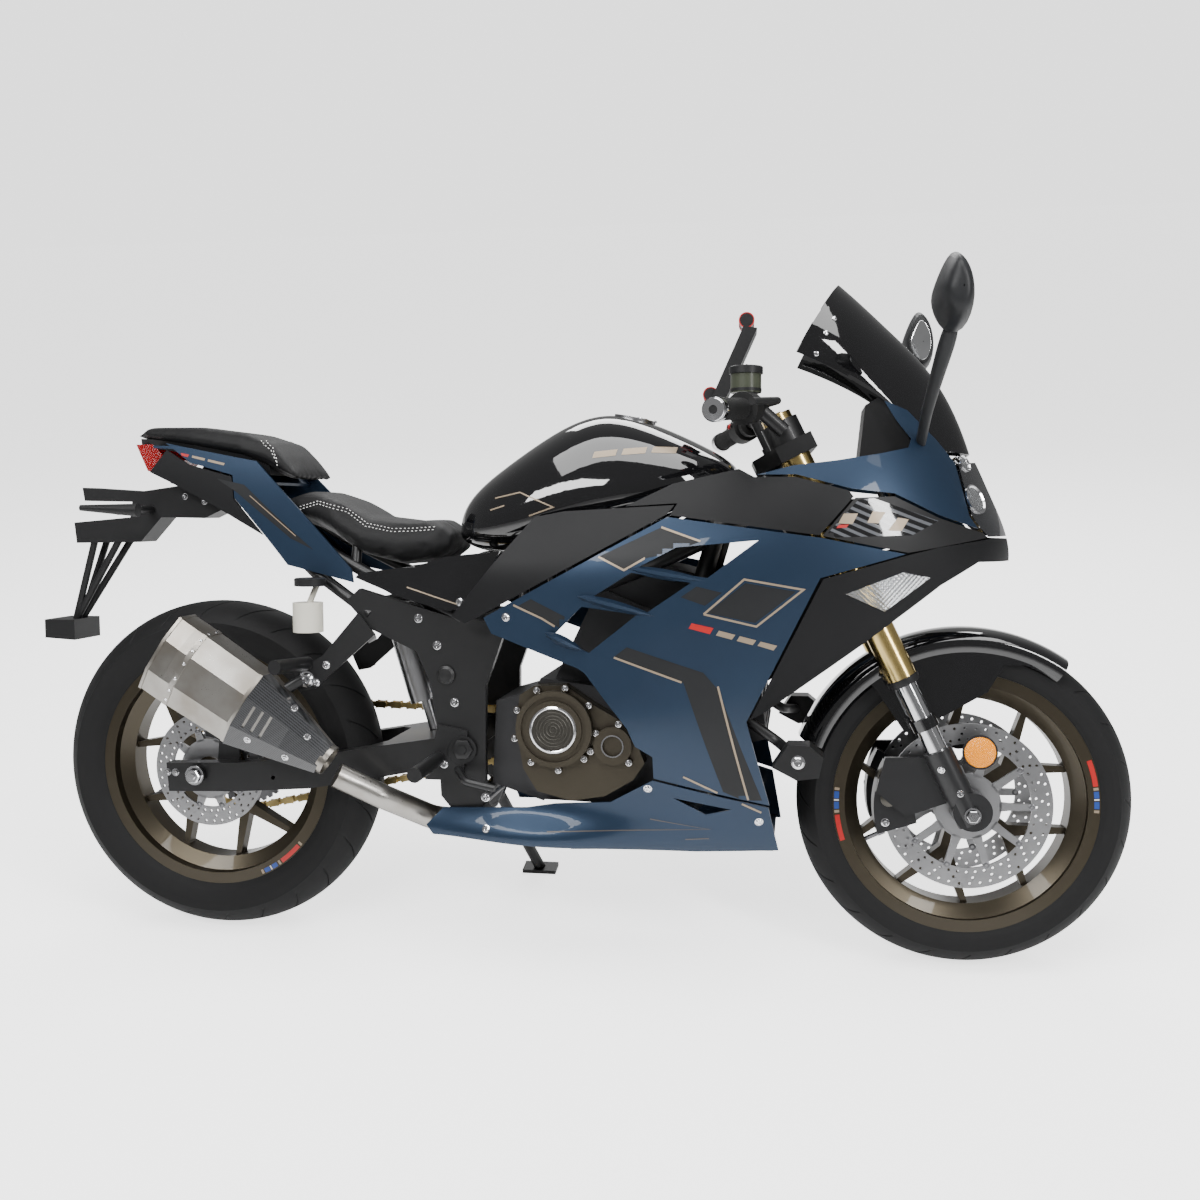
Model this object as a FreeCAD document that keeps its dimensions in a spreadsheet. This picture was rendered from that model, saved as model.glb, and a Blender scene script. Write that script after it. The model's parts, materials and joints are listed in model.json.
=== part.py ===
# Fully faired sport bike on its side stand, built as separate pieces.
# Bike frame: +X forward from the rear axle, +Y to the rider's left, +Z up from the ground.
# The whole bike is then leaned over on to its side stand and moved to the row's origin.
# Outline tables are shares of one square of the styling grid: 14 squares span the wheelbase.
import FreeCAD
import Part
import Sketcher
import math
import os

os.makedirs("parts", exist_ok=True)
doc = FreeCAD.newDocument("SportBike")
sheet = doc.addObject("Spreadsheet::Sheet", "Sizes")

DRIVING_SIZES = [
    # Stance
    ("wheelbase", 1400), ("grid_squares", 14), ("rake_angle", 26), ("lean_angle", 13.02),
    ("steer_rest_angle", 3.2), ("origin_forward", 668), ("origin_left", 221),
    ("part_gap", 0.3), ("overrun", 20),
    ("cap_pin_radius", 2), ("cap_pin_length", 14),
    # Tyres and rims
    ("front_tyre_radius", 292), ("front_tyre_width", 112), ("rear_tyre_radius", 318),
    ("rear_tyre_width", 142), ("bead_radius", 216), ("rim_flange_radius", 230),
    ("front_bead_width", 80), ("rear_bead_width", 98), ("rim_flange_wall", 6),
    ("rim_wall", 7), ("rim_well_depth", 24), ("rim_well_width", 44),
    ("hub_radius", 36), ("hub_neck_radius", 24), ("hub_end_length", 9),
    ("spoke_stem_width", 26), ("spoke_arm_width", 13), ("spoke_depth", 26),
    ("spoke_fork_radius", 104), ("spoke_spread_angle", 19), ("spoke_count", 5),
    ("front_spoke_angle", 37), ("rear_spoke_angle", 8),
    ("front_axle_radius", 10), ("rear_axle_radius", 11), ("axle_clearance", 0.3),
    # Brakes and drive
    ("front_disc_radius", 145), ("rear_disc_radius", 110), ("disc_track_width", 36),
    ("disc_wall", 4.5), ("front_disc_offset", 66), ("rear_disc_offset", 74),
    ("carrier_ring_radius", 58), ("carrier_wall", 6), ("carrier_arm_width", 15),
    ("carrier_arm_count", 10),
    ("sprocket_radius", 104), ("sprocket_wall", 6), ("sprocket_teeth", 42),
    ("sprocket_tooth_height", 6), ("chain_offset", 84), ("chain_width", 16),
    ("chain_height", 15), ("chain_pitch", 15.9),
    ("drive_sprocket_radius", 34), ("chain_clearance", 0.6),
    # Fork and steering
    ("fork_spacing", 200), ("fork_offset", 35), ("axle_lead", 7),
    ("fork_outer_radius", 26.5), ("fork_inner_radius", 18.5), ("fork_outer_bottom", 252),
    ("fork_top_rise", 52), ("fork_foot_radius", 25), ("fork_foot_top", 118),
    ("lower_clamp_height", 560), ("upper_clamp_height", 690), ("clamp_thickness", 28),
    ("clamp_margin", 13), ("stem_radius", 14), ("head_tube_wall", 14),
    ("bar_radius", 11), ("grip_radius", 17), ("bar_end_radius", 19),
    ("switch_radius", 27),
    # Structure
    ("spar_radius", 21), ("frame_plate_offset", 128), ("frame_plate_wall", 16),
    ("cross_tube_radius", 16), ("subframe_tube_radius", 11), ("engine_width", 270),
    ("clutch_cover_radius", 67), ("cover_depth", 34), ("clutch_dome_depth", 18),
    ("cover_boss_radius", 6.5), ("cover_boss_height", 8),
    ("swingarm_width", 252), ("swingarm_arm_width", 28), ("swingarm_pivot_radius", 24),
    ("radiator_width", 300), ("radiator_depth", 36),
    ("exhaust_radius", 22), ("muffler_height", 148), ("muffler_width", 98),
    ("muffler_angle", 33), ("shield_gap", 0.3), ("shield_wall", 3), ("outlet_radius", 30),
    ("outlet_depth", 60), ("slot_width", 5), ("slot_height", 44), ("slot_spacing", 17),
    # Bodywork
    ("panel_wall", 5), ("panel_seam", 2), ("screen_wall", 4),
    ("fender_wall", 5), ("fender_clearance", 12), ("fender_width", 138),
    # Side stand
    ("stand_pivot_radius", 13), ("stand_leg_radius", 11), ("stand_foot_length", 70),
    ("stand_foot_width", 38), ("stand_foot_wall", 8), ("stand_fold_angle", 91),
    # Small equipment
    ("peg_radius", 13), ("guard_bar_radius", 9),
    # Paddock-stand spool threads (M8)
    ("spool_thread_radius", 4), ("spool_thread_depth", 22),
]
for row, (alias, value) in enumerate(DRIVING_SIZES, start=1):
    sheet.set("A%d" % row, alias.replace("_", " "))
    sheet.set("B%d" % row, str(value))
    sheet.setAlias("B%d" % row, alias)
doc.recompute()


class Dim:
    """A size with its value and the sheet expression that it comes from."""

    def __init__(self, value, text):
        self.value = float(value)
        self.text = text

    def __float__(self):
        return self.value

    def __add__(self, other):
        other = dim(other)
        return Dim(self.value + other.value, "(%s + %s)" % (self.text, other.text))

    def __sub__(self, other):
        other = dim(other)
        return Dim(self.value - other.value, "(%s - %s)" % (self.text, other.text))

    def __mul__(self, other):
        other = dim(other)
        return Dim(self.value * other.value, "(%s * %s)" % (self.text, other.text))

    def __truediv__(self, other):
        other = dim(other)
        return Dim(self.value / other.value, "(%s / %s)" % (self.text, other.text))

    def __neg__(self):
        return Dim(-self.value, "(-1 * %s)" % self.text)

    __radd__ = __add__
    __rmul__ = __mul__


def dim(value):
    """Wrap a plain share as a Dim."""
    return value if isinstance(value, Dim) else Dim(value, repr(float(value)))


class SheetSizes:
    """Gives each cell of the sheet by its alias, as a Dim."""

    def __getattr__(self, alias):
        return Dim(sheet.get(alias), "Sizes." + alias)


S = SheetSizes()
GRID = S.wheelbase / S.grid_squares


def cosine(angle):
    """Cosine of a Dim in degrees."""
    return Dim(math.cos(math.radians(angle.value)), "cos(%s * 1 deg)" % angle.text)


def sine(angle):
    """Sine of a Dim in degrees."""
    return Dim(math.sin(math.radians(angle.value)), "sin(%s * 1 deg)" % angle.text)


def crown_drop(width):
    """How far a tyre's shoulder lies inside its crown."""
    crown_drop_share = 0.27
    return width * crown_drop_share


def crown_radius(width):
    """Radius of the arc across a tyre's crown."""
    half = width / 2
    drop = crown_drop(width)
    return (half * half + drop * drop) / (drop * 2)


def axle_height(radius, width):
    """Axle height over the ground, so that the leaned tyre just touches it."""
    return radius + crown_radius(width) * (dim(1) / cosine(S.lean_angle) - 1)


FRONT_AXLE_HEIGHT = axle_height(S.front_tyre_radius, S.front_tyre_width)
REAR_AXLE_HEIGHT = axle_height(S.rear_tyre_radius, S.rear_tyre_width)


def vector(x, y, z):
    """A point from three sizes."""
    return FreeCAD.Vector(float(x), float(y), float(z))


def spot(x_share, y_share, z_share):
    """A point in grid squares of the bike frame."""
    return vector(GRID * x_share, GRID * y_share, GRID * z_share)


def flip(point):
    """The same point on the other side of the bike."""
    return FreeCAD.Vector(point.x, -point.y, point.z)


X_AXIS = FreeCAD.Vector(1, 0, 0)
Y_AXIS = FreeCAD.Vector(0, 1, 0)
Z_AXIS = FreeCAD.Vector(0, 0, 1)
CENTRE = FreeCAD.Vector(0, 0, 0)


def turn(axis, angle, centre=CENTRE):
    """A placement that turns about an axis through a point."""
    return FreeCAD.Placement(CENTRE, FreeCAD.Rotation(axis, float(angle)), centre)


def move(point):
    """A placement that moves only."""
    return FreeCAD.Placement(point, FreeCAD.Rotation())


FORK_OUTER_TOP = S.upper_clamp_height + S.fork_top_rise
STEER_AXIS = vector(-sine(S.rake_angle), 0, cosine(S.rake_angle))
FORK_FORWARD = vector(cosine(S.rake_angle), 0, sine(S.rake_angle))
FRONT_AXLE = vector(S.wheelbase, 0, FRONT_AXLE_HEIGHT)
REAR_AXLE = vector(0, 0, REAR_AXLE_HEIGHT)
STEER_CENTRE = FRONT_AXLE - FORK_FORWARD * float(S.fork_offset)
CHASSIS = move(vector(-S.origin_forward, -S.origin_left, 0)) * turn(X_AXIS, -S.lean_angle)
STEERING = CHASSIS * turn(STEER_AXIS, S.steer_rest_angle, STEER_CENTRE)
FORK = STEERING * move(FRONT_AXLE) * turn(Y_AXIS, -S.rake_angle)

NODES = {}


def keep(obj, label):
    """Name a finished sub-part and list it for export."""
    obj.Label = label
    NODES[label] = obj
    return obj


def feature(label, shape, place=None):
    """A sub-part whose free form is set from Part's own functions."""
    obj = doc.addObject("Part::Feature", "Form_" + label)
    obj.Shape = shape
    obj.Placement = CHASSIS if place is None else place
    return keep(obj, label)


class Piece:
    """A sub-part made as one body from sketches that are bound to the sheet."""

    def __init__(self, label, place):
        self.body = doc.addObject("PartDesign::Body", "Body_" + label)
        self.body.Placement = place
        keep(self.body, label)

    def role(self, role):
        """An origin plane or axis of this body."""
        found = [f for f in self.body.Origin.OriginFeatures if f.Role == role]
        return found[0]

    def sketch(self, plane, offset=None):
        """An empty sketch on an origin plane, moved along its normal."""
        made = self.body.newObject("Sketcher::SketchObject", "Sketch")
        made.AttachmentSupport = [(self.role(plane), "")]
        made.MapMode = "FlatFace"
        if offset is not None:
            made.AttachmentOffset = move(vector(0, 0, offset))
            made.setExpression("AttachmentOffset.Base.z", dim(offset).text)
        return made

    def pin_point(self, made, geometry, end, point):
        """Fix one end of a sketch line by its two sizes."""
        for kind, size in (("DistanceX", point[0]), ("DistanceY", point[1])):
            size = dim(size)
            constraint = Sketcher.Constraint(kind, -1, 1, geometry, end, size.value)
            index = made.addConstraint(constraint)
            made.setExpression("Constraints[%d]" % index, size.text)

    def outline(self, plane, points, offset=None, into=None):
        """A closed outline; a point with four entries starts an arc to the next one."""
        made = into or self.sketch(plane, offset)
        first = made.GeometryCount
        count = len(points)
        flat = [FreeCAD.Vector(float(p[0]), float(p[1]), 0) for p in points]
        for i in range(count):
            start = flat[i]
            stop = flat[(i + 1) % count]
            if len(points[i]) == 4:
                middle = FreeCAD.Vector(float(points[i][2][0]), float(points[i][2][1]), 0)
                made.addGeometry(Part.Arc(start, middle, stop))
            else:
                made.addGeometry(Part.LineSegment(start, stop))
        ends = []
        for i in range(count):
            shape = made.Geometry[first + i]
            straight = not hasattr(shape, "Radius")
            forward = straight or shape.StartPoint.distanceToPoint(flat[i]) < 1e-6
            ends.append((1, 2) if forward else (2, 1))
        for i in range(count):
            following = (i + 1) % count
            joint = Sketcher.Constraint("Coincident", first + i, ends[i][1],
                                        first + following, ends[following][0])
            made.addConstraint(joint)
        for i in range(count):
            self.pin_point(made, first + i, ends[i][0], points[i])
            if len(points[i]) == 4:
                radius = points[i][3]
                index = made.addConstraint(
                    Sketcher.Constraint("Radius", first + i, radius.value))
                made.setExpression("Constraints[%d]" % index, radius.text)
        return made

    def circles(self, plane, rings, offset=None):
        """A sketch of circles, each given by its centre and radius."""
        made = self.sketch(plane, offset)
        for across, up, radius in rings:
            radius = dim(radius)
            centre = FreeCAD.Vector(float(across), float(up), 0)
            index = made.addGeometry(Part.Circle(centre, FreeCAD.Vector(0, 0, 1), radius.value))
            self.pin_point(made, index, 3, (across, up))
            bound = made.addConstraint(Sketcher.Constraint("Radius", index, radius.value))
            made.setExpression("Constraints[%d]" % bound, radius.text)
        return made

    def extrude(self, kind, made, length, side="One side", reverse=False):
        """A pad or a pocket of a sketch."""
        done = self.body.newObject("PartDesign::" + kind, kind)
        done.Profile = made
        done.Length = dim(length).value
        done.setExpression("Length", dim(length).text)
        done.SideType = side
        done.Reversed = reverse
        return done

    def pad(self, made, length, side="One side", reverse=False):
        """Add a prism."""
        return self.extrude("Pad", made, length, side, reverse)

    def pocket(self, made, length, side="One side", reverse=False):
        """Cut a prism."""
        return self.extrude("Pocket", made, length, side, reverse)

    def revolve(self, made, axis="V_Axis"):
        """Add a full turn of a sketch about its own axis."""
        done = self.body.newObject("PartDesign::Revolution", "Revolution")
        done.Profile = made
        done.ReferenceAxis = (made, [axis])
        done.Angle = 360
        return done

    def polar(self, features, axis, count):
        """Repeat features evenly about an origin axis."""
        done = self.body.newObject("PartDesign::PolarPattern", "PolarPattern")
        done.Originals = features
        done.Axis = (self.role(axis), [""])
        done.Angle = 360
        done.Occurrences = int(count.value)
        done.setExpression("Occurrences", count.text)
        self.body.Tip = done
        return done

    def mirror(self, features, plane):
        """Repeat features across an origin plane."""
        done = self.body.newObject("PartDesign::Mirrored", "Mirrored")
        done.Originals = features
        done.MirrorPlane = (self.role(plane), [""])
        self.body.Tip = done
        return done

    def loft(self, sections):
        """Add a loft through sketches."""
        done = self.body.newObject("PartDesign::AdditiveLoft", "Loft")
        done.Profile = sections[0]
        done.Sections = sections[1:]
        done.Ruled = False
        return done


def rod(start, stop, radius):
    """A round bar between two points."""
    along = stop - start
    return Part.makeCylinder(float(radius), along.Length, start, along)


def ball(centre, radius):
    """A sphere at a point."""
    return Part.makeSphere(float(radius), centre)


def ring_tube(start, stop, outer, inner):
    """A round tube between two points."""
    along = stop - start
    over = along.normalize() * float(S.overrun)
    return rod(start, stop, outer).cut(rod(start - over, stop + over, inner))


def fuse(shapes):
    """One shape from several that touch."""
    joined = shapes[0]
    if len(shapes) > 1:
        joined = shapes[0].multiFuse(shapes[1:])
    return joined.removeSplitter()


def bent_tube(points, radius, bend=None):
    """A round tube along straight runs that tangent arcs join."""
    bend = float(radius) * 3 if bend is None else float(bend)
    edges = []
    cursor = points[0]
    for before, corner, after in zip(points, points[1:], points[2:]):
        into = (corner - before).normalize()
        out = (after - corner).normalize()
        angle = into.getAngle(out)
        reach = bend * math.tan(angle / 2)
        arc_start = corner - into * reach
        arc_stop = corner + out * reach
        inward = (out - into).normalize()
        depth = bend / math.cos(angle / 2) - bend
        edges.append(Part.LineSegment(cursor, arc_start).toShape())
        edges.append(Part.Arc(arc_start, corner + inward * depth, arc_stop).toShape())
        cursor = arc_stop
    edges.append(Part.LineSegment(cursor, points[-1]).toShape())
    path = Part.Wire(edges)
    start = points[1] - points[0]
    profile = Part.Wire([Part.makeCircle(float(radius), points[0], start)])
    return path.makePipeShell([profile], True, True)


def plate(points, thickness):
    """A flat plate whose outline points lie in one plane, grown by a vector."""
    face = Part.Face(Part.makePolygon(points + [points[0]]))
    return face.extrude(thickness)


def side_prism(outline_shares, near=0, far=5):
    """A prism across the right side of the bike over an outline in X and Z."""
    points = [spot(x, -near, z) for x, z in outline_shares]
    return plate(points, spot(0, near - far, 0))


def both_sides(shape):
    """A shape and its mirror image as one compound of separate solids."""
    return Part.makeCompound([shape, shape.mirror(CENTRE, Y_AXIS)])


def section_loft(sections):
    """A smooth solid through closed sections, each a list of points."""
    wires = []
    for points in sections:
        curve = Part.BSplineCurve()
        curve.interpolate(points, PeriodicFlag=True)
        wires.append(Part.Wire([curve.toShape()]))
    return Part.makeLoft(wires, True, False)


# Bodywork: one master surface for the right side, shared by every side panel.
# Each row is one height; its pairs are the place along the bike and the half-width there.
SIDE_SURFACE_SHARES = [
    (1.90, ((4.2, 0.95), (6.0, 1.05), (8.0, 1.12), (10.0, 1.06), (11.2, 0.92),
            (12.4, 0.70), (13.6, 0.44), (14.5, 0.12))),
    (2.80, ((4.2, 1.46), (6.0, 1.60), (8.0, 1.66), (10.0, 1.58), (11.2, 1.38),
            (12.4, 1.08), (13.6, 0.72), (14.5, 0.20))),
    (4.00, ((4.2, 1.80), (6.0, 1.98), (8.0, 2.08), (10.0, 2.00), (11.3, 1.76),
            (12.5, 1.42), (13.6, 0.96), (14.5, 0.25))),
    (5.20, ((4.2, 1.90), (6.0, 2.10), (8.0, 2.22), (10.0, 2.18), (11.4, 1.96),
            (12.6, 1.60), (13.6, 1.12), (14.5, 0.28))),
    (6.40, ((4.2, 1.90), (6.0, 2.12), (8.0, 2.28), (10.0, 2.28), (11.4, 2.10),
            (12.6, 1.76), (13.6, 1.26), (14.5, 0.25))),
    (7.30, ((4.2, 1.84), (6.0, 2.06), (8.0, 2.25), (10.0, 2.30), (11.4, 2.16),
            (12.6, 1.84), (13.7, 1.28), (14.76, -0.05))),
    (7.90, ((4.2, 1.50), (6.0, 1.76), (8.0, 2.02), (10.0, 2.18), (11.4, 2.10),
            (12.6, 1.80), (13.65, 1.22), (14.62, -0.05))),
    (8.50, ((4.2, 1.20), (6.0, 1.50), (8.0, 1.74), (10.0, 1.92), (11.4, 1.92),
            (12.6, 1.64), (13.55, 1.06), (14.36, -0.05))),
    (9.20, ((4.2, 1.00), (6.0, 1.25), (8.0, 1.50), (10.0, 1.68), (11.3, 1.66),
            (12.45, 1.38), (13.35, 0.82), (14.02, -0.05))),
    (10.1, ((4.2, 0.82), (6.0, 1.05), (8.0, 1.28), (10.0, 1.48), (11.1, 1.46),
            (12.0, 1.26), (12.85, 0.80), (13.56, -0.05))),
]
INWARD_SHARES = (-0.45, 0.80, -0.40)


def side_surface(proud=0):
    """The master surface of the right side, moved outwards by a length."""
    rows = [[spot(x, -y, z) - Y_AXIS * float(proud) for x, y in row]
            for z, row in SIDE_SURFACE_SHARES]
    surface = Part.BSplineSurface()
    surface.interpolate(rows)
    return surface.toShape()


def side_skin(proud=0, wall=None, inward_shares=INWARD_SHARES):
    """The master surface as a sheet of the panel's wall."""
    wall = S.panel_wall if wall is None else wall
    inward = vector(*[wall * share for share in inward_shares])
    return side_surface(proud).extrude(inward)


def side_panel(outline_shares, openings=(), proud=0, wall=None, inward_shares=INWARD_SHARES):
    """One right side panel: the master sheet inside an outline, less its openings."""
    panel = side_skin(proud, wall, inward_shares).common(side_prism(outline_shares))
    for opening in openings:
        panel = panel.cut(side_prism(opening))
    return panel


def single(shape):
    """The one largest solid of a shape."""
    return max(shape.Solids, key=lambda solid: solid.Volume)


# Wheels
def tyre(label, radius, width, bead_width, place):
    """A tyre from one section turned about the axle."""
    piece = Piece(label, place)
    half = width / 2
    bead = bead_width / 2 - S.part_gap
    seat = S.bead_radius + S.part_gap
    flange = S.rim_flange_radius + S.part_gap
    lip = bead_width / 2 + S.rim_flange_wall + S.part_gap
    shoulder = radius - crown_drop(width)
    wall_bulge_share = 0.5
    wall_radius = flange + (shoulder - flange) * wall_bulge_share
    points = [
        (seat, -bead), (flange, -bead), (flange, -lip), (wall_radius, -half),
        (shoulder, -half, (radius, dim(0)), crown_radius(width)),
        (shoulder, half), (wall_radius, half), (flange, lip), (flange, bead), (seat, bead),
    ]
    piece.revolve(piece.outline("XY_Plane", points))


def rim(label, bead_width, right_seat, left_seat, axle_radius, place):
    """A cast rim: turned barrel and stepped hub, with Y spokes in a pattern."""
    piece = Piece(label, place)
    bead = bead_width / 2
    edge = bead + S.rim_flange_wall
    well = S.bead_radius - S.rim_well_depth
    well_half = S.rim_well_width / 2
    inner = S.bead_radius - S.rim_wall
    barrel = [
        (inner, -edge), (S.rim_flange_radius, -edge), (S.rim_flange_radius, -bead),
        (S.bead_radius, -bead), (S.bead_radius, -well_half - S.rim_wall), (well, -well_half),
        (well, well_half), (S.bead_radius, well_half + S.rim_wall), (S.bead_radius, bead),
        (S.rim_flange_radius, bead), (S.rim_flange_radius, edge), (inner, edge),
        (inner, well_half + S.rim_wall * 2), (well - S.rim_wall, well_half),
        (well - S.rim_wall, -well_half), (inner, -well_half - S.rim_wall * 2),
    ]
    piece.revolve(piece.outline("XY_Plane", barrel))
    bore = axle_radius + S.axle_clearance
    wall_middle_share = 0.5
    wall_middle = well - S.rim_wall * wall_middle_share
    reach = wall_middle * cosine(S.spoke_spread_angle)
    spread = wall_middle * sine(S.spoke_spread_angle)
    stem = S.spoke_stem_width / 2
    stem_taper_share = 0.8
    arm = S.spoke_arm_width / 2
    crotch = S.spoke_fork_radius
    spoke = [
        (S.hub_neck_radius, -stem), (crotch - stem, -stem * stem_taper_share),
        (reach, -spread - arm), (reach, -spread + arm), (crotch + arm, dim(0)),
        (reach, spread - arm), (reach, spread + arm),
        (crotch - stem, stem * stem_taper_share), (S.hub_neck_radius, stem),
    ]
    arms = piece.pad(piece.outline("XZ_Plane", spoke), S.spoke_depth, "Symmetric")
    doc.recompute()
    piece.polar([arms], "Y_Axis", S.spoke_count)
    right_end = -right_seat - S.hub_end_length
    left_end = left_seat + S.hub_end_length
    hub = [
        (bore, right_end), (S.hub_neck_radius, right_end), (S.hub_neck_radius, -right_seat),
        (S.hub_radius, -right_seat), (S.hub_radius, left_seat), (S.hub_neck_radius, left_seat),
        (S.hub_neck_radius, left_end), (bore, left_end),
    ]
    piece.revolve(piece.outline("XY_Plane", hub))
    bore_cut = piece.circles("XZ_Plane", [(dim(0), dim(0), bore)])
    piece.pocket(bore_cut, (left_end - right_end) * 2, "Symmetric")


def brake_discs(label, offsets, radius, place):
    """Brake discs: each a track on a carrier with straight arms."""
    piece = Piece(label, place)
    track = radius - S.disc_track_width
    seat = S.hub_neck_radius + S.part_gap
    half = S.carrier_arm_width / 2
    for offset in offsets:
        ring = piece.circles("XZ_Plane", [(dim(0), dim(0), radius), (dim(0), dim(0), track)],
                             offset + S.disc_wall / 2)
        piece.pad(ring, S.disc_wall, reverse=True)
        face = offset + S.carrier_wall / 2
        root = piece.circles("XZ_Plane", [(dim(0), dim(0), S.carrier_ring_radius),
                                          (dim(0), dim(0), seat)], face)
        piece.pad(root, S.carrier_wall, reverse=True)
        inner = S.carrier_ring_radius - S.disc_wall
        outer = track + S.disc_wall
        arm = piece.outline("XZ_Plane", [(inner, -half), (outer, -half), (outer, half),
                                         (inner, half)], face)
        bar = piece.pad(arm, S.carrier_wall, reverse=True)
        doc.recompute()
        piece.polar([bar], "Y_Axis", S.carrier_arm_count)


def rear_sprocket(place):
    """The toothed rear sprocket with lightening holes."""
    piece = Piece("rear_sprocket", place)
    root = S.sprocket_radius - S.sprocket_tooth_height
    face = -S.chain_offset + S.sprocket_wall / 2
    seat = S.hub_neck_radius + S.part_gap
    web = piece.circles("XZ_Plane", [(dim(0), dim(0), root), (dim(0), dim(0), seat)], face)
    piece.pad(web, S.sprocket_wall, reverse=True)
    pitch_half = root * sine(dim(180) / S.sprocket_teeth)
    tip_share = 0.35
    bite = S.sprocket_tooth_height * 0.5
    tooth = piece.outline("XZ_Plane", [
        (root - bite, -pitch_half), (S.sprocket_radius, -pitch_half * tip_share),
        (S.sprocket_radius, pitch_half * tip_share), (root - bite, pitch_half)], face)
    cog = piece.pad(tooth, S.sprocket_wall, reverse=True)
    doc.recompute()
    piece.polar([cog], "Y_Axis", S.sprocket_teeth)
    hole_share = 0.62
    hole_radius = (root - S.hub_neck_radius) / 5
    window = piece.circles("XZ_Plane", [(root * hole_share, dim(0), hole_radius)], face)
    opening = piece.pocket(window, S.sprocket_wall * 3, "Symmetric")
    doc.recompute()
    piece.polar([opening], "Y_Axis", S.spoke_count)


DISC_SEAT = S.front_disc_offset - S.carrier_wall / 2
REAR_DISC_SEAT = S.rear_disc_offset - S.carrier_wall / 2
SPROCKET_SEAT = S.chain_offset - S.sprocket_wall / 2


def wheels():
    """Both wheels with their discs and the rear sprocket."""
    front = STEERING * move(FRONT_AXLE) * turn(Y_AXIS, -S.front_spoke_angle)
    rear = CHASSIS * move(REAR_AXLE) * turn(Y_AXIS, -S.rear_spoke_angle)
    tyre("front_tyre", S.front_tyre_radius, S.front_tyre_width, S.front_bead_width, front)
    tyre("rear_tyre", S.rear_tyre_radius, S.rear_tyre_width, S.rear_bead_width, rear)
    rim("front_rim", S.front_bead_width, DISC_SEAT, DISC_SEAT, S.front_axle_radius, front)
    rim("rear_rim", S.rear_bead_width, REAR_DISC_SEAT, SPROCKET_SEAT, S.rear_axle_radius, rear)
    brake_discs("front_discs", [S.front_disc_offset, -S.front_disc_offset],
                S.front_disc_radius, front)
    brake_discs("rear_disc", [S.rear_disc_offset], S.rear_disc_radius, rear)
    rear_sprocket(rear)


def tangent_loop(centre_a, radius_a, centre_b, radius_b):
    """The face inside a belt round two circles in the plane of the chain."""
    between = centre_b - centre_a
    reach = between.Length
    along = math.atan2(between.z, between.x)
    lean = math.acos((radius_a - radius_b) / reach)

    def on_circle(centre, radius, angle):
        return centre + FreeCAD.Vector(math.cos(angle), 0, math.sin(angle)) * radius

    top_a = on_circle(centre_a, radius_a, along + lean)
    low_a = on_circle(centre_a, radius_a, along - lean)
    top_b = on_circle(centre_b, radius_b, along + lean)
    low_b = on_circle(centre_b, radius_b, along - lean)
    far_a = on_circle(centre_a, radius_a, along + math.pi)
    far_b = on_circle(centre_b, radius_b, along)
    edges = [Part.LineSegment(top_a, top_b).toShape(), Part.Arc(top_b, far_b, low_b).toShape(),
             Part.LineSegment(low_b, low_a).toShape(), Part.Arc(low_a, far_a, top_a).toShape()]
    return Part.Face(Part.Wire(edges))


DRIVE_SPROCKET_SHARES = (5.95, 3.78)
DRIVE_SPROCKET = spot(DRIVE_SPROCKET_SHARES[0], 0, DRIVE_SPROCKET_SHARES[1])
CHAIN_POCKET_SHARES = [(6.0, 3.2), (6.52, 3.2), (6.52, 4.36), (6.0, 4.36)]


CHAIN_ROLLER_WIDTH_SHARE = 0.52
CHAIN_ROLLER_HEIGHT_SHARE = 0.62
LINK_LENGTH_SHARE = 1.62
LINK_SHARES = [(-1, 0), (-0.72, 1), (-0.3, 0.84), (0.3, 0.84), (0.72, 1), (1, 0),
               (0.72, -1), (0.3, -0.84), (-0.3, -0.84), (-0.72, -1)]


def chain_loop(grow):
    """The face inside the chain's middle line, grown by a length."""
    side = vector(0, S.chain_offset, 0)
    middle = S.chain_clearance + S.chain_height / 2 + grow
    return tangent_loop(REAR_AXLE + side, float(S.sprocket_radius + middle),
                        DRIVE_SPROCKET + side, float(S.drive_sprocket_radius + middle))


def chain_links():
    """The outer link plates, one pair at every second pitch of the chain's middle line."""
    line = chain_loop(0).OuterWire
    count = int(round(line.Length / float(S.chain_pitch * 2)))
    centres = line.discretize(Number=count + 1)[:-1]
    half = float(line.Length / count / 4) * LINK_LENGTH_SHARE
    tall = float(S.chain_height / 2)
    roller = float(S.chain_width / 2) * CHAIN_ROLLER_WIDTH_SHARE
    wall = float(S.chain_width / 2) - roller
    links = []
    for index, centre in enumerate(centres):
        ahead = (centres[(index + 1) % count] - centres[index - 1]).normalize()
        out = Y_AXIS.cross(ahead)
        outline = [centre + ahead * (half * along) + out * (tall * across)
                   for along, across in LINK_SHARES]
        for side in (-1, 1):
            near = [point + Y_AXIS * (roller * side) for point in outline]
            links.append(plate(near, Y_AXIS * (wall * side)))
    return links


def drive_chain():
    """The chain: a run of rollers round both sprockets with its link plates."""
    depth = S.chain_height / 2 * CHAIN_ROLLER_HEIGHT_SHARE
    width = float(S.chain_width) * CHAIN_ROLLER_WIDTH_SHARE
    run = chain_loop(depth).cut(chain_loop(-depth)).extrude(Y_AXIS * width)
    run.translate(Y_AXIS * (-width / 2))
    feature("drive_chain", run.multiFuse(chain_links()))


# Structure
SWINGARM_PIVOT = (5.17, 3.83)
SWINGARM_SHARES = [
    (-0.62, 3.40), (0.8, 3.44), (2.2, 3.60), (3.6, 3.84), (4.6, 4.00), (5.08, 4.04),
    (5.38, 3.83), (5.1, 3.56), (3.4, 3.22), (2.2, 3.00), (0.8, 2.90), (-0.58, 2.86)]
SPOOL_SHARES = (1.5, 3.18)
SWINGARM_CUT_SHARES = [(-1.0, -1), (3.3, -1), (3.55, -0.7), (3.55, 0.7), (3.3, 1), (-1.0, 1)]


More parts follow.
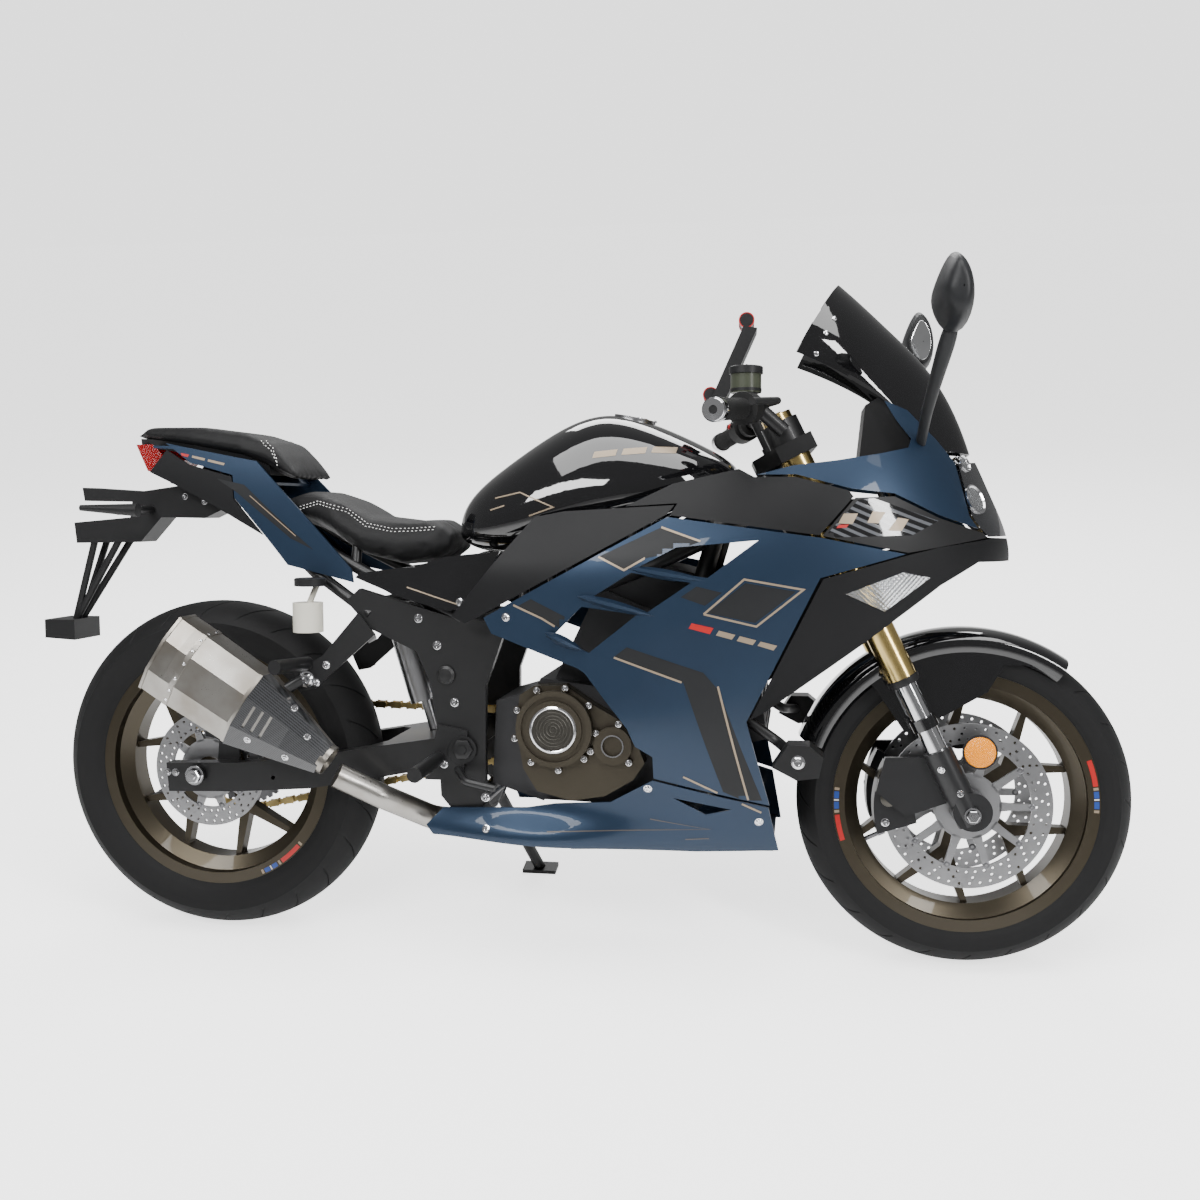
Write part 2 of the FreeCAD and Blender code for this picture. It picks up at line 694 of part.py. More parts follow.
def swingarm():
    """The rear fork with its cross member, pivot tube, axle and chain adjusters."""
    piece = Piece("swingarm", CHASSIS)
    side = piece.outline("XZ_Plane", [(GRID * x, GRID * z) for x, z in SWINGARM_SHARES])
    piece.pad(side, S.swingarm_width, "Symmetric")
    inner = S.swingarm_width / 2 - S.swingarm_arm_width
    cut = piece.outline("XY_Plane", [(GRID * x, inner * y) for x, y in SWINGARM_CUT_SHARES])
    piece.pocket(cut, GRID * S.grid_squares, "Symmetric")
    half = S.swingarm_width / 2
    nut = S.rear_axle_radius * 1.6
    nut_depth = S.rear_axle_radius
    axle_z = REAR_AXLE_HEIGHT
    for offset, depth, radius in (
            (half + nut_depth, nut_depth + S.swingarm_arm_width, nut),
            (-half + S.swingarm_arm_width, nut_depth + S.swingarm_arm_width, nut)):
        piece.pad(piece.circles("XZ_Plane", [(dim(0), axle_z, radius)], offset), depth,
                  reverse=True)
    piece.pad(piece.circles("XZ_Plane", [(dim(0), axle_z, S.rear_axle_radius)]),
              S.swingarm_width, "Symmetric")
    collar = S.rear_axle_radius + S.rim_wall
    right_end = REAR_DISC_SEAT + S.hub_end_length + S.part_gap
    left_end = SPROCKET_SEAT + S.hub_end_length + S.part_gap
    piece.pad(piece.circles("XZ_Plane", [(dim(0), axle_z, collar)], right_end),
              inner - right_end + S.part_gap)
    piece.pad(piece.circles("XZ_Plane", [(dim(0), axle_z, collar)], -inner - S.part_gap),
              inner - left_end + S.part_gap)
    thread = [(GRID * SPOOL_SHARES[0], GRID * SPOOL_SHARES[1], S.spool_thread_radius)]
    piece.pocket(piece.circles("XZ_Plane", thread, half), S.spool_thread_depth)
    piece.pocket(piece.circles("XZ_Plane", thread, -half), S.spool_thread_depth, reverse=True)


FRAME_PLATE_SHARES = [
    (3.30, 6.72), (5.02, 6.22), (6.02, 6.12), (5.86, 5.66), (5.62, 5.0), (5.60, 2.75),
    (5.10, 2.62), (4.78, 3.0), (4.72, 4.2), (4.60, 5.05), (4.35, 5.6), (3.50, 6.0), (3.05, 6.5)]
SPAR_HEAD_SHARES = [(-0.085, 0.20, 0.02), (-0.645, 0.55, -0.25)]
SPAR_SHARES = [(9.6, 1.22, 7.72), (8.6, 1.40, 7.25), (5.7, 1.36, 6.1)]
CRADLE_SHARES = [(9.7, 1.18, 7.75), (9.45, 1.2, 6.9), (9.2, 1.2, 5.6)]
SEAT_RAIL_SHARES = [(5.2, 1.36, 6.2), (3.6, 1.10, 6.85), (2.3, 0.95, 7.5), (0.9, 0.74, 8.35),
                    (-0.7, 0.55, 8.75)]
SEAT_STAY_SHARES = [(3.5, 1.36, 6.25), (2.3, 1.02, 7.0), (0.9, 0.74, 8.30)]
TAIL_CROSS_SHARES = (-0.6, 0.56, 8.72)
STAND_PIVOT_SHARES = (5.2, 0.98, 2.60)
STAND_FOOT_SHARES = (5.77, 2.50)
STAND_STOWED_SHARES = (-0.97, 0.18, -0.10)


def steer_point(height):
    """A point on the steering axis at a height along the fork."""
    return STEER_CENTRE + STEER_AXIS * float(height)


def trace(shares, side=1):
    """Points in grid squares; side -1 gives the right side of the bike."""
    return [spot(x, y * side, z) for x, y, z in shares]


def head_middle():
    """The middle of the head tube on the steering axis."""
    return steer_point((S.lower_clamp_height + S.upper_clamp_height) / 2)


def spar_points(side):
    """The points of one spar, from the head tube back to the pivot plate."""
    head = [head_middle() + offset for offset in trace(SPAR_HEAD_SHARES, side)]
    return head + trace(SPAR_SHARES, side)


def stand_foot():
    """The point on the ground under the stand's foot."""
    lateral = GRID * STAND_FOOT_SHARES[1]
    return vector(GRID * STAND_FOOT_SHARES[0], lateral * cosine(S.lean_angle),
                  lateral * sine(S.lean_angle))


def stand_axis():
    """The stand's pivot axis: square to the leg both when out and when folded."""
    stowed = FreeCAD.Vector(*STAND_STOWED_SHARES)
    return (stand_foot() - spot(*STAND_PIVOT_SHARES)).cross(stowed).normalize()


def stand_lug():
    """The lug under the left plate, its strut and the pin that the stand turns on."""
    pivot = spot(*STAND_PIVOT_SHARES)
    axis = stand_axis()
    reach = float(S.stand_pivot_radius + S.part_gap)
    wall = float(S.stand_foot_wall)
    pin = rod(pivot - axis * reach, pivot + axis * (reach + wall / 2), S.stand_pivot_radius / 2)
    cap = rod(pivot + axis * reach, pivot + axis * (reach + wall / 2), S.stand_pivot_radius)
    lug = rod(pivot - axis * (reach + wall * 3), pivot - axis * reach, S.stand_pivot_radius)
    strut = rod(pivot - axis * (reach + wall * 2.2), spot(5.45, 0.50, 2.93),
                S.subframe_tube_radius)
    return [pin, cap, lug, strut]


STAY_TIP_SHARES = (12.45, 0, 9.0)
PANEL_STAY_SHARES = [
    ((7.2, 1.38, 6.70), (7.25, 2.4, 7.55)), ((8.0, 1.39, 7.02), (8.0, 2.5, 7.30)),
    ((9.28, 1.2, 6.0), (9.3, 2.6, 6.1)), ((9.6, 1.22, 7.72), (9.6, 2.5, 8.35))]
NOSE_STAY_SHARES = [
    ((12.45, 0, 9.0), (12.45, 1.9, 8.86)), ((12.45, 0.95, 8.95), (12.7, 2.3, 8.02)),
    ((12.45, 0.95, 8.95), (12.95, 2.1, 7.2)), ((12.45, 0.3, 8.98), (14.5, 0.9, 8.3))]
BELLY_STAY_SHARES = [((5.45, 1.2, 2.93), (6.1, 2.1, 2.62))]
TAIL_STAY_SHARES = [
    ((0.9, 0.74, 8.34), (0.6, 1.6, 8.5)), ((4.4, 1.23, 6.53), (4.4, 1.9, 6.86)),
    ((2.3, 0.95, 7.5), (2.3, 1.6, 7.6))]
TANK_POST_SHARES = [((8.2, 1.38, 7.08), (8.2, 0.9, 8.4)), ((6.3, 1.37, 6.34), (6.3, 0.9, 7.8))]
SEAT_POST_SHARES = [((3.1, 1.04, 7.06), (3.1, 0.9, 7.7))]
DECK_POST_SHARES = [((0.4, 0.68, 8.48), (0.4, 0.6, 9.2))]


def stays(table, stop, radius):
    """Rods from the frame, cut where they meet what they carry; right side, then left."""
    made = []
    for start, end in table:
        for side in (-1, 1):
            bar = rod(trace([start], side)[0], trace([end], side)[0], radius)
            blocker = stop if side < 0 else stop.mirror(CENTRE, Y_AXIS)
            made.append(single(bar.cut(blocker)))
    return made


def outside_of(surface, wall):
    """The space from just inside a panel's inner face outwards."""
    moved = surface.copy()
    moved.translate(wall + Y_AXIS * float(S.part_gap))
    return moved.extrude(spot(0, -2, 0))


def below(shape):
    """A shape moved down by the usual gap, to seat a post under it."""
    moved = shape.copy()
    moved.translate(-Z_AXIS * float(S.part_gap))
    return moved


def fairing_stay(radius):
    """The rod from the head tube that carries the nose."""
    return rod(head_middle() + X_AXIS * float(S.stem_radius * 1.3), spot(*STAY_TIP_SHARES), radius)


def belly_stays():
    """The two short stays under the frame that carry the belly pan."""
    belly_wall = vector(*[S.panel_wall * share for share in BELLY_INWARD_SHARES])
    return stays(BELLY_STAY_SHARES, outside_of(side_surface(), belly_wall), stay_radius())


def stay_radius():
    """The radius of a panel stay."""
    stay_share = 0.7
    return S.guard_bar_radius * stay_share


def panel_stays():
    """The nose stay, and the stays and posts that carry the panels, the tank and the seats."""
    wall = vector(*[S.panel_wall * share for share in INWARD_SHARES])
    tail_wall = vector(0, S.panel_wall, 0)
    bar = S.guard_bar_radius
    side_stop = outside_of(side_surface(), wall)
    tubes = grown_tubes()
    nose_stay = fuse([fairing_stay(bar)] + stays(NOSE_STAY_SHARES, side_stop, stay_radius()))
    parts = stays(PANEL_STAY_SHARES, side_stop, stay_radius())
    parts += stays(TAIL_STAY_SHARES, outside_of(tail_surface(), tail_wall), stay_radius())
    parts += stays(TANK_POST_SHARES, below(tank_form()), bar)
    parts += stays(SEAT_POST_SHARES, below(seat_form(RIDER_SEAT_SHARES)), bar)
    deck = crossing(TAIL_DECK_SHARES)
    parts += stays(DECK_POST_SHARES, below(deck.fuse(deck.mirror(CENTRE, Y_AXIS))), bar)
    clear = [single(part.cut(tubes)) for part in [nose_stay] + parts]
    feature("panel_stays", Part.makeCompound(clear))


def grown_tubes():
    """The frame's tubes with the usual gap round them, to clear what is seated on them."""
    shapes = []
    for side in (-1, 1):
        for points, radius in (
                (spar_points(side), S.spar_radius),
                (trace(CRADLE_SHARES, side), S.cross_tube_radius),
                (trace(SEAT_RAIL_SHARES, side), S.subframe_tube_radius),
                (trace(SEAT_STAY_SHARES, side), S.subframe_tube_radius)):
            shapes.append(bent_tube(points, radius + S.part_gap, radius * 3))
    x, y, z = TAIL_CROSS_SHARES
    shapes.append(rod(spot(x, -y, z), spot(x, y, z), S.subframe_tube_radius + S.part_gap))
    head = S.stem_radius + S.head_tube_wall + S.part_gap * 2
    shapes.append(rod(steer_point(S.lower_clamp_height), steer_point(S.upper_clamp_height), head))
    return shapes


def main_frame():
    """Head tube, twin spars, cradle stubs, pivot plates and the seat rails."""
    clearance = S.part_gap
    head_low = steer_point(S.lower_clamp_height + S.clamp_thickness / 2 + clearance)
    head_top = steer_point(S.upper_clamp_height - S.clamp_thickness / 2 - clearance)
    bore = S.stem_radius + clearance
    parts = [rod(head_low, head_top, bore + S.head_tube_wall)]
    outer = float(S.frame_plate_offset + S.frame_plate_wall)
    for side in (-1, 1):
        parts.append(bent_tube(spar_points(side), S.spar_radius))
        parts.append(bent_tube(trace(CRADLE_SHARES, side), S.cross_tube_radius))
        parts.append(bent_tube(trace(SEAT_RAIL_SHARES, side), S.subframe_tube_radius))
        parts.append(bent_tube(trace(SEAT_STAY_SHARES, side), S.subframe_tube_radius))
        points = [vector(GRID * x, outer * side, GRID * z) for x, z in FRAME_PLATE_SHARES]
        parts.append(plate(points, vector(0, -side * S.frame_plate_wall, 0)))
    for x, z, radius in ((5.0, 6.0, S.cross_tube_radius), (5.45, 2.93, S.cross_tube_radius),
                         (3.6, 6.45, S.subframe_tube_radius)):
        reach = vector(0, S.frame_plate_offset, 0)
        parts.append(rod(spot(x, 0, z) - reach, spot(x, 0, z) + reach, radius))
    for x, y, z in ((0.9, 0.74, 8.35), TAIL_CROSS_SHARES):
        parts.append(rod(spot(x, -y, z), spot(x, y, z), S.subframe_tube_radius))
    parts += stand_lug() + belly_stays()
    pivot = spot(SWINGARM_PIVOT[0], 0, SWINGARM_PIVOT[1])
    cap_reach = vector(0, S.frame_plate_offset + S.frame_plate_wall + S.clamp_margin / 2, 0)
    plate_reach = vector(0, S.swingarm_width / 2 + S.part_gap, 0)
    for side in (-1, 1):
        parts.append(rod(pivot + plate_reach * side, pivot + cap_reach * side,
                         S.swingarm_pivot_radius))
    shape = fuse(parts).cut(rod(steer_point(S.lower_clamp_height), steer_point(S.upper_clamp_height),
                                bore))
    feature("main_frame", shape)


CRANKCASE_SHARES = [
    (6.35, 3.3), (6.6, 2.98), (8.3, 2.94), (9.0, 3.2), (9.1, 3.9), (8.6, 4.6), (8.2, 4.95),
    (6.6, 5.15), (6.3, 4.6)]
GEARBOX_SHARES = [(5.66, 3.2), (6.6, 2.9), (6.6, 4.95), (5.74, 4.7)]
CYLINDER_SHARES = [(6.75, 5.0), (8.45, 4.6), (9.15, 6.1), (7.6, 6.75)]
HEAD_SHARES = [(7.5, 6.72), (9.2, 6.02), (9.5, 6.75), (9.35, 6.98), (8.1, 7.3), (7.8, 7.2)]


def squares(shares):
    """Outline points in grid squares for a sketch."""
    return [(GRID * x, GRID * z) for x, z in shares]


def engine_block():
    """Crankcase, gearbox, inclined cylinders and head as one block with fin ribs."""
    piece = Piece("engine_block", CHASSIS)
    piece.pad(piece.outline("XZ_Plane", squares(CRANKCASE_SHARES)), S.engine_width, "Symmetric")
    gearbox_left_share = 0.26
    gearbox_width_share = 0.68
    gearbox = piece.outline("XZ_Plane", squares(GEARBOX_SHARES),
                            -S.engine_width * gearbox_left_share)
    piece.pad(gearbox, S.engine_width * gearbox_width_share)
    cylinder_share = 0.76
    head_share = 0.70
    piece.pad(piece.outline("XZ_Plane", squares(CYLINDER_SHARES)),
              S.engine_width * cylinder_share, "Symmetric")
    piece.pad(piece.outline("XZ_Plane", squares(HEAD_SHARES)),
              S.engine_width * head_share, "Symmetric")
    chain_near = S.engine_width * gearbox_left_share
    pocket = piece.outline("XZ_Plane", squares(CHAIN_POCKET_SHARES), -chain_near)
    piece.pocket(pocket, (S.chain_offset - chain_near) * 2)
    centre = (GRID * DRIVE_SPROCKET_SHARES[0], GRID * DRIVE_SPROCKET_SHARES[1])
    cog = piece.circles("XZ_Plane", [(centre[0], centre[1], S.drive_sprocket_radius)],
                        -S.chain_offset - S.sprocket_wall / 2)
    piece.pad(cog, S.chain_offset - chain_near + S.sprocket_wall)


COVER_SHARES = [
    (6.22, 4.35), (6.3, 4.9), (6.55, 5.06), (7.1, 5.08), (7.6, 4.75), (8.05, 4.5), (8.4, 4.0),
    (8.5, 3.75), (8.3, 3.45), (7.8, 3.15), (7.2, 3.05), (6.6, 3.2), (6.35, 3.6)]
CLUTCH_CENTRE = (6.93, 4.33)
PUMP_CENTRE = (7.95, 4.05)
COVER_GROOVE_SHARES = (0.86, 0.74)
COVER_BOLT_COUNT = 9
PUMP_BOLT_COUNT = 3
COVER_BOLT_START_ANGLE = 75


def engine_covers():
    """The bronze clutch cover on the right and the dynamo cover on the left."""
    piece = Piece("engine_covers", CHASSIS)
    half = S.engine_width / 2
    base = piece.outline("XZ_Plane", squares(COVER_SHARES), half)
    piece.pad(base, S.cover_depth)
    clutch = [GRID * CLUTCH_CENTRE[0], GRID * CLUTCH_CENTRE[1]]
    face = half + S.cover_depth
    dome = piece.circles("XZ_Plane", [(clutch[0], clutch[1], S.clutch_cover_radius)], face)
    piece.pad(dome, S.clutch_dome_depth)
    ring_share = 0.54
    ring_height = S.disc_wall
    top = face + S.clutch_dome_depth
    badge = piece.circles("XZ_Plane", [(clutch[0], clutch[1], S.clutch_cover_radius * ring_share)],
                          top)
    piece.pad(badge, ring_height)
    groove = [(clutch[0], clutch[1], S.clutch_cover_radius * share)
              for share in COVER_GROOVE_SHARES]
    piece.pocket(piece.circles("XZ_Plane", groove, top), ring_height)
    pump = [GRID * PUMP_CENTRE[0], GRID * PUMP_CENTRE[1]]
    pump_radius = S.clutch_cover_radius / 2
    piece.pad(piece.circles("XZ_Plane", [(pump[0], pump[1], pump_radius)], face), ring_height * 2)
    piece.pocket(piece.circles("XZ_Plane", [(pump[0], pump[1], pump_radius * ring_share)],
                               face + ring_height * 2), ring_height)
    bosses = []
    for centre, radius, count in ((clutch, S.clutch_cover_radius, COVER_BOLT_COUNT),
                                  (pump, pump_radius, PUMP_BOLT_COUNT)):
        for index in range(count):
            angle = dim(360) * index / count + COVER_BOLT_START_ANGLE
            reach = radius + S.cover_boss_radius
            bosses.append((centre[0] + reach * cosine(angle), centre[1] + reach * sine(angle),
                           S.cover_boss_radius))
    piece.pad(piece.circles("XZ_Plane", bosses, face), S.cover_boss_height)
    left = piece.circles("XZ_Plane", [(clutch[0], clutch[1], S.clutch_cover_radius)],
                         -half - S.cover_depth)
    piece.pad(left, S.cover_depth)


RADIATOR_MOUNT_SHARES = [(6.3, 9.516), (6.75, 9.603)]
RADIATOR_MOUNT_REACH_SHARE = 0.55
RADIATOR_SHARES = [(9.90, 6.9), (10.26, 7.0), (10.58, 4.2), (10.22, 4.1)]
RADIATOR_FIN_COUNT = 18
RADIATOR_GAP_SHARES = (0.30, 0.86)
RADIATOR_GAP_DEPTH_SHARES = (-0.3, 0.3)
RADIATOR_CORE_WIDTH_SHARE = 0.82


def radiator():
    """The radiator core behind the front wheel."""
    piece = Piece("radiator", CHASSIS)
    piece.pad(piece.outline("XZ_Plane", squares(RADIATOR_SHARES)), S.radiator_width, "Symmetric")
    for height, start in RADIATOR_MOUNT_SHARES:
        pegs = [(GRID * y, GRID * height, S.front_axle_radius * 0.8)
                for y in (-CRADLE_SHARES[1][1], CRADLE_SHARES[1][1])]
        piece.pad(piece.circles("YZ_Plane", pegs, GRID * start), GRID * RADIATOR_MOUNT_REACH_SHARE)
    top = RADIATOR_SHARES[1]
    low = RADIATOR_SHARES[2]
    back = RADIATOR_SHARES[0][0] - top[0]
    gaps = piece.sketch("XZ_Plane")
    for index in range(RADIATOR_FIN_COUNT):
        corners = []
        for gap, depth in zip((0, 0, 1, 1), (0, 1, 1, 0)):
            along = (index + RADIATOR_GAP_SHARES[gap]) / RADIATOR_FIN_COUNT
            inward = RADIATOR_GAP_DEPTH_SHARES[depth] * back
            corners.append((top[0] + (low[0] - top[0]) * along + inward,
                            top[1] + (low[1] - top[1]) * along))
        piece.outline("XZ_Plane", squares(corners), into=gaps)
    piece.pocket(gaps, S.radiator_width * RADIATOR_CORE_WIDTH_SHARE, "Symmetric")


PIPE_SHARES = [
    (9.34, -0.30, 6.348), (9.68, -0.30, 6.21), (9.58, -0.36, 3.3), (8.9, -0.45, 2.5),
    (6.9, -0.75, 2.42), (5.5, -0.86, 2.40), (4.5, -0.95, 2.46), (3.7, -1.6, 3.0),
    (3.0, -1.92, 3.42)]


def pipe_run(radius):
    """The exhaust's path with a given radius."""
    return bent_tube(trace(PIPE_SHARES), radius, S.exhaust_radius * 2.2)


def exhaust_pipe():
    """The header and mid pipe from the head under the engine to the muffler."""
    feature("exhaust_pipe", pipe_run(S.exhaust_radius))


MUFFLER_STATIONS = [
    (0, 1.0, 0.94), (0.36, 1.0, 1.0), (1.85, 0.94, 0.96), (2.75, 0.62, 0.66), (3.5, 0.34, 0.48)]
MUFFLER_END = (-0.16, -1.98, 5.62)
SHIELD_SLOT_COUNT = 3


def muffler_frame():
    """The muffler's own frame: X along the can from its open end."""
    end = spot(*MUFFLER_END)
    return move(end) * turn(Z_AXIS, 2) * turn(Y_AXIS, S.muffler_angle)


HEXAGON_SHARES = [(-1, -0.42), (-0.62, -1), (0.62, -1), (1, -0.42), (1, 0.42), (0.62, 1),
                  (-0.62, 1), (-1, 0.42)]


def can_section(piece, offset, width, height):
    """One eight-sided section of the muffler can."""
    points = [(width / 2 * y, height / 2 * z) for y, z in HEXAGON_SHARES]
    return piece.outline("YZ_Plane", points, offset)


def muffler():
    """The tapered eight-sided can with its angled end cap."""
    piece = Piece("muffler", CHASSIS * muffler_frame())
    sections = [can_section(piece, GRID * x, S.muffler_width * w, S.muffler_height * h)
                for x, h, w in MUFFLER_STATIONS]
    for before, after in zip(sections, sections[1:]):
        step = piece.loft([before, after])
        step.Ruled = True
    outlet = piece.circles("YZ_Plane", [(dim(0), dim(0), S.outlet_radius)])
    piece.pocket(outlet, S.outlet_depth, reverse=True)


def build_shield_shell():
    """The shield over the cone of the muffler, as a shell a little outside it."""
    def hull(grow):
        wires = []
        for x, h, w in MUFFLER_STATIONS[2:]:
            half_w = float(S.muffler_width * w) / 2 + grow
            half_h = float(S.muffler_height * h) / 2 + grow
            ring = [FreeCAD.Vector(float(GRID * x), half_w * y, half_h * z)
                    for y, z in HEXAGON_SHARES]
            wires.append(Part.makePolygon(ring + [ring[0]]))
        return Part.makeLoft(wires, True, True)
    gap = float(S.shield_gap)
    shell = hull(gap + float(S.shield_wall)).cut(hull(gap))
    reach = float(GRID * 4)
    keep_box = Part.makeBox(reach, reach, reach, FreeCAD.Vector(0, -reach, -reach / 2))
    shell = shell.common(keep_box)
    first = GRID * MUFFLER_STATIONS[2][0] + S.slot_spacing
    for index in range(SHIELD_SLOT_COUNT):
        corner = vector(first + S.slot_spacing * index, -reach, -S.slot_height / 2)
        slot = Part.makeBox(float(S.slot_width), reach, float(S.slot_height), corner)
        shell = shell.cut(slot)
    return shell



# Steering, in the fork's own frame: Z up along the legs from the front axle
def fork_tubes():
    """The two outer tubes with their top caps."""
    piece = Piece("fork_tubes", FORK)
    half = S.fork_spacing / 2
    legs = [(-S.axle_lead, -half), (-S.axle_lead, half)]
    bore = S.fork_inner_radius + S.part_gap
    rings = [(x, y, r) for x, y in legs for r in (S.fork_outer_radius, bore)]
    length = FORK_OUTER_TOP - S.fork_outer_bottom
    piece.pad(piece.circles("XY_Plane", rings, S.fork_outer_bottom), length)
    caps = [(x, y, S.fork_outer_radius) for x, y in legs]
    piece.pad(piece.circles("XY_Plane", caps, FORK_OUTER_TOP), S.clamp_margin)


def stanchions():
    """The two bright inner tubes."""
    piece = Piece("stanchions", FORK)
    half = S.fork_spacing / 2
    legs = [(-S.axle_lead, y, S.fork_inner_radius) for y in (-half, half)]
    hidden_share = 0.4
    hidden = (FORK_OUTER_TOP - S.fork_outer_bottom) * hidden_share
    length = S.fork_outer_bottom - S.fork_foot_top + hidden
    piece.pad(piece.circles("XY_Plane", legs, S.fork_foot_top), length)


FOOT_EAR_SHARES = [(-0.10, 0.25), (-0.12, 1.05), (-0.92, 1.42), (-1.32, 0.95), (-1.05, 0.35)]


def fork_feet():
    """The lower castings with the axle, its spacers and the caliper ears."""
    piece = Piece("fork_feet", FORK)
    half = S.fork_spacing / 2
    foot_below = S.fork_foot_radius * 0.8
    legs = [(-S.axle_lead, y, S.fork_foot_radius) for y in (-half, half)]
    piece.pad(piece.circles("XY_Plane", legs, -foot_below), S.fork_foot_top + foot_below)
    piece.pad(piece.circles("XZ_Plane", [(dim(0), dim(0), S.front_axle_radius)]),
              S.fork_spacing + S.fork_foot_radius * 2.2, "Symmetric")
    hub_end = DISC_SEAT + S.hub_end_length + S.part_gap
    collar = S.front_axle_radius + S.rim_wall
    depth = half - hub_end
    piece.pad(piece.circles("XZ_Plane", [(dim(0), dim(0), collar)], hub_end), depth)
    piece.pad(piece.circles("XZ_Plane", [(dim(0), dim(0), collar)], -hub_end - depth), depth)
    clamp_share = 1.32
    clamp_half = S.fork_foot_radius * 0.85
    clamp = [(dim(0), dim(0), S.fork_foot_radius * clamp_share)]
    piece.pad(piece.circles("XZ_Plane", clamp, half - clamp_half), clamp_half * 2)
    piece.pad(piece.circles("XZ_Plane", clamp, -half - clamp_half), clamp_half * 2)
    ear_offset = half - S.fork_foot_radius + S.carrier_wall * 2
    ear = [(GRID * x, GRID * z) for x, z in FOOT_EAR_SHARES]
    piece.pad(piece.outline("XZ_Plane", ear, ear_offset), S.carrier_wall * 2)
    piece.pad(piece.outline("XZ_Plane", ear, -ear_offset - S.carrier_wall * 2),
              S.carrier_wall * 2)


def front_calipers():
    """Four-piston calipers astride the discs, bolted to the ears."""
    angle = math.degrees(math.atan2(FOOT_EAR_SHARES[3][1], FOOT_EAR_SHARES[3][0]))
    sweep_angle = 46
    inner = S.front_disc_radius * 0.64
    outer = S.front_disc_radius * 1.12
    ear_offset = S.fork_spacing / 2 - S.fork_foot_radius + S.carrier_wall * 2
    depth = (ear_offset - S.front_disc_offset) * 2 - S.part_gap
    slot = S.disc_wall * 1.8
    made = []
    start = vector(0, -ear_offset + S.part_gap, 0)
    body = Part.makeCylinder(float(outer), float(depth), start, Y_AXIS, sweep_angle)
    body = body.cut(Part.makeCylinder(float(inner), float(depth), start, Y_AXIS, 360))
    mid = vector(0, -S.front_disc_offset - slot / 2, 0)
    body = body.cut(Part.makeCylinder(float(S.front_disc_radius + S.disc_wall), float(slot),
                                      mid, Y_AXIS, 360))
    low = body.BoundBox.Center
    now = math.degrees(math.atan2(low.z, low.x))
    body.rotate(CENTRE, Y_AXIS, now - angle)
    made.append(body)
    made.append(body.mirror(CENTRE, Y_AXIS))
    feature("front_calipers", Part.makeCompound(made), FORK)


def clamp_outline(front, back, side):
    """Half-octagon outline of a fork clamp."""
    taper_share = 0.45
    return [(front, -side), (front, side), (back * taper_share, side), (back, side * taper_share),
            (back, -side * taper_share), (back * taper_share, -side)]


def triple_clamps():
    """Both fork clamps and the stem that turns in the head tube."""
    piece = Piece("triple_clamps", FORK)
    half = S.fork_spacing / 2
    reach = S.fork_outer_radius + S.clamp_margin
    side = half + reach
    back = -S.fork_offset - S.stem_radius - S.clamp_margin * 2
    front = reach - S.axle_lead
    hole = S.fork_outer_radius + S.part_gap
    legs = [(-S.axle_lead, y, hole) for y in (-half, half)]
    for height in (S.lower_clamp_height, S.upper_clamp_height):
        base = height - S.clamp_thickness / 2
        piece.pad(piece.outline("XY_Plane", clamp_outline(front, back, side), base),
                  S.clamp_thickness)
    length = S.upper_clamp_height - S.lower_clamp_height + S.clamp_thickness
    stem = piece.circles("XY_Plane", [(-S.fork_offset, dim(0), S.stem_radius)],
                         S.lower_clamp_height)
    piece.pad(stem, length)
    piece.pocket(piece.circles("XY_Plane", legs), FORK_OUTER_TOP * 3, "Symmetric")


BAR_ROOT_SHARES = (-0.22, 1.10, 0.88)
BAR_END_SHARES = (-1.00, 3.36, 0.98)


def over_clamp(x_share, y_share, z_share):
    """A point in grid squares over the upper clamp, in the fork frame."""
    return vector(GRID * x_share, GRID * y_share, S.upper_clamp_height + GRID * z_share)


def bar_point(share):
    """A point along the left handlebar in the fork frame."""
    root = over_clamp(*BAR_ROOT_SHARES)
    end = over_clamp(*BAR_END_SHARES)
    return root + (end - root) * share


def handlebars():
    """Clip-on rings, risers, bars and end weights."""
    half = float(S.fork_spacing / 2)
    leg = vector(-S.axle_lead, half, 0)
    top = FORK_OUTER_TOP + S.part_gap
    base = S.upper_clamp_height + S.clamp_thickness / 2 + S.part_gap
    ring = ring_tube(leg + Z_AXIS * float(base), leg + Z_AXIS * float(top),
                     S.fork_outer_radius + S.clamp_margin / 2, S.fork_outer_radius + S.part_gap)
    beside = S.fork_outer_radius + S.clamp_margin * 0.3
    ring_side = leg + Z_AXIS * float((base + top) / 2) + Y_AXIS * float(beside)
    riser = rod(ring_side, bar_point(0.1), S.clamp_margin)
    bar = rod(bar_point(0), bar_point(1), S.bar_radius)
    weight = rod(bar_point(0.955), bar_point(1.04), S.bar_end_radius)
    leg_space = rod(leg, leg + Z_AXIS * float(top * 2), S.fork_outer_radius + S.part_gap)
    left = fuse([ring, riser.cut(leg_space), bar, weight])
    feature("handlebars", Part.makeCompound([left, left.mirror(CENTRE, Y_AXIS)]), FORK)


def bar_controls():
    """Grips, switch housings, lever perches and levers."""
    bore = S.bar_radius + S.part_gap
    grip = ring_tube(bar_point(0.46), bar_point(0.95), S.grip_radius, bore)
    switch = ring_tube(bar_point(0.30), bar_point(0.46), S.switch_radius, bore)
    perch = ring_tube(bar_point(0.20), bar_point(0.27), S.switch_radius * 0.8, bore)
    ahead = spot(0.52, 0, -0.12)
    arm = bent_tube([bar_point(0.235) + ahead * 0.3, bar_point(0.32) + ahead,
                     bar_point(0.95) + ahead], S.bar_radius * 0.55)
    left = fuse([grip, switch, perch.fuse(arm)])
    feature("bar_controls", Part.makeCompound([left, left.mirror(CENTRE, Y_AXIS)]), FORK)


RESERVOIR_SHARES = (-0.38, -1.58, 1.175)


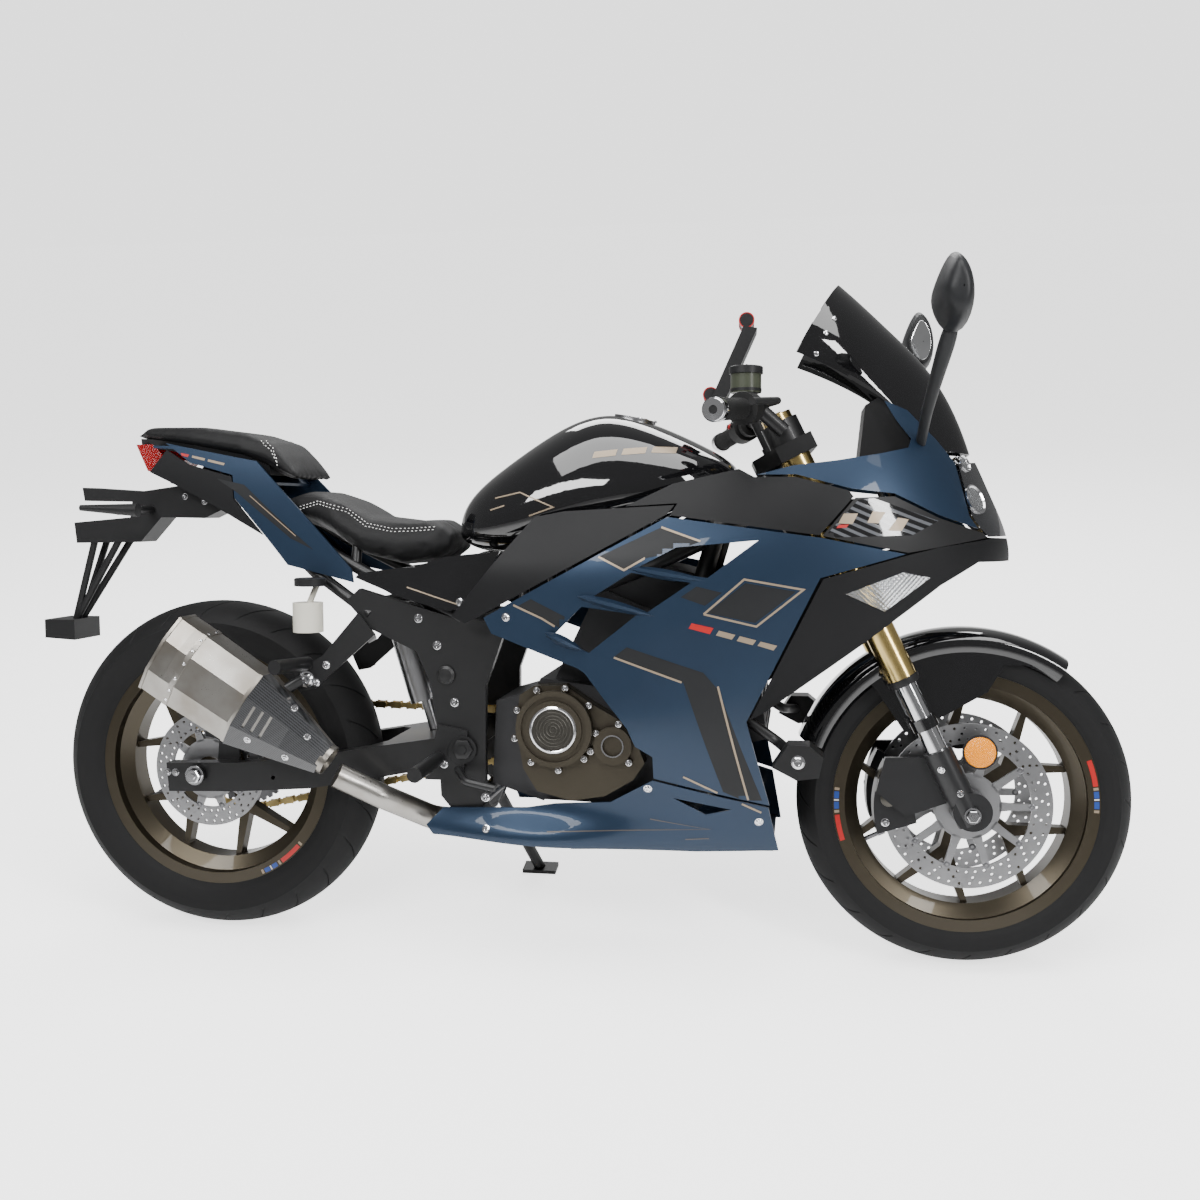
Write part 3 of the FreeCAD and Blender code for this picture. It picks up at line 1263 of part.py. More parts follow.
def front_reservoir():
    """The front brake fluid cup on its short stalk."""
    cup_radius = S.switch_radius * 0.95
    height = S.switch_radius * 1.3
    up = vector(sine(S.rake_angle), 0, cosine(S.rake_angle))
    base = over_clamp(*RESERVOIR_SHARES)
    perch = bar_point(0.235)
    foot = FreeCAD.Vector(perch.x, -perch.y, perch.z) + up * float(S.switch_radius * 0.8)
    cup = rod(base, base + up * float(height), cup_radius)
    lid = rod(base + up * float(height), base + up * float(height * 1.2), cup_radius * 1.08)
    stalk = rod(foot, base + up * float(S.clamp_margin), S.bar_radius * 0.6)
    perch_space = rod(flip(bar_point(0.1)), flip(bar_point(0.4)),
                      S.switch_radius * 0.8 + S.part_gap)
    stalk = stalk.cut(perch_space)
    feature("front_reservoir", fuse([cup, lid, stalk]), FORK)


PHONE_SHARES = [(-0.86, 1.52), (-0.66, 1.38), (0.36, 2.24), (0.16, 2.38)]
PHONE_HALF_WIDTH_SHARE = 0.38
PHONE_POST_TOP_SHARES = (-0.22, 0, 1.76)
PHONE_POST_RISE_SHARE = 0.9
PHONE_JAW_SHARES = [(-0.88, 1.56), (0.26, 2.46)]
PHONE_JAW_HALF_SHARE = 0.3


def phone_holder():
    """The spring-jaw holder on a post over the upper clamp."""
    width = float(GRID * PHONE_HALF_WIDTH_SHARE)
    points = [over_clamp(x, 0, z) - Y_AXIS * width for x, z in PHONE_SHARES]
    pad = plate(points, Y_AXIS * width * 2)
    stem_top = S.upper_clamp_height + S.clamp_thickness + S.part_gap
    foot = vector(-S.fork_offset, 0, stem_top)
    head = over_clamp(*PHONE_POST_TOP_SHARES)
    rise = Z_AXIS * float(GRID * PHONE_POST_RISE_SHARE)
    post = bent_tube([foot, foot + rise, head], S.bar_radius)
    jaw_share = 1.2
    jaws = []
    for x, z in PHONE_JAW_SHARES:
        jaws.append(rod(over_clamp(x, -PHONE_JAW_HALF_SHARE, z),
                        over_clamp(x, PHONE_JAW_HALF_SHARE, z), S.bar_radius * jaw_share))
    feature("phone_holder", fuse([pad, post] + jaws), FORK)


FENDER_SECTION_SHARES = [(0.60, -1.0), (0.86, -0.97), (0.965, -0.62), (1.0, 0), (0.965, 0.62),
                         (0.86, 0.97), (0.60, 1.0)]
FENDER_SKIRT_SHARES = [
    (-0.42, 1.62), (0.34, 1.60), (1.16, 1.66), (1.60, 1.96), (2.46, 1.56), (2.08, 2.04),
    (1.46, 2.50), (0.76, 2.80), (0, 2.90), (-0.62, 2.86), (-0.50, 2.2)]
FENDER_COLLAR_SHARES = (1.60, 1.80)


def front_fender():
    """The front fender: an arched section turned about the axle, with arms to the feet."""
    start_angle = 56
    sweep_angle = 103
    inner = S.front_tyre_radius + S.fender_clearance
    depth = S.fender_wall * 8
    half = S.fender_width / 2
    wall = S.fender_wall

    def rim_line(grow):
        line = []
        for r_share, y_share in FENDER_SECTION_SHARES:
            radius = inner - depth * (dim(1) - r_share) / 0.4 + grow
            line.append(vector(radius, (half - wall + grow) * y_share, 0))
        return line

    outer = rim_line(wall)
    inside = rim_line(dim(0))
    curves = []
    for line in (outer, inside):
        curve = Part.BSplineCurve()
        curve.interpolate(line)
        curves.append(curve.toShape())
    ends = [Part.LineSegment(outer[end], inside[end]).toShape() for end in (0, -1)]
    face = Part.Face(Part.Wire([curves[0], ends[1], curves[1], ends[0]]))
    face.rotate(CENTRE, -Y_AXIS, start_angle)
    arch = face.revolve(CENTRE, -Y_AXIS, sweep_angle)
    arch.rotate(CENTRE, -Y_AXIS, -float(S.rake_angle))
    parts = [arch]
    for side in (-1, 1):
        arm_face = [spot(x, 0, z) + Y_AXIS * float(half) * side for x, z in FENDER_SKIRT_SHARES]
        parts.append(plate(arm_face, vector(0, -side * wall, 0)))
        low, top = [vector(-S.axle_lead, S.fork_spacing / 2 * side, GRID * z)
                    for z in FENDER_COLLAR_SHARES]
        bore = rod(low - Z_AXIS * float(GRID), top + Z_AXIS * float(GRID),
                   S.fork_inner_radius + S.part_gap)
        middle = (low + top) * 0.5
        arm_side = vector(-S.axle_lead, (half - wall) * side, 0) + Z_AXIS * middle.z
        boss = rod(arm_side, middle, S.front_axle_radius * 0.8)
        collar = rod(low, top, S.fork_inner_radius + S.fender_wall)
        parts.append(collar.fuse(boss).cut(bore))
    feature("front_fender", fuse(parts), FORK)


# Bodywork
FAIRING_SHARES = [
    (5.76, 6.28), (8.93, 8.0), (11.44, 7.66), (12.84, 7.38), (11.45, 7.0), (10.26, 4.58),
    (10.64, 3.06), (8.68, 3.54), (8.68, 3.94), (8.39, 4.12), (8.26, 4.43), (7.54, 5.37),
    (7.42, 5.45), (5.9, 6.01)]
LOUVRE_SHARES = [
    [(7.0, 6.0), (7.5, 6.5), (8.45, 6.38), (7.62, 5.72)],
    [(7.62, 6.62), (8.35, 7.08), (9.35, 6.92), (8.62, 6.42)],
    [(8.45, 7.16), (9.1, 7.5), (10.45, 7.62), (9.62, 7.0)]]
NOSE_LOWER_SHARES = [
    (10.32, 4.62), (11.50, 6.98), (12.88, 7.36), (13.4, 7.48), (14.3, 7.60), (15.0, 7.60),
    (15.0, 7.2), (14.1, 7.22), (13.44, 6.85), (12.5, 6.15), (12.2, 5.92), (10.52, 4.72)]
INDICATOR_SHARES = [(11.86, 6.73), (12.80, 7.08), (13.26, 6.98), (12.51, 6.43)]
BROW_SHARES = [(11.48, 7.69), (12.01, 8.31), (12.65, 8.33), (13.4, 7.97), (14.2, 7.70),
               (14.28, 7.63), (12.88, 7.40)]
COWL_SHARES = [
    (10.40, 8.70), (11.0, 8.85), (11.7, 8.93), (12.45, 9.05), (12.9, 9.15), (12.95, 9.3),
    (12.7, 9.62), (12.5, 9.95), (12.9, 9.8), (13.4, 9.3), (13.72, 8.9), (13.94, 8.0),
    (14.1, 7.78), (13.4, 8.02), (12.65, 8.38), (11.95, 8.46), (11.05, 8.70)]
LAMP_SHARES = [(13.78, 8.9), (13.99, 8.0), (14.14, 7.79), (14.3, 7.64), (15.0, 7.64),
               (15.0, 8.2), (14.5, 8.95)]
TANK_SIDE_SHARES = [(5.17, 6.29), (6.6, 8.0), (7.13, 8.10), (9.04, 8.20), (8.91, 8.04),
                    (5.74, 6.33), (5.42, 6.17)]
SHOULDER_SHARES = [(8.97, 8.03), (9.09, 8.23), (8.2, 8.18), (9.0, 8.56), (10.1, 8.80),
                   (10.36, 8.66), (11.03, 8.66), (11.9, 8.43), (11.98, 8.33), (11.43, 7.70)]
BELLY_SHARES = [
    (4.54, 2.50), (4.83, 2.80), (6.4, 2.88), (6.9, 2.97), (7.9, 3.05), (8.66, 3.50),
    (10.62, 3.02), (10.79, 2.18), (9.36, 2.14), (6.93, 2.22), (4.65, 2.32)]
BELLY_WINDOW_SHARES = [(9.0, 3.18), (10.0, 2.98), (9.55, 2.88)]
BELLY_STAND_SHARES = [(4.0, 1.9), (5.5, 1.9), (5.5, 2.3), (5.2, 2.95), (4.0, 2.95)]
BELLY_INWARD_SHARES = (0, 0.9, 0.45)
BELLY_FLOOR_SHARES = [(7.2, 2.2), (10.7, 2.17)]


def pair(label, shape):
    """A sub-part of two mirror-image solids."""
    feature(label, both_sides(single(shape)))


def side_fairings():
    """The two main side fairings with their louvre openings."""
    right = single(side_panel(FAIRING_SHARES, LOUVRE_SHARES))
    feature("side_fairing_right", right)
    feature("side_fairing_left", right.mirror(CENTRE, Y_AXIS))


def nose():
    """The panels that wrap the nose: lower panels, brows, cowl, lamps and indicators."""
    def joined(shares, openings=(), proud=0):
        half = single(side_panel(shares, openings, proud))
        return half.fuse(half.mirror(CENTRE, Y_AXIS)).removeSplitter()

    feature("nose_lower_panels", joined(NOSE_LOWER_SHARES, [INDICATOR_SHARES]))
    feature("headlamps", joined(LAMP_SHARES))
    pair("brow_panels", side_panel(BROW_SHARES))
    pair("upper_cowl", side_panel(COWL_SHARES))
    shrink_share = 0.988
    middle_x = sum(x for x, z in INDICATOR_SHARES) / len(INDICATOR_SHARES)
    middle_z = sum(z for x, z in INDICATOR_SHARES) / len(INDICATOR_SHARES)
    lens = [(middle_x + (x - middle_x) * shrink_share, middle_z + (z - middle_z) * shrink_share)
            for x, z in INDICATOR_SHARES]
    pair("front_indicators", side_panel(lens))


def flank_panels():
    """The panels beside the tank and over the shoulders of the fairing."""
    pair("tank_side_panels", side_panel(TANK_SIDE_SHARES))
    pair("shoulder_panels", side_panel(SHOULDER_SHARES))


def crossing(line_shares):
    """A thin sheet over the right half of the bike along a line in X and Z."""
    rise = vector(0, 0, S.panel_wall)
    sheets = []
    for low, high in zip(line_shares, line_shares[1:]):
        start = spot(low[0], 0, low[1])
        stop = spot(high[0], 0, high[1])
        sheets.append(plate([start, stop, stop + rise, start + rise], spot(0, -3, 0)))
    return fuse(sheets)


def inner_half(surface):
    """The space between a right side surface and the other side of the bike."""
    return surface.extrude(spot(0, 3, 0))


def belly_pan():
    """The belly pan: two sides with a window each, joined by a floor."""
    side = single(side_panel(BELLY_SHARES, [BELLY_WINDOW_SHARES],
                             inward_shares=BELLY_INWARD_SHARES))
    floor = crossing(BELLY_FLOOR_SHARES).common(inner_half(side_surface()))
    half = side.fuse(floor)
    both = half.fuse(half.mirror(CENTRE, Y_AXIS)).removeSplitter()
    stand_space = side_prism(BELLY_STAND_SHARES).mirror(CENTRE, Y_AXIS)
    pipe_space = pipe_run(S.exhaust_radius + S.panel_wall)
    feature("belly_pan", single(both.cut([pipe_space, stand_space])))


TAIL_SURFACE_SHARES = [
    (5.8, (0.70, 0.90, 1.12, 1.48, 1.52, 1.56)),
    (6.8, (0.75, 0.95, 1.15, 1.47, 1.52, 1.56)),
    (7.6, (0.85, 1.05, 1.20, 1.36, 1.40, 1.44)),
    (8.4, (0.92, 1.10, 1.20, 1.26, 1.30, 1.34)),
    (9.0, (0.88, 1.06, 1.14, 1.18, 1.20, 1.24)),
    (9.7, (0.74, 0.94, 1.02, 1.04, 1.06, 1.10)),
]
TAIL_STATION_SHARES = (-1.3, 0.2, 1.8, 3.6, 5.0, 6.4)
TAIL_COWL_SHARES = [
    (-0.64, 9.39), (-0.29, 9.32), (1.08, 9.06), (1.25, 9.03), (3.14, 7.06), (3.18, 6.83),
    (1.84, 7.13), (1.43, 7.64), (0.82, 8.36), (0.78, 8.78), (-0.1, 9.02), (-0.55, 9.34)]
TAIL_UNDER_SHARES = [
    (-0.60, 9.26), (-0.12, 8.98), (0.76, 8.75), (0.80, 8.34), (1.36, 7.68), (0.41, 8.21),
    (-0.51, 8.66), (-0.95, 8.85)]
SEAT_SIDE_SHARES = [
    (3.22, 6.92), (3.3, 7.0), (4.05, 7.10), (4.35, 7.12), (4.9, 7.3), (5.9, 7.40), (5.4, 6.5),
    (5.01, 6.34), (4.2, 6.55)]
TAIL_DECK_SHARES = [(-0.90, 9.30), (-0.5, 9.28), (0.95, 9.0), (1.38, 8.6)]


def tail_surface():
    """The master surface of the tail's right side."""
    rows = [[spot(x, -y, z) for x, y in zip(TAIL_STATION_SHARES, row)]
            for z, row in TAIL_SURFACE_SHARES]
    surface = Part.BSplineSurface()
    surface.interpolate(rows)
    return surface.toShape()


def tail_panel(outline_shares):
    """One right side panel of the tail."""
    skin = tail_surface().extrude(vector(0, S.panel_wall, 0))
    return single(skin.common(side_prism(outline_shares)))


def tail():
    """Tail cowl with its deck, the darker panel under it and the seat side panels."""
    side = tail_panel(TAIL_COWL_SHARES)
    deck = crossing(TAIL_DECK_SHARES).common(inner_half(tail_surface()))
    half = side.fuse(deck)
    feature("tail_cowl", half.fuse(half.mirror(CENTRE, Y_AXIS)).removeSplitter())
    pair("tail_under_panels", tail_panel(TAIL_UNDER_SHARES))
    pair("seat_side_panels", tail_panel(SEAT_SIDE_SHARES))


TANK_SECTION_SHARES = [
    (4.96, 0.55, 7.62, 8.00), (5.25, 1.05, 7.46, 8.49), (5.99, 1.42, 7.42, 9.07),
    (6.92, 1.60, 7.55, 9.64), (7.6, 1.64, 7.72, 9.83), (8.3, 1.58, 7.92, 9.72),
    (9.05, 1.38, 8.16, 9.42), (9.7, 0.98, 8.45, 9.08), (9.95, 0.6, 8.6, 8.88)]
TANK_RING_SHARES = [(0, 0), (0.72, 0.02), (1.0, 0.22), (0.98, 0.48), (0.78, 0.78),
                    (0.40, 0.96), (0, 1.0)]


def ring_section(x, half, bottom, top, ring_shares):
    """A closed section across the bike, mirrored about its centre line."""
    height = top - bottom
    right = [spot(x, -half * y, bottom + height * z) for y, z in ring_shares]
    left = [flip(point) for point in right[-2:0:-1]]
    return right + left


CAP_PLACE_SHARES = (8.1, 9.70)
CAP_TILT_SHARES = (0.20, 0, 0.98)


def tank_form():
    """The tank as a lofted solid."""
    return section_loft([ring_section(x, half, low, top, TANK_RING_SHARES)
                         for x, half, low, top in TANK_SECTION_SHARES])


def fuel_tank():
    """The tank with a seat for the filler cap, and the cap."""
    body = tank_form()
    centre = spot(CAP_PLACE_SHARES[0], 0, CAP_PLACE_SHARES[1])
    up = FreeCAD.Vector(*CAP_TILT_SHARES).normalize()
    seat = rod(centre, centre + up * float(GRID), S.hub_radius * 1.16)
    feature("fuel_tank", body.cut(seat))
    cap_radius = S.hub_radius * 1.06
    base = centre + up * float(S.part_gap)
    top = base + up * float(S.rim_wall * 1.3)
    hinge = top + up.cross(-Y_AXIS) * float(cap_radius)
    reach = Y_AXIS * float(S.cap_pin_length / 2)
    pin = rod(hinge - reach, hinge + reach, S.cap_pin_radius)
    feature("filler_cap", fuse([rod(base, top, cap_radius), pin]))


SEAT_RING_SHARES = [(0, 0.06), (0.7, 0.0), (1.0, 0.30), (0.96, 0.66), (0.72, 0.94), (0, 1.0)]
RIDER_SEAT_SHARES = [
    (1.52, 0.88, 8.14, 8.40), (1.9, 0.98, 7.98, 8.46), (2.3, 1.08, 7.86, 8.44),
    (2.7, 1.24, 7.68, 8.30),
    (3.3, 1.34, 7.36, 7.98), (4.0, 1.24, 7.16, 7.90), (4.6, 1.02, 7.22, 7.93),
    (4.88, 0.8, 7.40, 7.76)]
PILLION_SHARES = [
    (-1.45, 0.6, 9.47, 9.57), (-1.1, 0.86, 9.46, 9.70), (-0.1, 1.02, 9.33, 9.69),
    (0.9, 1.08, 9.14, 9.56), (1.4, 1.06, 8.93, 9.40), (1.65, 1.02, 8.78, 9.14),
    (1.86, 0.96, 8.68, 8.86), (1.98, 0.9, 8.63, 8.74)]


def seat_form(table):
    """A cushion lofted through its sections."""
    return section_loft([ring_section(x, half, low, top, SEAT_RING_SHARES)
                         for x, half, low, top in table])


def seats():
    """The rider's seat and the pillion seat as plain cushions."""
    feature("rider_seat", seat_form(RIDER_SEAT_SHARES))
    feature("pillion_seat", seat_form(PILLION_SHARES))


SCREEN_SHARES = [
    ((11.05, 1.26, 10.80), (12.0, 1.06, 10.35), (12.72, 0.82, 9.84), (13.30, 0.66, 9.12)),
    ((11.45, 0.92, 11.55), (12.3, 0.82, 10.85), (13.05, 0.62, 10.05), (13.70, 0.42, 9.10)),
    ((11.75, 0, 12.06), (12.62, 0, 11.25), (13.43, 0, 10.36), (14.04, 0, 9.06)),
]
SCREEN_INWARD_SHARES = (-0.7, 0, -0.72)


def windscreen():
    """The dark screen: one curved sheet from side to side."""
    half = [[spot(x, -y, z) for x, y, z in row] for row in SCREEN_SHARES]
    other = [[flip(point) for point in row] for row in half[:-1]][::-1]
    surface = Part.BSplineSurface()
    surface.interpolate(half + other)
    inward = vector(*[S.screen_wall * share for share in SCREEN_INWARD_SHARES])
    feature("windscreen", surface.toShape().extrude(inward))


COCKPIT_SHARES = [(12.1, 8.9), (12.2, 9.9), (12.45, 10.05), (12.75, 9.72), (13.0, 9.2),
                  (13.0, 8.8), (12.3, 8.8)]


def cockpit():
    """The instrument panel and the stay that carries it from the head tube."""
    half = 0.78
    points = [spot(x, -half, z) for x, z in COCKPIT_SHARES]
    panel = plate(points, spot(0, half * 2, 0))
    bar = S.guard_bar_radius + S.part_gap
    stay_space = [fairing_stay(bar)]
    for start, end in NOSE_STAY_SHARES:
        for side in (-1, 1):
            stay_space.append(rod(trace([start], side)[0], trace([end], side)[0], bar))
    feature("cockpit", single(panel.cut(stay_space)))


MIRROR_SHARES = [(13.30, 12.01), (13.43, 11.98), (13.60, 11.78), (13.71, 11.26), (13.56, 10.79),
                 (13.24, 10.81), (13.04, 11.25), (13.09, 11.49)]


MIRROR_STATION_SHARES = [(-2.42, 0.74), (-2.72, 0.98), (-3.05, 1.0), (-3.84, 0.66)]
MIRROR_CENTRE_SHARES = (13.44, 11.36)
MIRROR_STALK_SHARES = [(13.1, -0.7, 9.05), (13.14, -1.60, 9.72), (13.41, -2.80, 11.0)]


def mirrors():
    """Both mirrors: a faceted shell on a stalk from the cowl that widens upwards."""
    middle_x, middle_z = MIRROR_CENTRE_SHARES
    rings = []
    for y, size in MIRROR_STATION_SHARES:
        ring = [spot(middle_x + (x - middle_x) * size, y, middle_z + (z - middle_z) * size)
                for x, z in MIRROR_SHARES]
        rings.append(Part.makePolygon(ring + [ring[0]]))
    shell = Part.makeLoft(rings, True, True)
    root, knee, head = [spot(*point) for point in MIRROR_STALK_SHARES]
    radius = S.bar_radius * 0.8
    neck_share = 1.45
    upper = head - knee
    stalk = rod(root, knee, radius).fuse(ball(knee, radius))
    cone = Part.makeCone(float(radius), float(S.bar_radius * neck_share), upper.Length, knee, upper)
    stalk = stalk.fuse(cone)
    skin = side_surface()
    skin.translate(-Y_AXIS * float(S.part_gap))
    stalk = single(stalk.cut(inner_half(skin)))
    pair("mirrors", fuse([shell, stalk]))


TAIL_LAMP_SHARES = [(-1.35, 9.38), (-0.99, 9.38), (-0.75, 9.10), (-1.02, 8.86), (-1.13, 8.88)]


def tail_lamp():
    """The red tail lamp."""
    piece = Piece("tail_lamp", CHASSIS)
    piece.pad(piece.outline("XZ_Plane", squares(TAIL_LAMP_SHARES)), GRID * 1.4, "Symmetric")


BRACKET_SHARES = [
    (-2.74, 8.58), (-1.5, 8.5), (-0.3, 8.66), (0.5, 8.3), (-0.2, 7.98), (-1.1, 8.0),
    (-1.55, 7.52), (-2.9, 7.50), (-2.94, 7.9), (-1.75, 8.0), (-1.7, 8.3), (-2.7, 8.32)]


def plate_bracket():
    """The plate carrier with its struts, lower plate and both rear indicators."""
    half = 0.3
    points = [spot(x, -half, z) for x, z in BRACKET_SHARES]
    parts = [plate(points, spot(0, half * 2, 0))]
    for side in (-1, 1):
        for x in (-2.56, -2.05):
            parts.append(rod(spot(x, 0.22 * side, 7.55), spot(-3.1, 0.1 * side, 5.95),
                             S.bar_radius * 0.6))
        parts.append(rod(spot(-1.3, 0, 8.15), spot(-1.3, 1.35 * side, 8.15),
                         S.bar_radius * 0.7))
        tip = Part.makeCone(float(S.bar_radius * 1.1), float(S.bar_radius * 0.5),
                            float(GRID * 1.15), spot(-0.9, 1.5 * side, 8.14), spot(-1, 0, 0.04))
        parts.append(tip)
        parts.append(rod(spot(-1.3, 1.3 * side, 8.15), spot(-1.3, 1.5 * side, 8.15),
                         S.bar_radius * 0.9))
    low = plate([spot(-3.55, -0.45, 5.64), spot(-2.92, -0.45, 5.60), spot(-2.92, -0.45, 6.0),
                 spot(-3.55, -0.45, 6.0)], spot(0, 0.9, 0))
    parts.append(low)
    feature("plate_bracket", single(fuse(parts).cut(grown_tubes())))


def shock():
    """The single rear shock: spring sleeve, body and eyes."""
    top = spot(3.62, 0, 6.1)
    low = spot(4.25, 0, 3.96)
    along = (low - top)
    spring_radius = S.swingarm_pivot_radius * 1.3
    spring = rod(top + along * 0.14, top + along * 0.74, spring_radius)
    shaft = rod(top, low, S.bar_radius)
    feature("shock", fuse([spring, shaft]))


CALIPER_BRACKET_SHARES = [(0.24, 2.98), (0.66, 2.98), (0.74, 3.95), (0.34, 4.15)]


def rear_caliper():
    """The rear caliper over the disc, on its bracket from the swingarm."""
    offset = S.rear_disc_offset
    depth = S.disc_wall * 9
    slot = S.disc_wall * 1.8
    start = REAR_AXLE + vector(0, -offset - depth / 2, 0)
    outer = S.rear_disc_radius * 1.14
    inner = S.rear_disc_radius * 0.6
    sweep_angle = 42
    start_angle = 62
    body = Part.makeCylinder(float(outer), float(depth), start, Y_AXIS, sweep_angle)
    body = body.cut(Part.makeCylinder(float(inner), float(depth), start, Y_AXIS, 360))
    gap = REAR_AXLE + vector(0, -offset - slot / 2, 0)
    body = body.cut(Part.makeCylinder(float(S.rear_disc_radius + S.disc_wall), float(slot), gap,
                                      Y_AXIS, 360))
    centre = body.BoundBox.Center - REAR_AXLE
    now = math.degrees(math.atan2(centre.z, centre.x))
    body.rotate(REAR_AXLE, Y_AXIS, now - start_angle)
    arm_face = S.swingarm_width / 2 - S.swingarm_arm_width - S.part_gap
    points = [vector(GRID * x, -arm_face, GRID * z) for x, z in CALIPER_BRACKET_SHARES]
    bracket = plate(points, Y_AXIS * float(arm_face - offset - depth / 2 + S.disc_wall))
    feature("rear_caliper", fuse([body, bracket]))


def footrests():
    """Rider pegs with pedals on plates, and the pillion pegs on their hangers."""
    outer = S.frame_plate_offset + S.frame_plate_wall
    start = outer + S.part_gap
    parts = []
    plate_points = [vector(GRID * x, -start, GRID * z) for x, z in
                    ((4.75, 4.3), (5.3, 4.2), (5.2, 3.3), (4.5, 3.3))]
    hanger = plate(plate_points, vector(0, -S.carrier_wall, 0))
    peg = rod(vector(GRID * 4.75, -start, GRID * 3.68), spot(4.75, -2.9, 3.68), S.peg_radius)
    pedal = bent_tube([vector(GRID * 5.1, -start - S.carrier_wall / 2, GRID * 3.5),
                       spot(5.35, -1.9, 3.38), spot(5.9, -1.95, 3.28)], S.bar_radius * 0.6)
    cap_space = rod(spot(SWINGARM_PIVOT[0], 0, SWINGARM_PIVOT[1]),
                    spot(SWINGARM_PIVOT[0], -3, SWINGARM_PIVOT[1]),
                    S.swingarm_pivot_radius + S.part_gap)
    parts.append(fuse([hanger.cut(cap_space), peg, pedal.cut(cap_space)]))
    arm_points = [vector(GRID * x, -start, GRID * z) for x, z in
                  ((3.3, 6.3), (3.6, 5.9), (2.45, 4.9), (2.2, 4.85), (2.05, 5.2), (2.6, 5.5))]
    arm = plate(arm_points, vector(0, -S.carrier_wall, 0))
    pillion = rod(vector(GRID * 2.3, -start, GRID * 5.35), spot(2.1, -2.45, 5.4), S.peg_radius)
    parts.append(fuse([arm, pillion]))
    doc.recompute()
    can = NODES["muffler"].Shape.copy()
    can.Placement = muffler_frame()
    inward = vector(0, S.part_gap, 0)
    near_can = can.copy()
    near_can.translate(inward)
    boss = rod(spot(2.2, -1.47, 5.05), spot(1.5, -2.0, 4.62), S.front_axle_radius)
    hung = parts[-1].fuse(single(boss.cut([can, near_can])))
    both = [parts[0], hung] + [part.mirror(CENTRE, Y_AXIS) for part in parts]
    feature("footrests", Part.makeCompound(both))


def rear_reservoir():
    """The rear brake fluid cup."""
    low = spot(2.4, -1.62, 5.95)
    high = spot(2.4, -1.62, 6.48)
    strap = rod(spot(2.4, -1.62, 6.40), spot(2.42, -1.05, 6.92), S.guard_bar_radius * 0.6)
    shape = rod(low, high, S.switch_radius).fuse(single(strap.cut(grown_tubes())))
    feature("rear_reservoir", shape.removeSplitter())


GUARD_BAR_SHARES = [(9.2, -1.2, 5.66), (9.75, -1.70, 4.9), (10.8, -1.80, 4.2),
                    (11.05, -2.46, 4.1)]
GUARD_SHARES = [(10.71, 4.0), (10.95, 4.36), (11.3, 4.36), (11.52, 4.18), (11.45, 3.85),
                (11.1, 3.80)]


def crash_guards():
    """Two slider pads on bars from the frame."""
    near = 2.42
    points = [spot(x, -near, z) for x, z in GUARD_SHARES]
    pad = plate(points, spot(0, -0.5, 0))
    bar = bent_tube(trace(GUARD_BAR_SHARES), S.guard_bar_radius).cut(grown_tubes())
    pair("crash_guards", fuse([pad, single(bar)]))


def side_stand():
    """The stand: eye, leg and a foot that lies flat on the ground."""
    pivot = spot(*STAND_PIVOT_SHARES)
    lean = S.lean_angle
    foot = stand_foot()
    up = vector(0, -sine(lean), cosine(lean))
    side = vector(0, cosine(lean), sine(lean))
    half_length = float(S.stand_foot_length) / 2
    half_width = float(S.stand_foot_width) / 2
    corners = [foot + X_AXIS * half_length * a + side * half_width * b
               for a, b in ((-1, -1), (1, -1), (1, 1), (-1, 1))]
    sole = plate(corners, up * float(S.stand_foot_wall))
    leg = rod(pivot, foot + up * float(S.stand_foot_wall / 2), S.stand_leg_radius)
    axis = stand_axis()
    eye = rod(pivot - axis * float(S.stand_pivot_radius), pivot + axis * float(S.stand_pivot_radius),
              S.stand_pivot_radius * 1.4)
    under = rod(foot - up * float(GRID), foot, GRID)
    pin_space = rod(pivot - axis * float(GRID), pivot + axis * float(GRID),
                    S.stand_pivot_radius / 2 + S.part_gap)
    feature("side_stand", fuse([sole, leg.cut(under), eye]).cut(pin_space))


STEPS = (wheels, drive_chain, swingarm, main_frame, panel_stays, engine_block, engine_covers, radiator,
         exhaust_pipe, muffler, fork_tubes, stanchions, fork_feet, front_calipers, triple_clamps,
         handlebars, bar_controls, front_reservoir, phone_holder, front_fender, side_fairings,
         nose, flank_panels, belly_pan, tail, fuel_tank, seats, windscreen, cockpit, mirrors,
         tail_lamp, plate_bracket, shock, rear_caliper, footrests, rear_reservoir, crash_guards,
         side_stand)
for step in STEPS:
    step()
feature("muffler_shield", build_shield_shell(), CHASSIS * muffler_frame())
doc.recompute()

faults = []
for obj in doc.Objects:
    if "Invalid" in obj.State or "Error" in obj.State:
        faults.append("%s is %s" % (obj.Label, obj.State))
for label, obj in NODES.items():
    if obj.Shape.isNull() or not obj.Shape.isValid() or not obj.Shape.Solids:
        faults.append("%s has no valid solid" % label)
    print(label, len(obj.Shape.Solids), round(obj.Shape.Volume / 1000.0))
if faults:
    raise RuntimeError("; ".join(faults))
whole = Part.makeCompound([obj.Shape for obj in NODES.values()])
box = whole.BoundBox
print("box", box)
for label, obj in NODES.items():
    obj.Shape.exportStep("parts/%s.step" % label)
print("pieces", len(NODES))
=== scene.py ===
"""The looks of a sport bike on its side stand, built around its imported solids."""
import json
import logging
import math
from dataclasses import dataclass, field
from enum import Enum
from typing import Iterable, Optional, Sequence

import bmesh
import bpy
from mathutils import Matrix, Vector
from mathutils.bvhtree import BVHTree


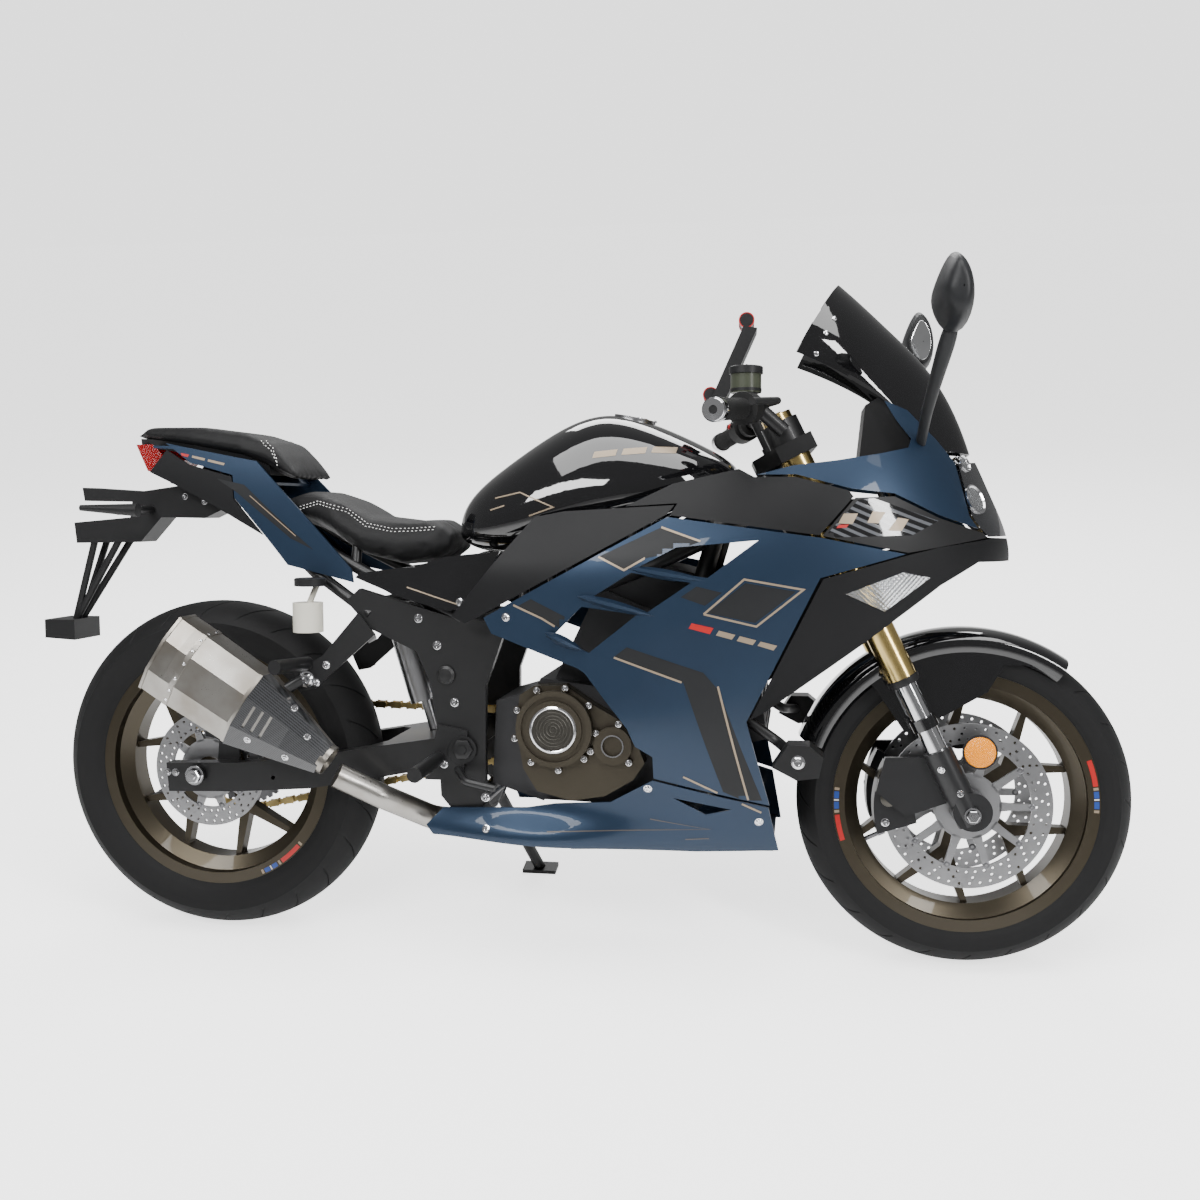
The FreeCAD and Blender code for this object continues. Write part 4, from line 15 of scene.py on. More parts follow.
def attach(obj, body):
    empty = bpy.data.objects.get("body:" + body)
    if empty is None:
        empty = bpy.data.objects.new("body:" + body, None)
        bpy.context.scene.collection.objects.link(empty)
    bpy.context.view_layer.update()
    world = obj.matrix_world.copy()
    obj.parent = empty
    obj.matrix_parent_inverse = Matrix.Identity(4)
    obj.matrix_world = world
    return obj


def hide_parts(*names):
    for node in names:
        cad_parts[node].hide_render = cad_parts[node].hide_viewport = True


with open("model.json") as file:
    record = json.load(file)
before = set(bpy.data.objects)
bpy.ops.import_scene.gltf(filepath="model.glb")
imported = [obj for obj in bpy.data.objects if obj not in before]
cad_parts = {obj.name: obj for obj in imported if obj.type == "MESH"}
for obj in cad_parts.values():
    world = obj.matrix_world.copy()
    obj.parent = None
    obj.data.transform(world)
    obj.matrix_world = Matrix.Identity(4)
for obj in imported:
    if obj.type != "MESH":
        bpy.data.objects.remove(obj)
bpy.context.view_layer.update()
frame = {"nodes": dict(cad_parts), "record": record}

LOG = logging.getLogger("sport_bike")
MM = 0.001
GRID = 100.0
CROWN_SHARE = 0.27
AHEAD = Vector((1, 0, 0))
LEFT = Vector((0, 1, 0))
UP = Vector((0, 0, 1))
Colour = tuple[float, float, float]
Point = tuple[float, float, float]
Pair = tuple[float, float]


# Where things are


def placed(axes: Sequence[Vector], origin: Vector) -> Matrix:
    """Returns the matrix with the given axes and origin."""
    columns = Matrix.Identity(4)
    for index, axis in enumerate(axes):
        for place in range(3):
            columns[place][index] = axis[place]
    columns.translation = origin
    return columns


def styled(x: float, z: float, y: float = 0.0) -> Vector:
    """Turns a point of the styling grid into millimetres.

    Args:
        x: Hundreds of millimetres forward of the rear axle.
        z: Hundreds of millimetres over the ground.
        y: Distance to the left of the middle, in millimetres.

    Returns:
        The point.
    """
    return Vector((x * GRID, y, z * GRID))


def spoke(angle: float) -> Vector:
    """Returns the way out from a wheel's axle at an angle."""
    return Vector((math.cos(angle), 0, math.sin(angle)))


def crown(width: float) -> Pair:
    """Returns how far a tyre's crown drops to its edge, and the crown's radius."""
    half = width / 2
    drop = width * CROWN_SHARE
    return drop, (half * half + drop * drop) / (2 * drop)


@dataclass(frozen=True)
class BikeFrame:
    """The upright bike's own axes, in millimetres, and where the parked bike lies.

    X runs forward from the rear axle, Y to the rider's left and Z up from the ground.
    """

    lean: float = math.radians(13.02)
    forward: float = 668.0
    left: float = 221.0
    wheelbase: float = 1400.0
    rake: float = math.radians(26.0)
    axle_lead: float = 35.0
    steer: float = math.radians(3.2)
    front_radius: float = 292.0
    front_width: float = 112.0
    rear_radius: float = 318.0
    rear_width: float = 142.0

    def row(self, x: float, y: float, z: float) -> Vector:
        """Turns a point of the upright bike into the row's frame.

        Args:
            x: Distance forward of the rear axle, in millimetres.
            y: Distance to the left of the middle, in millimetres.
            z: Height over the ground, in millimetres.

        Returns:
            The point in metres.
        """
        side = math.sin(self.lean)
        rise = math.cos(self.lean)
        return Vector((x - self.forward, y * rise + z * side - self.left,
                       z * rise - y * side)) * MM

    def bike(self, point: Vector) -> Vector:
        """Turns a point of the row's frame back into the bike's own millimetres."""
        side = math.sin(self.lean)
        rise = math.cos(self.lean)
        x, y, z = point / MM
        y += self.left
        return Vector((x + self.forward, y * rise - z * side, z * rise + y * side))

    def matrix(self) -> Matrix:
        """Returns the matrix that takes the bike's millimetres to the row's metres."""
        origin = self.row(0, 0, 0)
        return placed([self.row(*unit) - origin for unit in (AHEAD, LEFT, UP)], origin)

    def axle_height(self, radius: float, width: float) -> float:
        """Returns the height of a leaning wheel's axle over the ground."""
        return radius + crown(width)[1] * (1 / math.cos(self.lean) - 1)

    def steering(self) -> tuple[Vector, Vector, Vector, Vector]:
        """Returns the front axle, the steering axis's foot beside it, and its two ways.

        The ways are ahead, square to the steering axis, and up along it.
        """
        ahead = Vector((math.cos(self.rake), 0, math.sin(self.rake)))
        up = Vector((-math.sin(self.rake), 0, math.cos(self.rake)))
        axle = Vector((self.wheelbase, 0,
                       self.axle_height(self.front_radius, self.front_width)))
        return axle, axle - ahead * self.axle_lead, ahead, up

    def fork_matrix(self) -> Matrix:
        """Returns the matrix that takes fork millimetres to the row's metres.

        The fork's own axes have X forward, square to the steering axis, and Z up along it.
        """
        _, foot, ahead, up = self.steering()
        turned = Matrix.Rotation(self.steer, 4, up)
        return self.matrix() @ placed((turned @ ahead, turned @ LEFT, up), foot)

    def front_matrix(self) -> Matrix:
        """Returns what takes the front wheel's millimetres to the row's metres."""
        axle, foot, _, up = self.steering()
        return (self.matrix() @ Matrix.Translation(foot) @ Matrix.Rotation(self.steer, 4, up)
                @ Matrix.Translation(axle - foot))

    def rear_matrix(self) -> Matrix:
        """Returns what takes the rear wheel's millimetres to the row's metres."""
        height = self.axle_height(self.rear_radius, self.rear_width)
        return self.matrix() @ Matrix.Translation(UP * height)


BIKE = BikeFrame()
BIKE_MATRIX = BIKE.matrix()
FORK_MATRIX = BIKE.fork_matrix()


class Body(Enum):
    """The bodies that a piece can ride on."""

    CHASSIS = "chassis"
    STEERING = "steering"
    FRONT_WHEEL = "front_wheel"
    REAR_WHEEL = "rear_wheel"
    CAP = "filler_cap"


# Shader sockets as Python values


class Value:
    """One number socket of a material, which takes part in Python expressions."""

    def __init__(self, graph: "Graph", socket: bpy.types.NodeSocket) -> None:
        """Keeps the graph that the socket belongs to, and the socket."""
        self.graph = graph
        self.socket = socket

    def math(self, operation: str, *others: "Value | float") -> "Value":
        """Adds one Math node.

        Args:
            operation: The node's operation.
            *others: The second and third operands.

        Returns:
            The node's result.
        """
        operands = dict(enumerate((self, *others)))
        return self.graph.value("ShaderNodeMath", {"operation": operation}, operands)

    def __add__(self, other: "Value | float") -> "Value":
        """Adds."""
        return self.math("ADD", other)

    def __sub__(self, other: "Value | float") -> "Value":
        """Takes the other away."""
        return self.math("SUBTRACT", other)

    def __rsub__(self, other: float) -> "Value":
        """Takes this away from a number."""
        return (self * -1.0) + other

    def __mul__(self, other: "Value | float") -> "Value":
        """Multiplies."""
        return self.math("MULTIPLY", other)

    def __abs__(self) -> "Value":
        """Drops the sign."""
        return self.math("ABSOLUTE")

    def __gt__(self, other: "Value | float") -> "Value":
        """Gives 1 where this is greater."""
        return self.math("GREATER_THAN", other)

    def wave(self) -> "Value":
        """Gives the sine."""
        return self.math("SINE")

    def part(self) -> "Value":
        """Gives the fraction, the same way for numbers below zero."""
        return self.math("FRACT")

    def ramp(self, start: float, stop: float) -> "Value":
        """Rises smoothly from 0 at start to 1 at stop."""
        return self.graph.value("ShaderNodeMapRange", {"interpolation_type": "SMOOTHSTEP"},
                                {"Value": self, "From Min": start, "From Max": stop})


class Graph:
    """A material's node tree round one Principled shader."""

    def __init__(self, name: str) -> None:
        """Makes the material with a bare Principled shader."""
        self.material = bpy.data.materials.new(name)
        self.material.use_nodes = True
        self.tree = self.material.node_tree
        self.tree.nodes.clear()
        end = self.tree.nodes.new("ShaderNodeOutputMaterial")
        self.shader = self.tree.nodes.new("ShaderNodeBsdfPrincipled")
        self.tree.links.new(self.shader.outputs[0], end.inputs[0])

    def node(self, kind: str, settings: dict[str, object],
             sockets: dict[object, object]) -> bpy.types.Node:
        """Adds a node.

        Args:
            kind: The node's type.
            settings: Its properties.
            sockets: Values or links for its inputs, by name or number.

        Returns:
            The node.
        """
        made = self.tree.nodes.new(kind)
        for key, setting in settings.items():
            setattr(made, key, setting)
        for key, value in sockets.items():
            self.plug(made.inputs[key], value)
        return made

    def plug(self, socket: bpy.types.NodeSocket, value: object) -> None:
        """Links a value to a socket, or sets the socket to it."""
        if isinstance(value, Value):
            value = value.socket
        if isinstance(value, bpy.types.NodeSocket):
            self.tree.links.new(value, socket)
        elif socket.type == "RGBA" and len(value) == 3:
            socket.default_value = (*value, 1.0)
        else:
            socket.default_value = value

    def value(self, kind: str, settings: dict[str, object], sockets: dict[object, object],
              output: object = 0) -> Value:
        """Adds a node and wraps one of its number outputs."""
        return Value(self, self.node(kind, settings, sockets).outputs[output])

    def place(self) -> bpy.types.NodeSocket:
        """Returns the point on the surface in the row's frame, in metres."""
        return self.node("ShaderNodeTexCoord", {}, {}).outputs["Object"]

    def scaled(self, point: object, scale: Sequence[float]) -> bpy.types.NodeSocket:
        """Returns a point with each of its numbers multiplied."""
        made = self.node("ShaderNodeVectorMath", {"operation": "MULTIPLY"},
                         {0: point, 1: scale})
        return made.outputs[0]

    def along(self, point: object, axis: Sequence[float]) -> Value:
        """Returns how far a point lies along an axis."""
        return self.value("ShaderNodeVectorMath", {"operation": "DOT_PRODUCT"},
                          {0: point, 1: axis}, "Value")

    def noise(self, scale: float, detail: float = 2.0, point: object = None) -> Value:
        """Returns soft noise from 0 to 1.

        Args:
            scale: How many blotches to the metre.
            detail: How many finer layers it has.
            point: The coordinates, or nothing for the place on the surface.

        Returns:
            The noise.
        """
        where = self.place() if point is None else point
        return self.value("ShaderNodeTexNoise", {},
                          {"Vector": where, "Scale": scale, "Detail": detail,
                           "Roughness": 0.5})

    def cells(self, scale: float) -> Value:
        """Returns the distance to the nearest of scattered points."""
        return self.value("ShaderNodeTexVoronoi", {"feature": "F1"},
                          {"Vector": self.place(), "Scale": scale}, "Distance")

    def mix(self, share: object, first: object, second: object) -> bpy.types.NodeSocket:
        """Mixes two colours.

        Args:
            share: How much of the second, from 0 to 1.
            first: The colour at 0.
            second: The colour at 1.

        Returns:
            The mixed colour.
        """
        made = self.node("ShaderNodeMix", {"data_type": "RGBA"},
                         {0: share, 6: first, 7: second})
        return made.outputs[2]

    def bump(self, height: Value, distance: float, strength: float = 1.0) -> None:
        """Raises the surface's shading by a height.

        Args:
            height: The height from 0 to 1.
            distance: What 1 stands for, in metres.
            strength: How much of it shows.
        """
        made = self.node("ShaderNodeBump", {},
                         {"Height": height, "Distance": distance, "Strength": strength})
        self.plug(self.shader.inputs["Normal"], made.outputs[0])

    def dress(self, **sockets: object) -> None:
        """Sets the shader's sockets; an underscore in a name stands for a space."""
        for key, value in sockets.items():
            self.plug(self.shader.inputs[key.replace("_", " ")], value)


# Finishes


def tinted(colour: Colour, share: float) -> Colour:
    """Returns a colour with each part multiplied."""
    return tuple(part * share for part in colour)


@dataclass(frozen=True)
class Finish:
    """A material of the bike, described by a few numbers."""

    name: str

    def build(self) -> bpy.types.Material:
        """Makes the material."""
        graph = Graph(self.name)
        self.shade(graph)
        return graph.material

    def shade(self, graph: Graph) -> None:
        """Gives the shader its looks; each kind of finish has its own."""


@dataclass(frozen=True)
class Paint(Finish):
    """Paint with fine flakes in it, satin or clear-coated."""

    colour: Colour
    metallic: float = 0.6
    roughness: float = 0.4
    coat: float = 0.0
    flake: float = 0.05
    speck: float = 0.12

    def shade(self, graph: Graph) -> None:
        """Gives the shader its looks."""
        deep = tinted(self.colour, 1 - self.speck * 2)
        light = tuple(min(1.0, part) for part in tinted(self.colour, 1 + self.speck * 2))
        cloud = graph.noise(6.0, 3.0)
        flakes = graph.noise(1400.0, 1.0)
        colour = graph.mix(cloud * 0.5 + flakes * 0.5, deep, light)
        graph.dress(Base_Color=colour, Metallic=self.metallic,
                    Roughness=flakes * self.speck + self.roughness - self.speck / 2,
                    Coat_Weight=self.coat, Coat_Roughness=0.03)
        if self.flake:
            graph.bump(flakes, 0.00006, self.flake)


@dataclass(frozen=True)
class Moulded(Finish):
    """Moulded plastic or rubber with a grain."""

    colour: Colour
    roughness: float = 0.55
    grain: float = 900.0
    depth: float = 0.00012

    def shade(self, graph: Graph) -> None:
        """Gives the shader its looks."""
        grain = graph.noise(self.grain, 2.0)
        cloud = graph.noise(9.0, 2.0)
        colour = graph.mix(cloud, self.colour, tinted(self.colour, 1.35))
        graph.dress(Base_Color=colour, Roughness=cloud * 0.1 + self.roughness - 0.05,
                    Specular_IOR_Level=0.22)
        graph.bump(grain, self.depth, 0.6)


@dataclass(frozen=True)
class Metal(Finish):
    """Bare or plated metal, with brush marks along one way."""

    colour: Colour
    roughness: float = 0.3
    brush: Point = (40.0, 900.0, 900.0)
    marks: float = 0.12
    stain: Optional[Colour] = None

    def shade(self, graph: Graph) -> None:
        """Gives the shader its looks."""
        lines = graph.noise(1.0, 2.0, graph.scaled(graph.place(), self.brush))
        cloud = graph.noise(12.0, 3.0)
        stain = self.stain or tinted(self.colour, 0.8)
        colour = graph.mix(cloud.ramp(0.35, 0.75), self.colour, stain)
        graph.dress(Base_Color=colour, Metallic=1.0,
                    Roughness=lines * self.marks + cloud * 0.08 + self.roughness - 0.08)
        graph.bump(lines, 0.00004, 0.25)


@dataclass(frozen=True)
class Gloss(Finish):
    """Deep polished plastic or lacquer."""

    colour: Colour
    roughness: float = 0.05
    see: float = 0.0

    def shade(self, graph: Graph) -> None:
        """Gives the shader its looks."""
        cloud = graph.noise(14.0, 3.0)
        graph.dress(Base_Color=graph.mix(cloud, self.colour, tinted(self.colour, 1.3)),
                    Roughness=cloud * 0.04 + self.roughness, Coat_Weight=1.0,
                    Coat_Roughness=0.02, Transmission_Weight=self.see, IOR=1.5)
        graph.bump(graph.noise(5.0, 1.0), 0.0004, 0.15)


@dataclass(frozen=True)
class Lens(Finish):
    """A clear or tinted lamp lens with moulded prisms."""

    colour: Colour
    pitch: float = 0.006
    see: float = 0.9

    def shade(self, graph: Graph) -> None:
        """Gives the shader its looks."""
        place = graph.place()
        first = graph.along(place, AHEAD * (math.tau / self.pitch)).wave()
        second = graph.along(place, UP * (math.tau / self.pitch)).wave()
        graph.dress(Base_Color=graph.mix(graph.noise(20.0), self.colour,
                                         tinted(self.colour, 0.9)),
                    Roughness=graph.noise(60.0) * 0.05 + 0.03,
                    Transmission_Weight=self.see, IOR=1.45)
        graph.bump(first * second, 0.0008, 0.5)


@dataclass(frozen=True)
class Weave(Finish):
    """Carbon cloth under a clear coat: a twill of two by two."""

    dark: Colour = (0.006, 0.006, 0.007)
    light: Colour = (0.05, 0.052, 0.056)
    pitch: float = 0.0036
    roughness: float = 0.28

    def shade(self, graph: Graph) -> None:
        """Gives the shader its looks."""
        place = graph.place()
        across = graph.along(place, (0.83 / self.pitch, 0, 0.55 / self.pitch))
        upward = graph.along(place, (-0.55 / self.pitch, 0, 0.83 / self.pitch))
        twill = (across + upward.math("FLOOR") * 0.25).part() > 0.5
        thread = (twill * (upward * math.tau).wave()
                  + (1 - twill) * (across * math.tau).wave()) * 0.5 + 0.5
        shade = twill * 0.75 + thread * 0.25
        graph.dress(Base_Color=graph.mix(shade, self.dark, self.light),
                    Roughness=shade * 0.1 + self.roughness, Coat_Weight=1.0,
                    Coat_Roughness=0.05, Metallic=0.3)
        graph.bump(thread, 0.0001, 0.3)


@dataclass(frozen=True)
class Stripes(Finish):
    """Gloss black with slanted fine grey stripes under the lacquer."""

    dark: Colour = (0.006, 0.006, 0.0065)
    light: Colour = (0.10, 0.105, 0.115)
    pitch: float = 0.0105

    def shade(self, graph: Graph) -> None:
        """Gives the shader its looks."""
        place = graph.place()
        slant = graph.along(place, (0.42 / self.pitch, 0, 0.9 / self.pitch))
        bend = graph.noise(3.0, 1.0) * 0.4
        line = abs((slant + bend).part() - 0.5)
        graph.dress(Base_Color=graph.mix(line.ramp(0.26, 0.32), self.dark, self.light),
                    Roughness=line * 0.1 + 0.05, Coat_Weight=1.0, Coat_Roughness=0.02)
        graph.bump(line.ramp(0.26, 0.32), 0.00005, 0.3)


@dataclass(frozen=True)
class Hide(Finish):
    """Grained seat cover."""

    colour: Colour = (0.0035, 0.0035, 0.0038)
    roughness: float = 0.55

    def shade(self, graph: Graph) -> None:
        """Gives the shader its looks."""
        grain = graph.cells(620.0)
        fine = graph.noise(1500.0, 2.0)
        cloud = graph.noise(11.0, 3.0)
        graph.dress(Base_Color=graph.mix(cloud, self.colour, tinted(self.colour, 1.7)),
                    Roughness=grain * 0.12 + cloud * 0.1 + self.roughness - 0.1,
                    Sheen_Weight=0.03, Specular_IOR_Level=0.2)
        graph.bump(grain * 0.8 + fine * 0.2, 0.00035, 0.5)


@dataclass(frozen=True)
class Ground(Finish):
    """The pale studio floor."""

    name: str = "studio_floor"
    colour: Colour = (0.97, 0.97, 0.97)
    glow: float = 1.9

    def shade(self, graph: Graph) -> None:
        """Gives the shader its looks."""
        cloud = graph.noise(1.5, 2.0)
        seen = graph.value("ShaderNodeLightPath", {}, {}, "Is Camera Ray")
        graph.dress(Base_Color=graph.mix(cloud, self.colour, (0.95, 0.95, 0.95)),
                    Roughness=0.7, Emission_Strength=self.glow,
                    Emission_Color=graph.mix(seen, (0.16, 0.16, 0.16), (1.0, 1.0, 1.0)))


class Finishes:
    """Every finish of the bike, built once and kept by its slot's name."""

    kinds = {
        "tyre": Moulded("tyre_rubber", (0.0065, 0.0065, 0.0068), 0.66, 700.0, 0.0002),
        "wheel_bronze": Paint("wheel_bronze", (0.060, 0.050, 0.034), 0.85, 0.34, 0.2),
        "disc_steel": Metal("disc_steel", (0.40, 0.40, 0.41), 0.3),
        "dark_steel": Metal("dark_steel", (0.20, 0.20, 0.21), 0.36),
        "chain_gold": Metal("chain_gold", (0.60, 0.46, 0.20), 0.30),
        "black_metal": Paint("black_metal", (0.007, 0.007, 0.0075), 0.15, 0.42, 0.1),
        "engine_grey": Paint("engine_grey", (0.035, 0.035, 0.037), 0.5, 0.52, 0.0, 0.4),
        "cover_bronze": Paint("cover_bronze", (0.062, 0.053, 0.038), 0.7, 0.42, 0.0, 0.3),
        "radiator_black": Moulded("radiator_black", (0.012, 0.012, 0.013), 0.5),
        "exhaust_steel": Metal("exhaust_steel", (0.40, 0.385, 0.36), 0.26,
                               (500.0, 60.0, 700.0), 0.2, (0.27, 0.245, 0.21)),
        "dark_plastic": Moulded("dark_plastic", (0.012, 0.012, 0.0125), 0.42, 800.0),
        "fork_gold": Metal("fork_gold", (0.80, 0.60, 0.24), 0.2),
        "chrome": Metal("chrome", (0.82, 0.82, 0.84), 0.12, marks=0.03),
        "caliper_black": Paint("caliper_black", (0.014, 0.014, 0.015), 0.3, 0.38, 0.2),
        "grip_rubber": Moulded("grip_rubber", (0.010, 0.010, 0.010), 0.66, 500.0),
        "cup_plastic": Moulded("cup_plastic", (0.55, 0.53, 0.46), 0.3),
        "gloss_black": Gloss("gloss_black", (0.004, 0.004, 0.0045)),
        "body_blue": Paint("body_blue", (0.0135, 0.030, 0.060), 0.6, 0.4, 0.25, 0.05),
        "lamp_glass": Lens("lamp_glass", (0.92, 0.94, 0.96), 0.008),
        "body_grey": Moulded("body_grey", (0.0045, 0.0046, 0.0052), 0.5, 1000.0, 0.00015),
        "tank_black": Gloss("tank_black", (0.0035, 0.0035, 0.004), 0.03),
        "cap_metal": Metal("cap_metal", (0.34, 0.34, 0.35), 0.3),
        "seat_cover": Hide("seat_cover"),
        "screen_dark": Gloss("screen_dark", (0.004, 0.004, 0.0045), 0.02, 0.12),
        "lamp_red": Lens("lamp_red", (0.42, 0.004, 0.006), 0.005, 0.4),
        "shock_steel": Metal("shock_steel", (0.42, 0.42, 0.43), 0.3),
        "carbon": Weave("carbon_cloth"),
        "smoked_glass": Gloss("smoked_glass", (0.02, 0.021, 0.024), 0.03, 0.55),
        "cup_olive": Moulded("cup_olive", (0.045, 0.05, 0.035), 0.3, 900.0, 0.00005),
        "gunmetal": Metal("gunmetal", (0.09, 0.085, 0.075), 0.34),
        "mirror_glass": Metal("mirror_glass", (0.90, 0.91, 0.92), 0.09, marks=0.01),
        "satin_dark": Moulded("satin_dark", (0.013, 0.0135, 0.0145), 0.42, 1200.0, 0.00006),
        "faint_tan": Paint("faint_tan", (0.085, 0.075, 0.07), 0.4, 0.4, 0.1, 0.0),
        "pale_accent": Paint("pale_accent", (0.62, 0.60, 0.56), 0.0, 0.4, 0.2, 0.0),
        "stripe_gloss": Stripes("stripe_gloss"),
        "tan_line": Paint("tan_line", (0.30, 0.235, 0.165), 0.35, 0.4, 0.1, 0.0),
        "red_accent": Paint("red_accent", (0.42, 0.006, 0.006), 0.0, 0.35, 0.3, 0.0),
        "blue_accent": Paint("blue_accent", (0.012, 0.05, 0.26), 0.0, 0.35, 0.3, 0.0),
        "amber": Lens("amber_reflector", (0.95, 0.30, 0.0), 0.0045, 0.0),
        "thread": Moulded("seat_thread", (0.72, 0.72, 0.70), 0.7, 900.0),
    }

    better = {"muffler_shield": "carbon", "front_reservoir": "cup_olive",
              "headlamps": "smoked_glass", "fork_feet": "caliper_black"}

    def __init__(self) -> None:
        """Starts with nothing built."""
        self.made: dict[str, bpy.types.Material] = {}

    def get(self, name: str) -> bpy.types.Material:
        """Returns the finish of that name, built on its first use."""
        if name not in self.made:
            self.made[name] = self.kinds[name].build()
        return self.made[name]

    def clothe(self, record: dict[str, object]) -> None:
        """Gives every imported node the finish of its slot."""
        for row in record["subparts"]:
            node = frame["nodes"][row["node"]]
            node.data.materials.clear()
            node.data.materials.append(self.get(self.better.get(row["node"],
                                                                row["material_slot"])))


FINISHES = Finishes()


# Studio


def put(name: str, data: bpy.types.ID) -> bpy.types.Object:
    """Puts a new object with the given data into the scene."""
    made = bpy.data.objects.new(name, data)
    bpy.context.scene.collection.objects.link(made)
    return made


@dataclass(frozen=True)
class Studio:
    """The pale floor, the soft lights and the camera at the photograph's angle."""

    focal: float = 37.314
    place: Point = (0.449, -2.2538, 1.3083)
    yaw: float = math.radians(-9.69)
    pitch: float = math.radians(-17.11)
    roll: float = math.radians(-2.36)
    floor_side: float = 400.0
    surround: float = 0.22
    backdrop: float = 2.6
    boxes: tuple[tuple[str, Point, Point, float, float, float], ...] = (
        ("top_box", (0.1, -0.5, 3.6), (0.0, 0.0, 0.4), 4.4, 2.2, 165.0),
        ("near_strip", (-1.6, -3.0, 3.3), (-0.2, 0.0, 0.6), 3.0, 0.6, 110.0),
        ("far_strip", (2.8, -2.2, 2.6), (0.4, 0.0, 0.7), 0.5, 2.2, 90.0),
        ("back_box", (0.0, 3.2, 2.8), (0.0, 0.0, 0.7), 3.2, 1.2, 80.0))

    def build(self) -> None:
        """Builds everything that isn't the bike."""
        self.add_camera()
        self.add_floor()
        self.add_surroundings()
        self.add_lights()
        LOG.info("studio built")

    def add_camera(self) -> None:
        """Adds the camera."""
        data = bpy.data.cameras.new("camera")
        data.lens = self.focal
        data.sensor_width = 36.0
        camera = put("camera", data)
        ahead = Vector((math.sin(self.yaw) * math.cos(self.pitch),
                        math.cos(self.yaw) * math.cos(self.pitch), math.sin(self.pitch)))
        right = Vector((math.cos(self.yaw), -math.sin(self.yaw), 0))
        up = right.cross(ahead)
        level = right * math.cos(self.roll) + up * math.sin(self.roll)
        upright = up * math.cos(self.roll) - right * math.sin(self.roll)
        camera.matrix_world = placed((level, upright, -ahead), Vector(self.place))
        bpy.context.scene.camera = camera

    def add_floor(self) -> None:
        """Adds the floor as one large sheet."""
        half = self.floor_side / 2
        mesh = bpy.data.meshes.new("floor")
        corners = [(-half, -half, 0), (half, -half, 0), (half, half, 0), (-half, half, 0)]
        mesh.from_pydata(corners, [], [(0, 1, 2, 3)])
        mesh.materials.append(Ground().build())
        put("floor", mesh)

    def add_surroundings(self) -> None:
        """Adds a dim sky that lights the bike, behind a backdrop that only the camera sees."""
        world = bpy.data.worlds.new("surroundings")
        world.use_nodes = True
        tree = world.node_tree
        sky = tree.nodes["Background"]
        sky.inputs[0].default_value = (1.0, 1.0, 1.0, 1.0)
        sky.inputs[1].default_value = self.surround
        paper = tree.nodes.new("ShaderNodeBackground")
        paper.inputs[1].default_value = self.backdrop
        ray = tree.nodes.new("ShaderNodeLightPath")
        blend = tree.nodes.new("ShaderNodeMixShader")
        tree.links.new(ray.outputs["Is Camera Ray"], blend.inputs[0])
        tree.links.new(sky.outputs[0], blend.inputs[1])
        tree.links.new(paper.outputs[0], blend.inputs[2])
        tree.links.new(blend.outputs[0], tree.nodes["World Output"].inputs[0])
        bpy.context.scene.world = world

    def add_lights(self) -> None:
        """Adds the soft boxes."""
        for name, place, aim, wide, high, power in self.boxes:
            data = bpy.data.lights.new(name, "AREA")
            data.shape = "RECTANGLE"
            data.size = wide
            data.size_y = high
            data.energy = power
            lamp = put(name, data)
            lamp.location = place
            lamp.rotation_euler = (Vector(aim) - Vector(place)).to_track_quat(
                "-Z", "Y").to_euler()


# Meshes


def helper(axis: Vector) -> Vector:
    """Returns a main direction that is far from an axis."""
    return UP if abs(axis.z) < 0.9 else AHEAD


def reshape(piece: bpy.types.Object, kind: str, **settings: object) -> None:
    """Puts a modifier on a piece and applies it."""
    modifier = piece.modifiers.new(kind, kind)
    for key, value in settings.items():
        setattr(modifier, key, value)
    graph = bpy.context.evaluated_depsgraph_get()
    mesh = bpy.data.meshes.new_from_object(piece.evaluated_get(graph))
    piece.modifiers.clear()
    piece.data = mesh


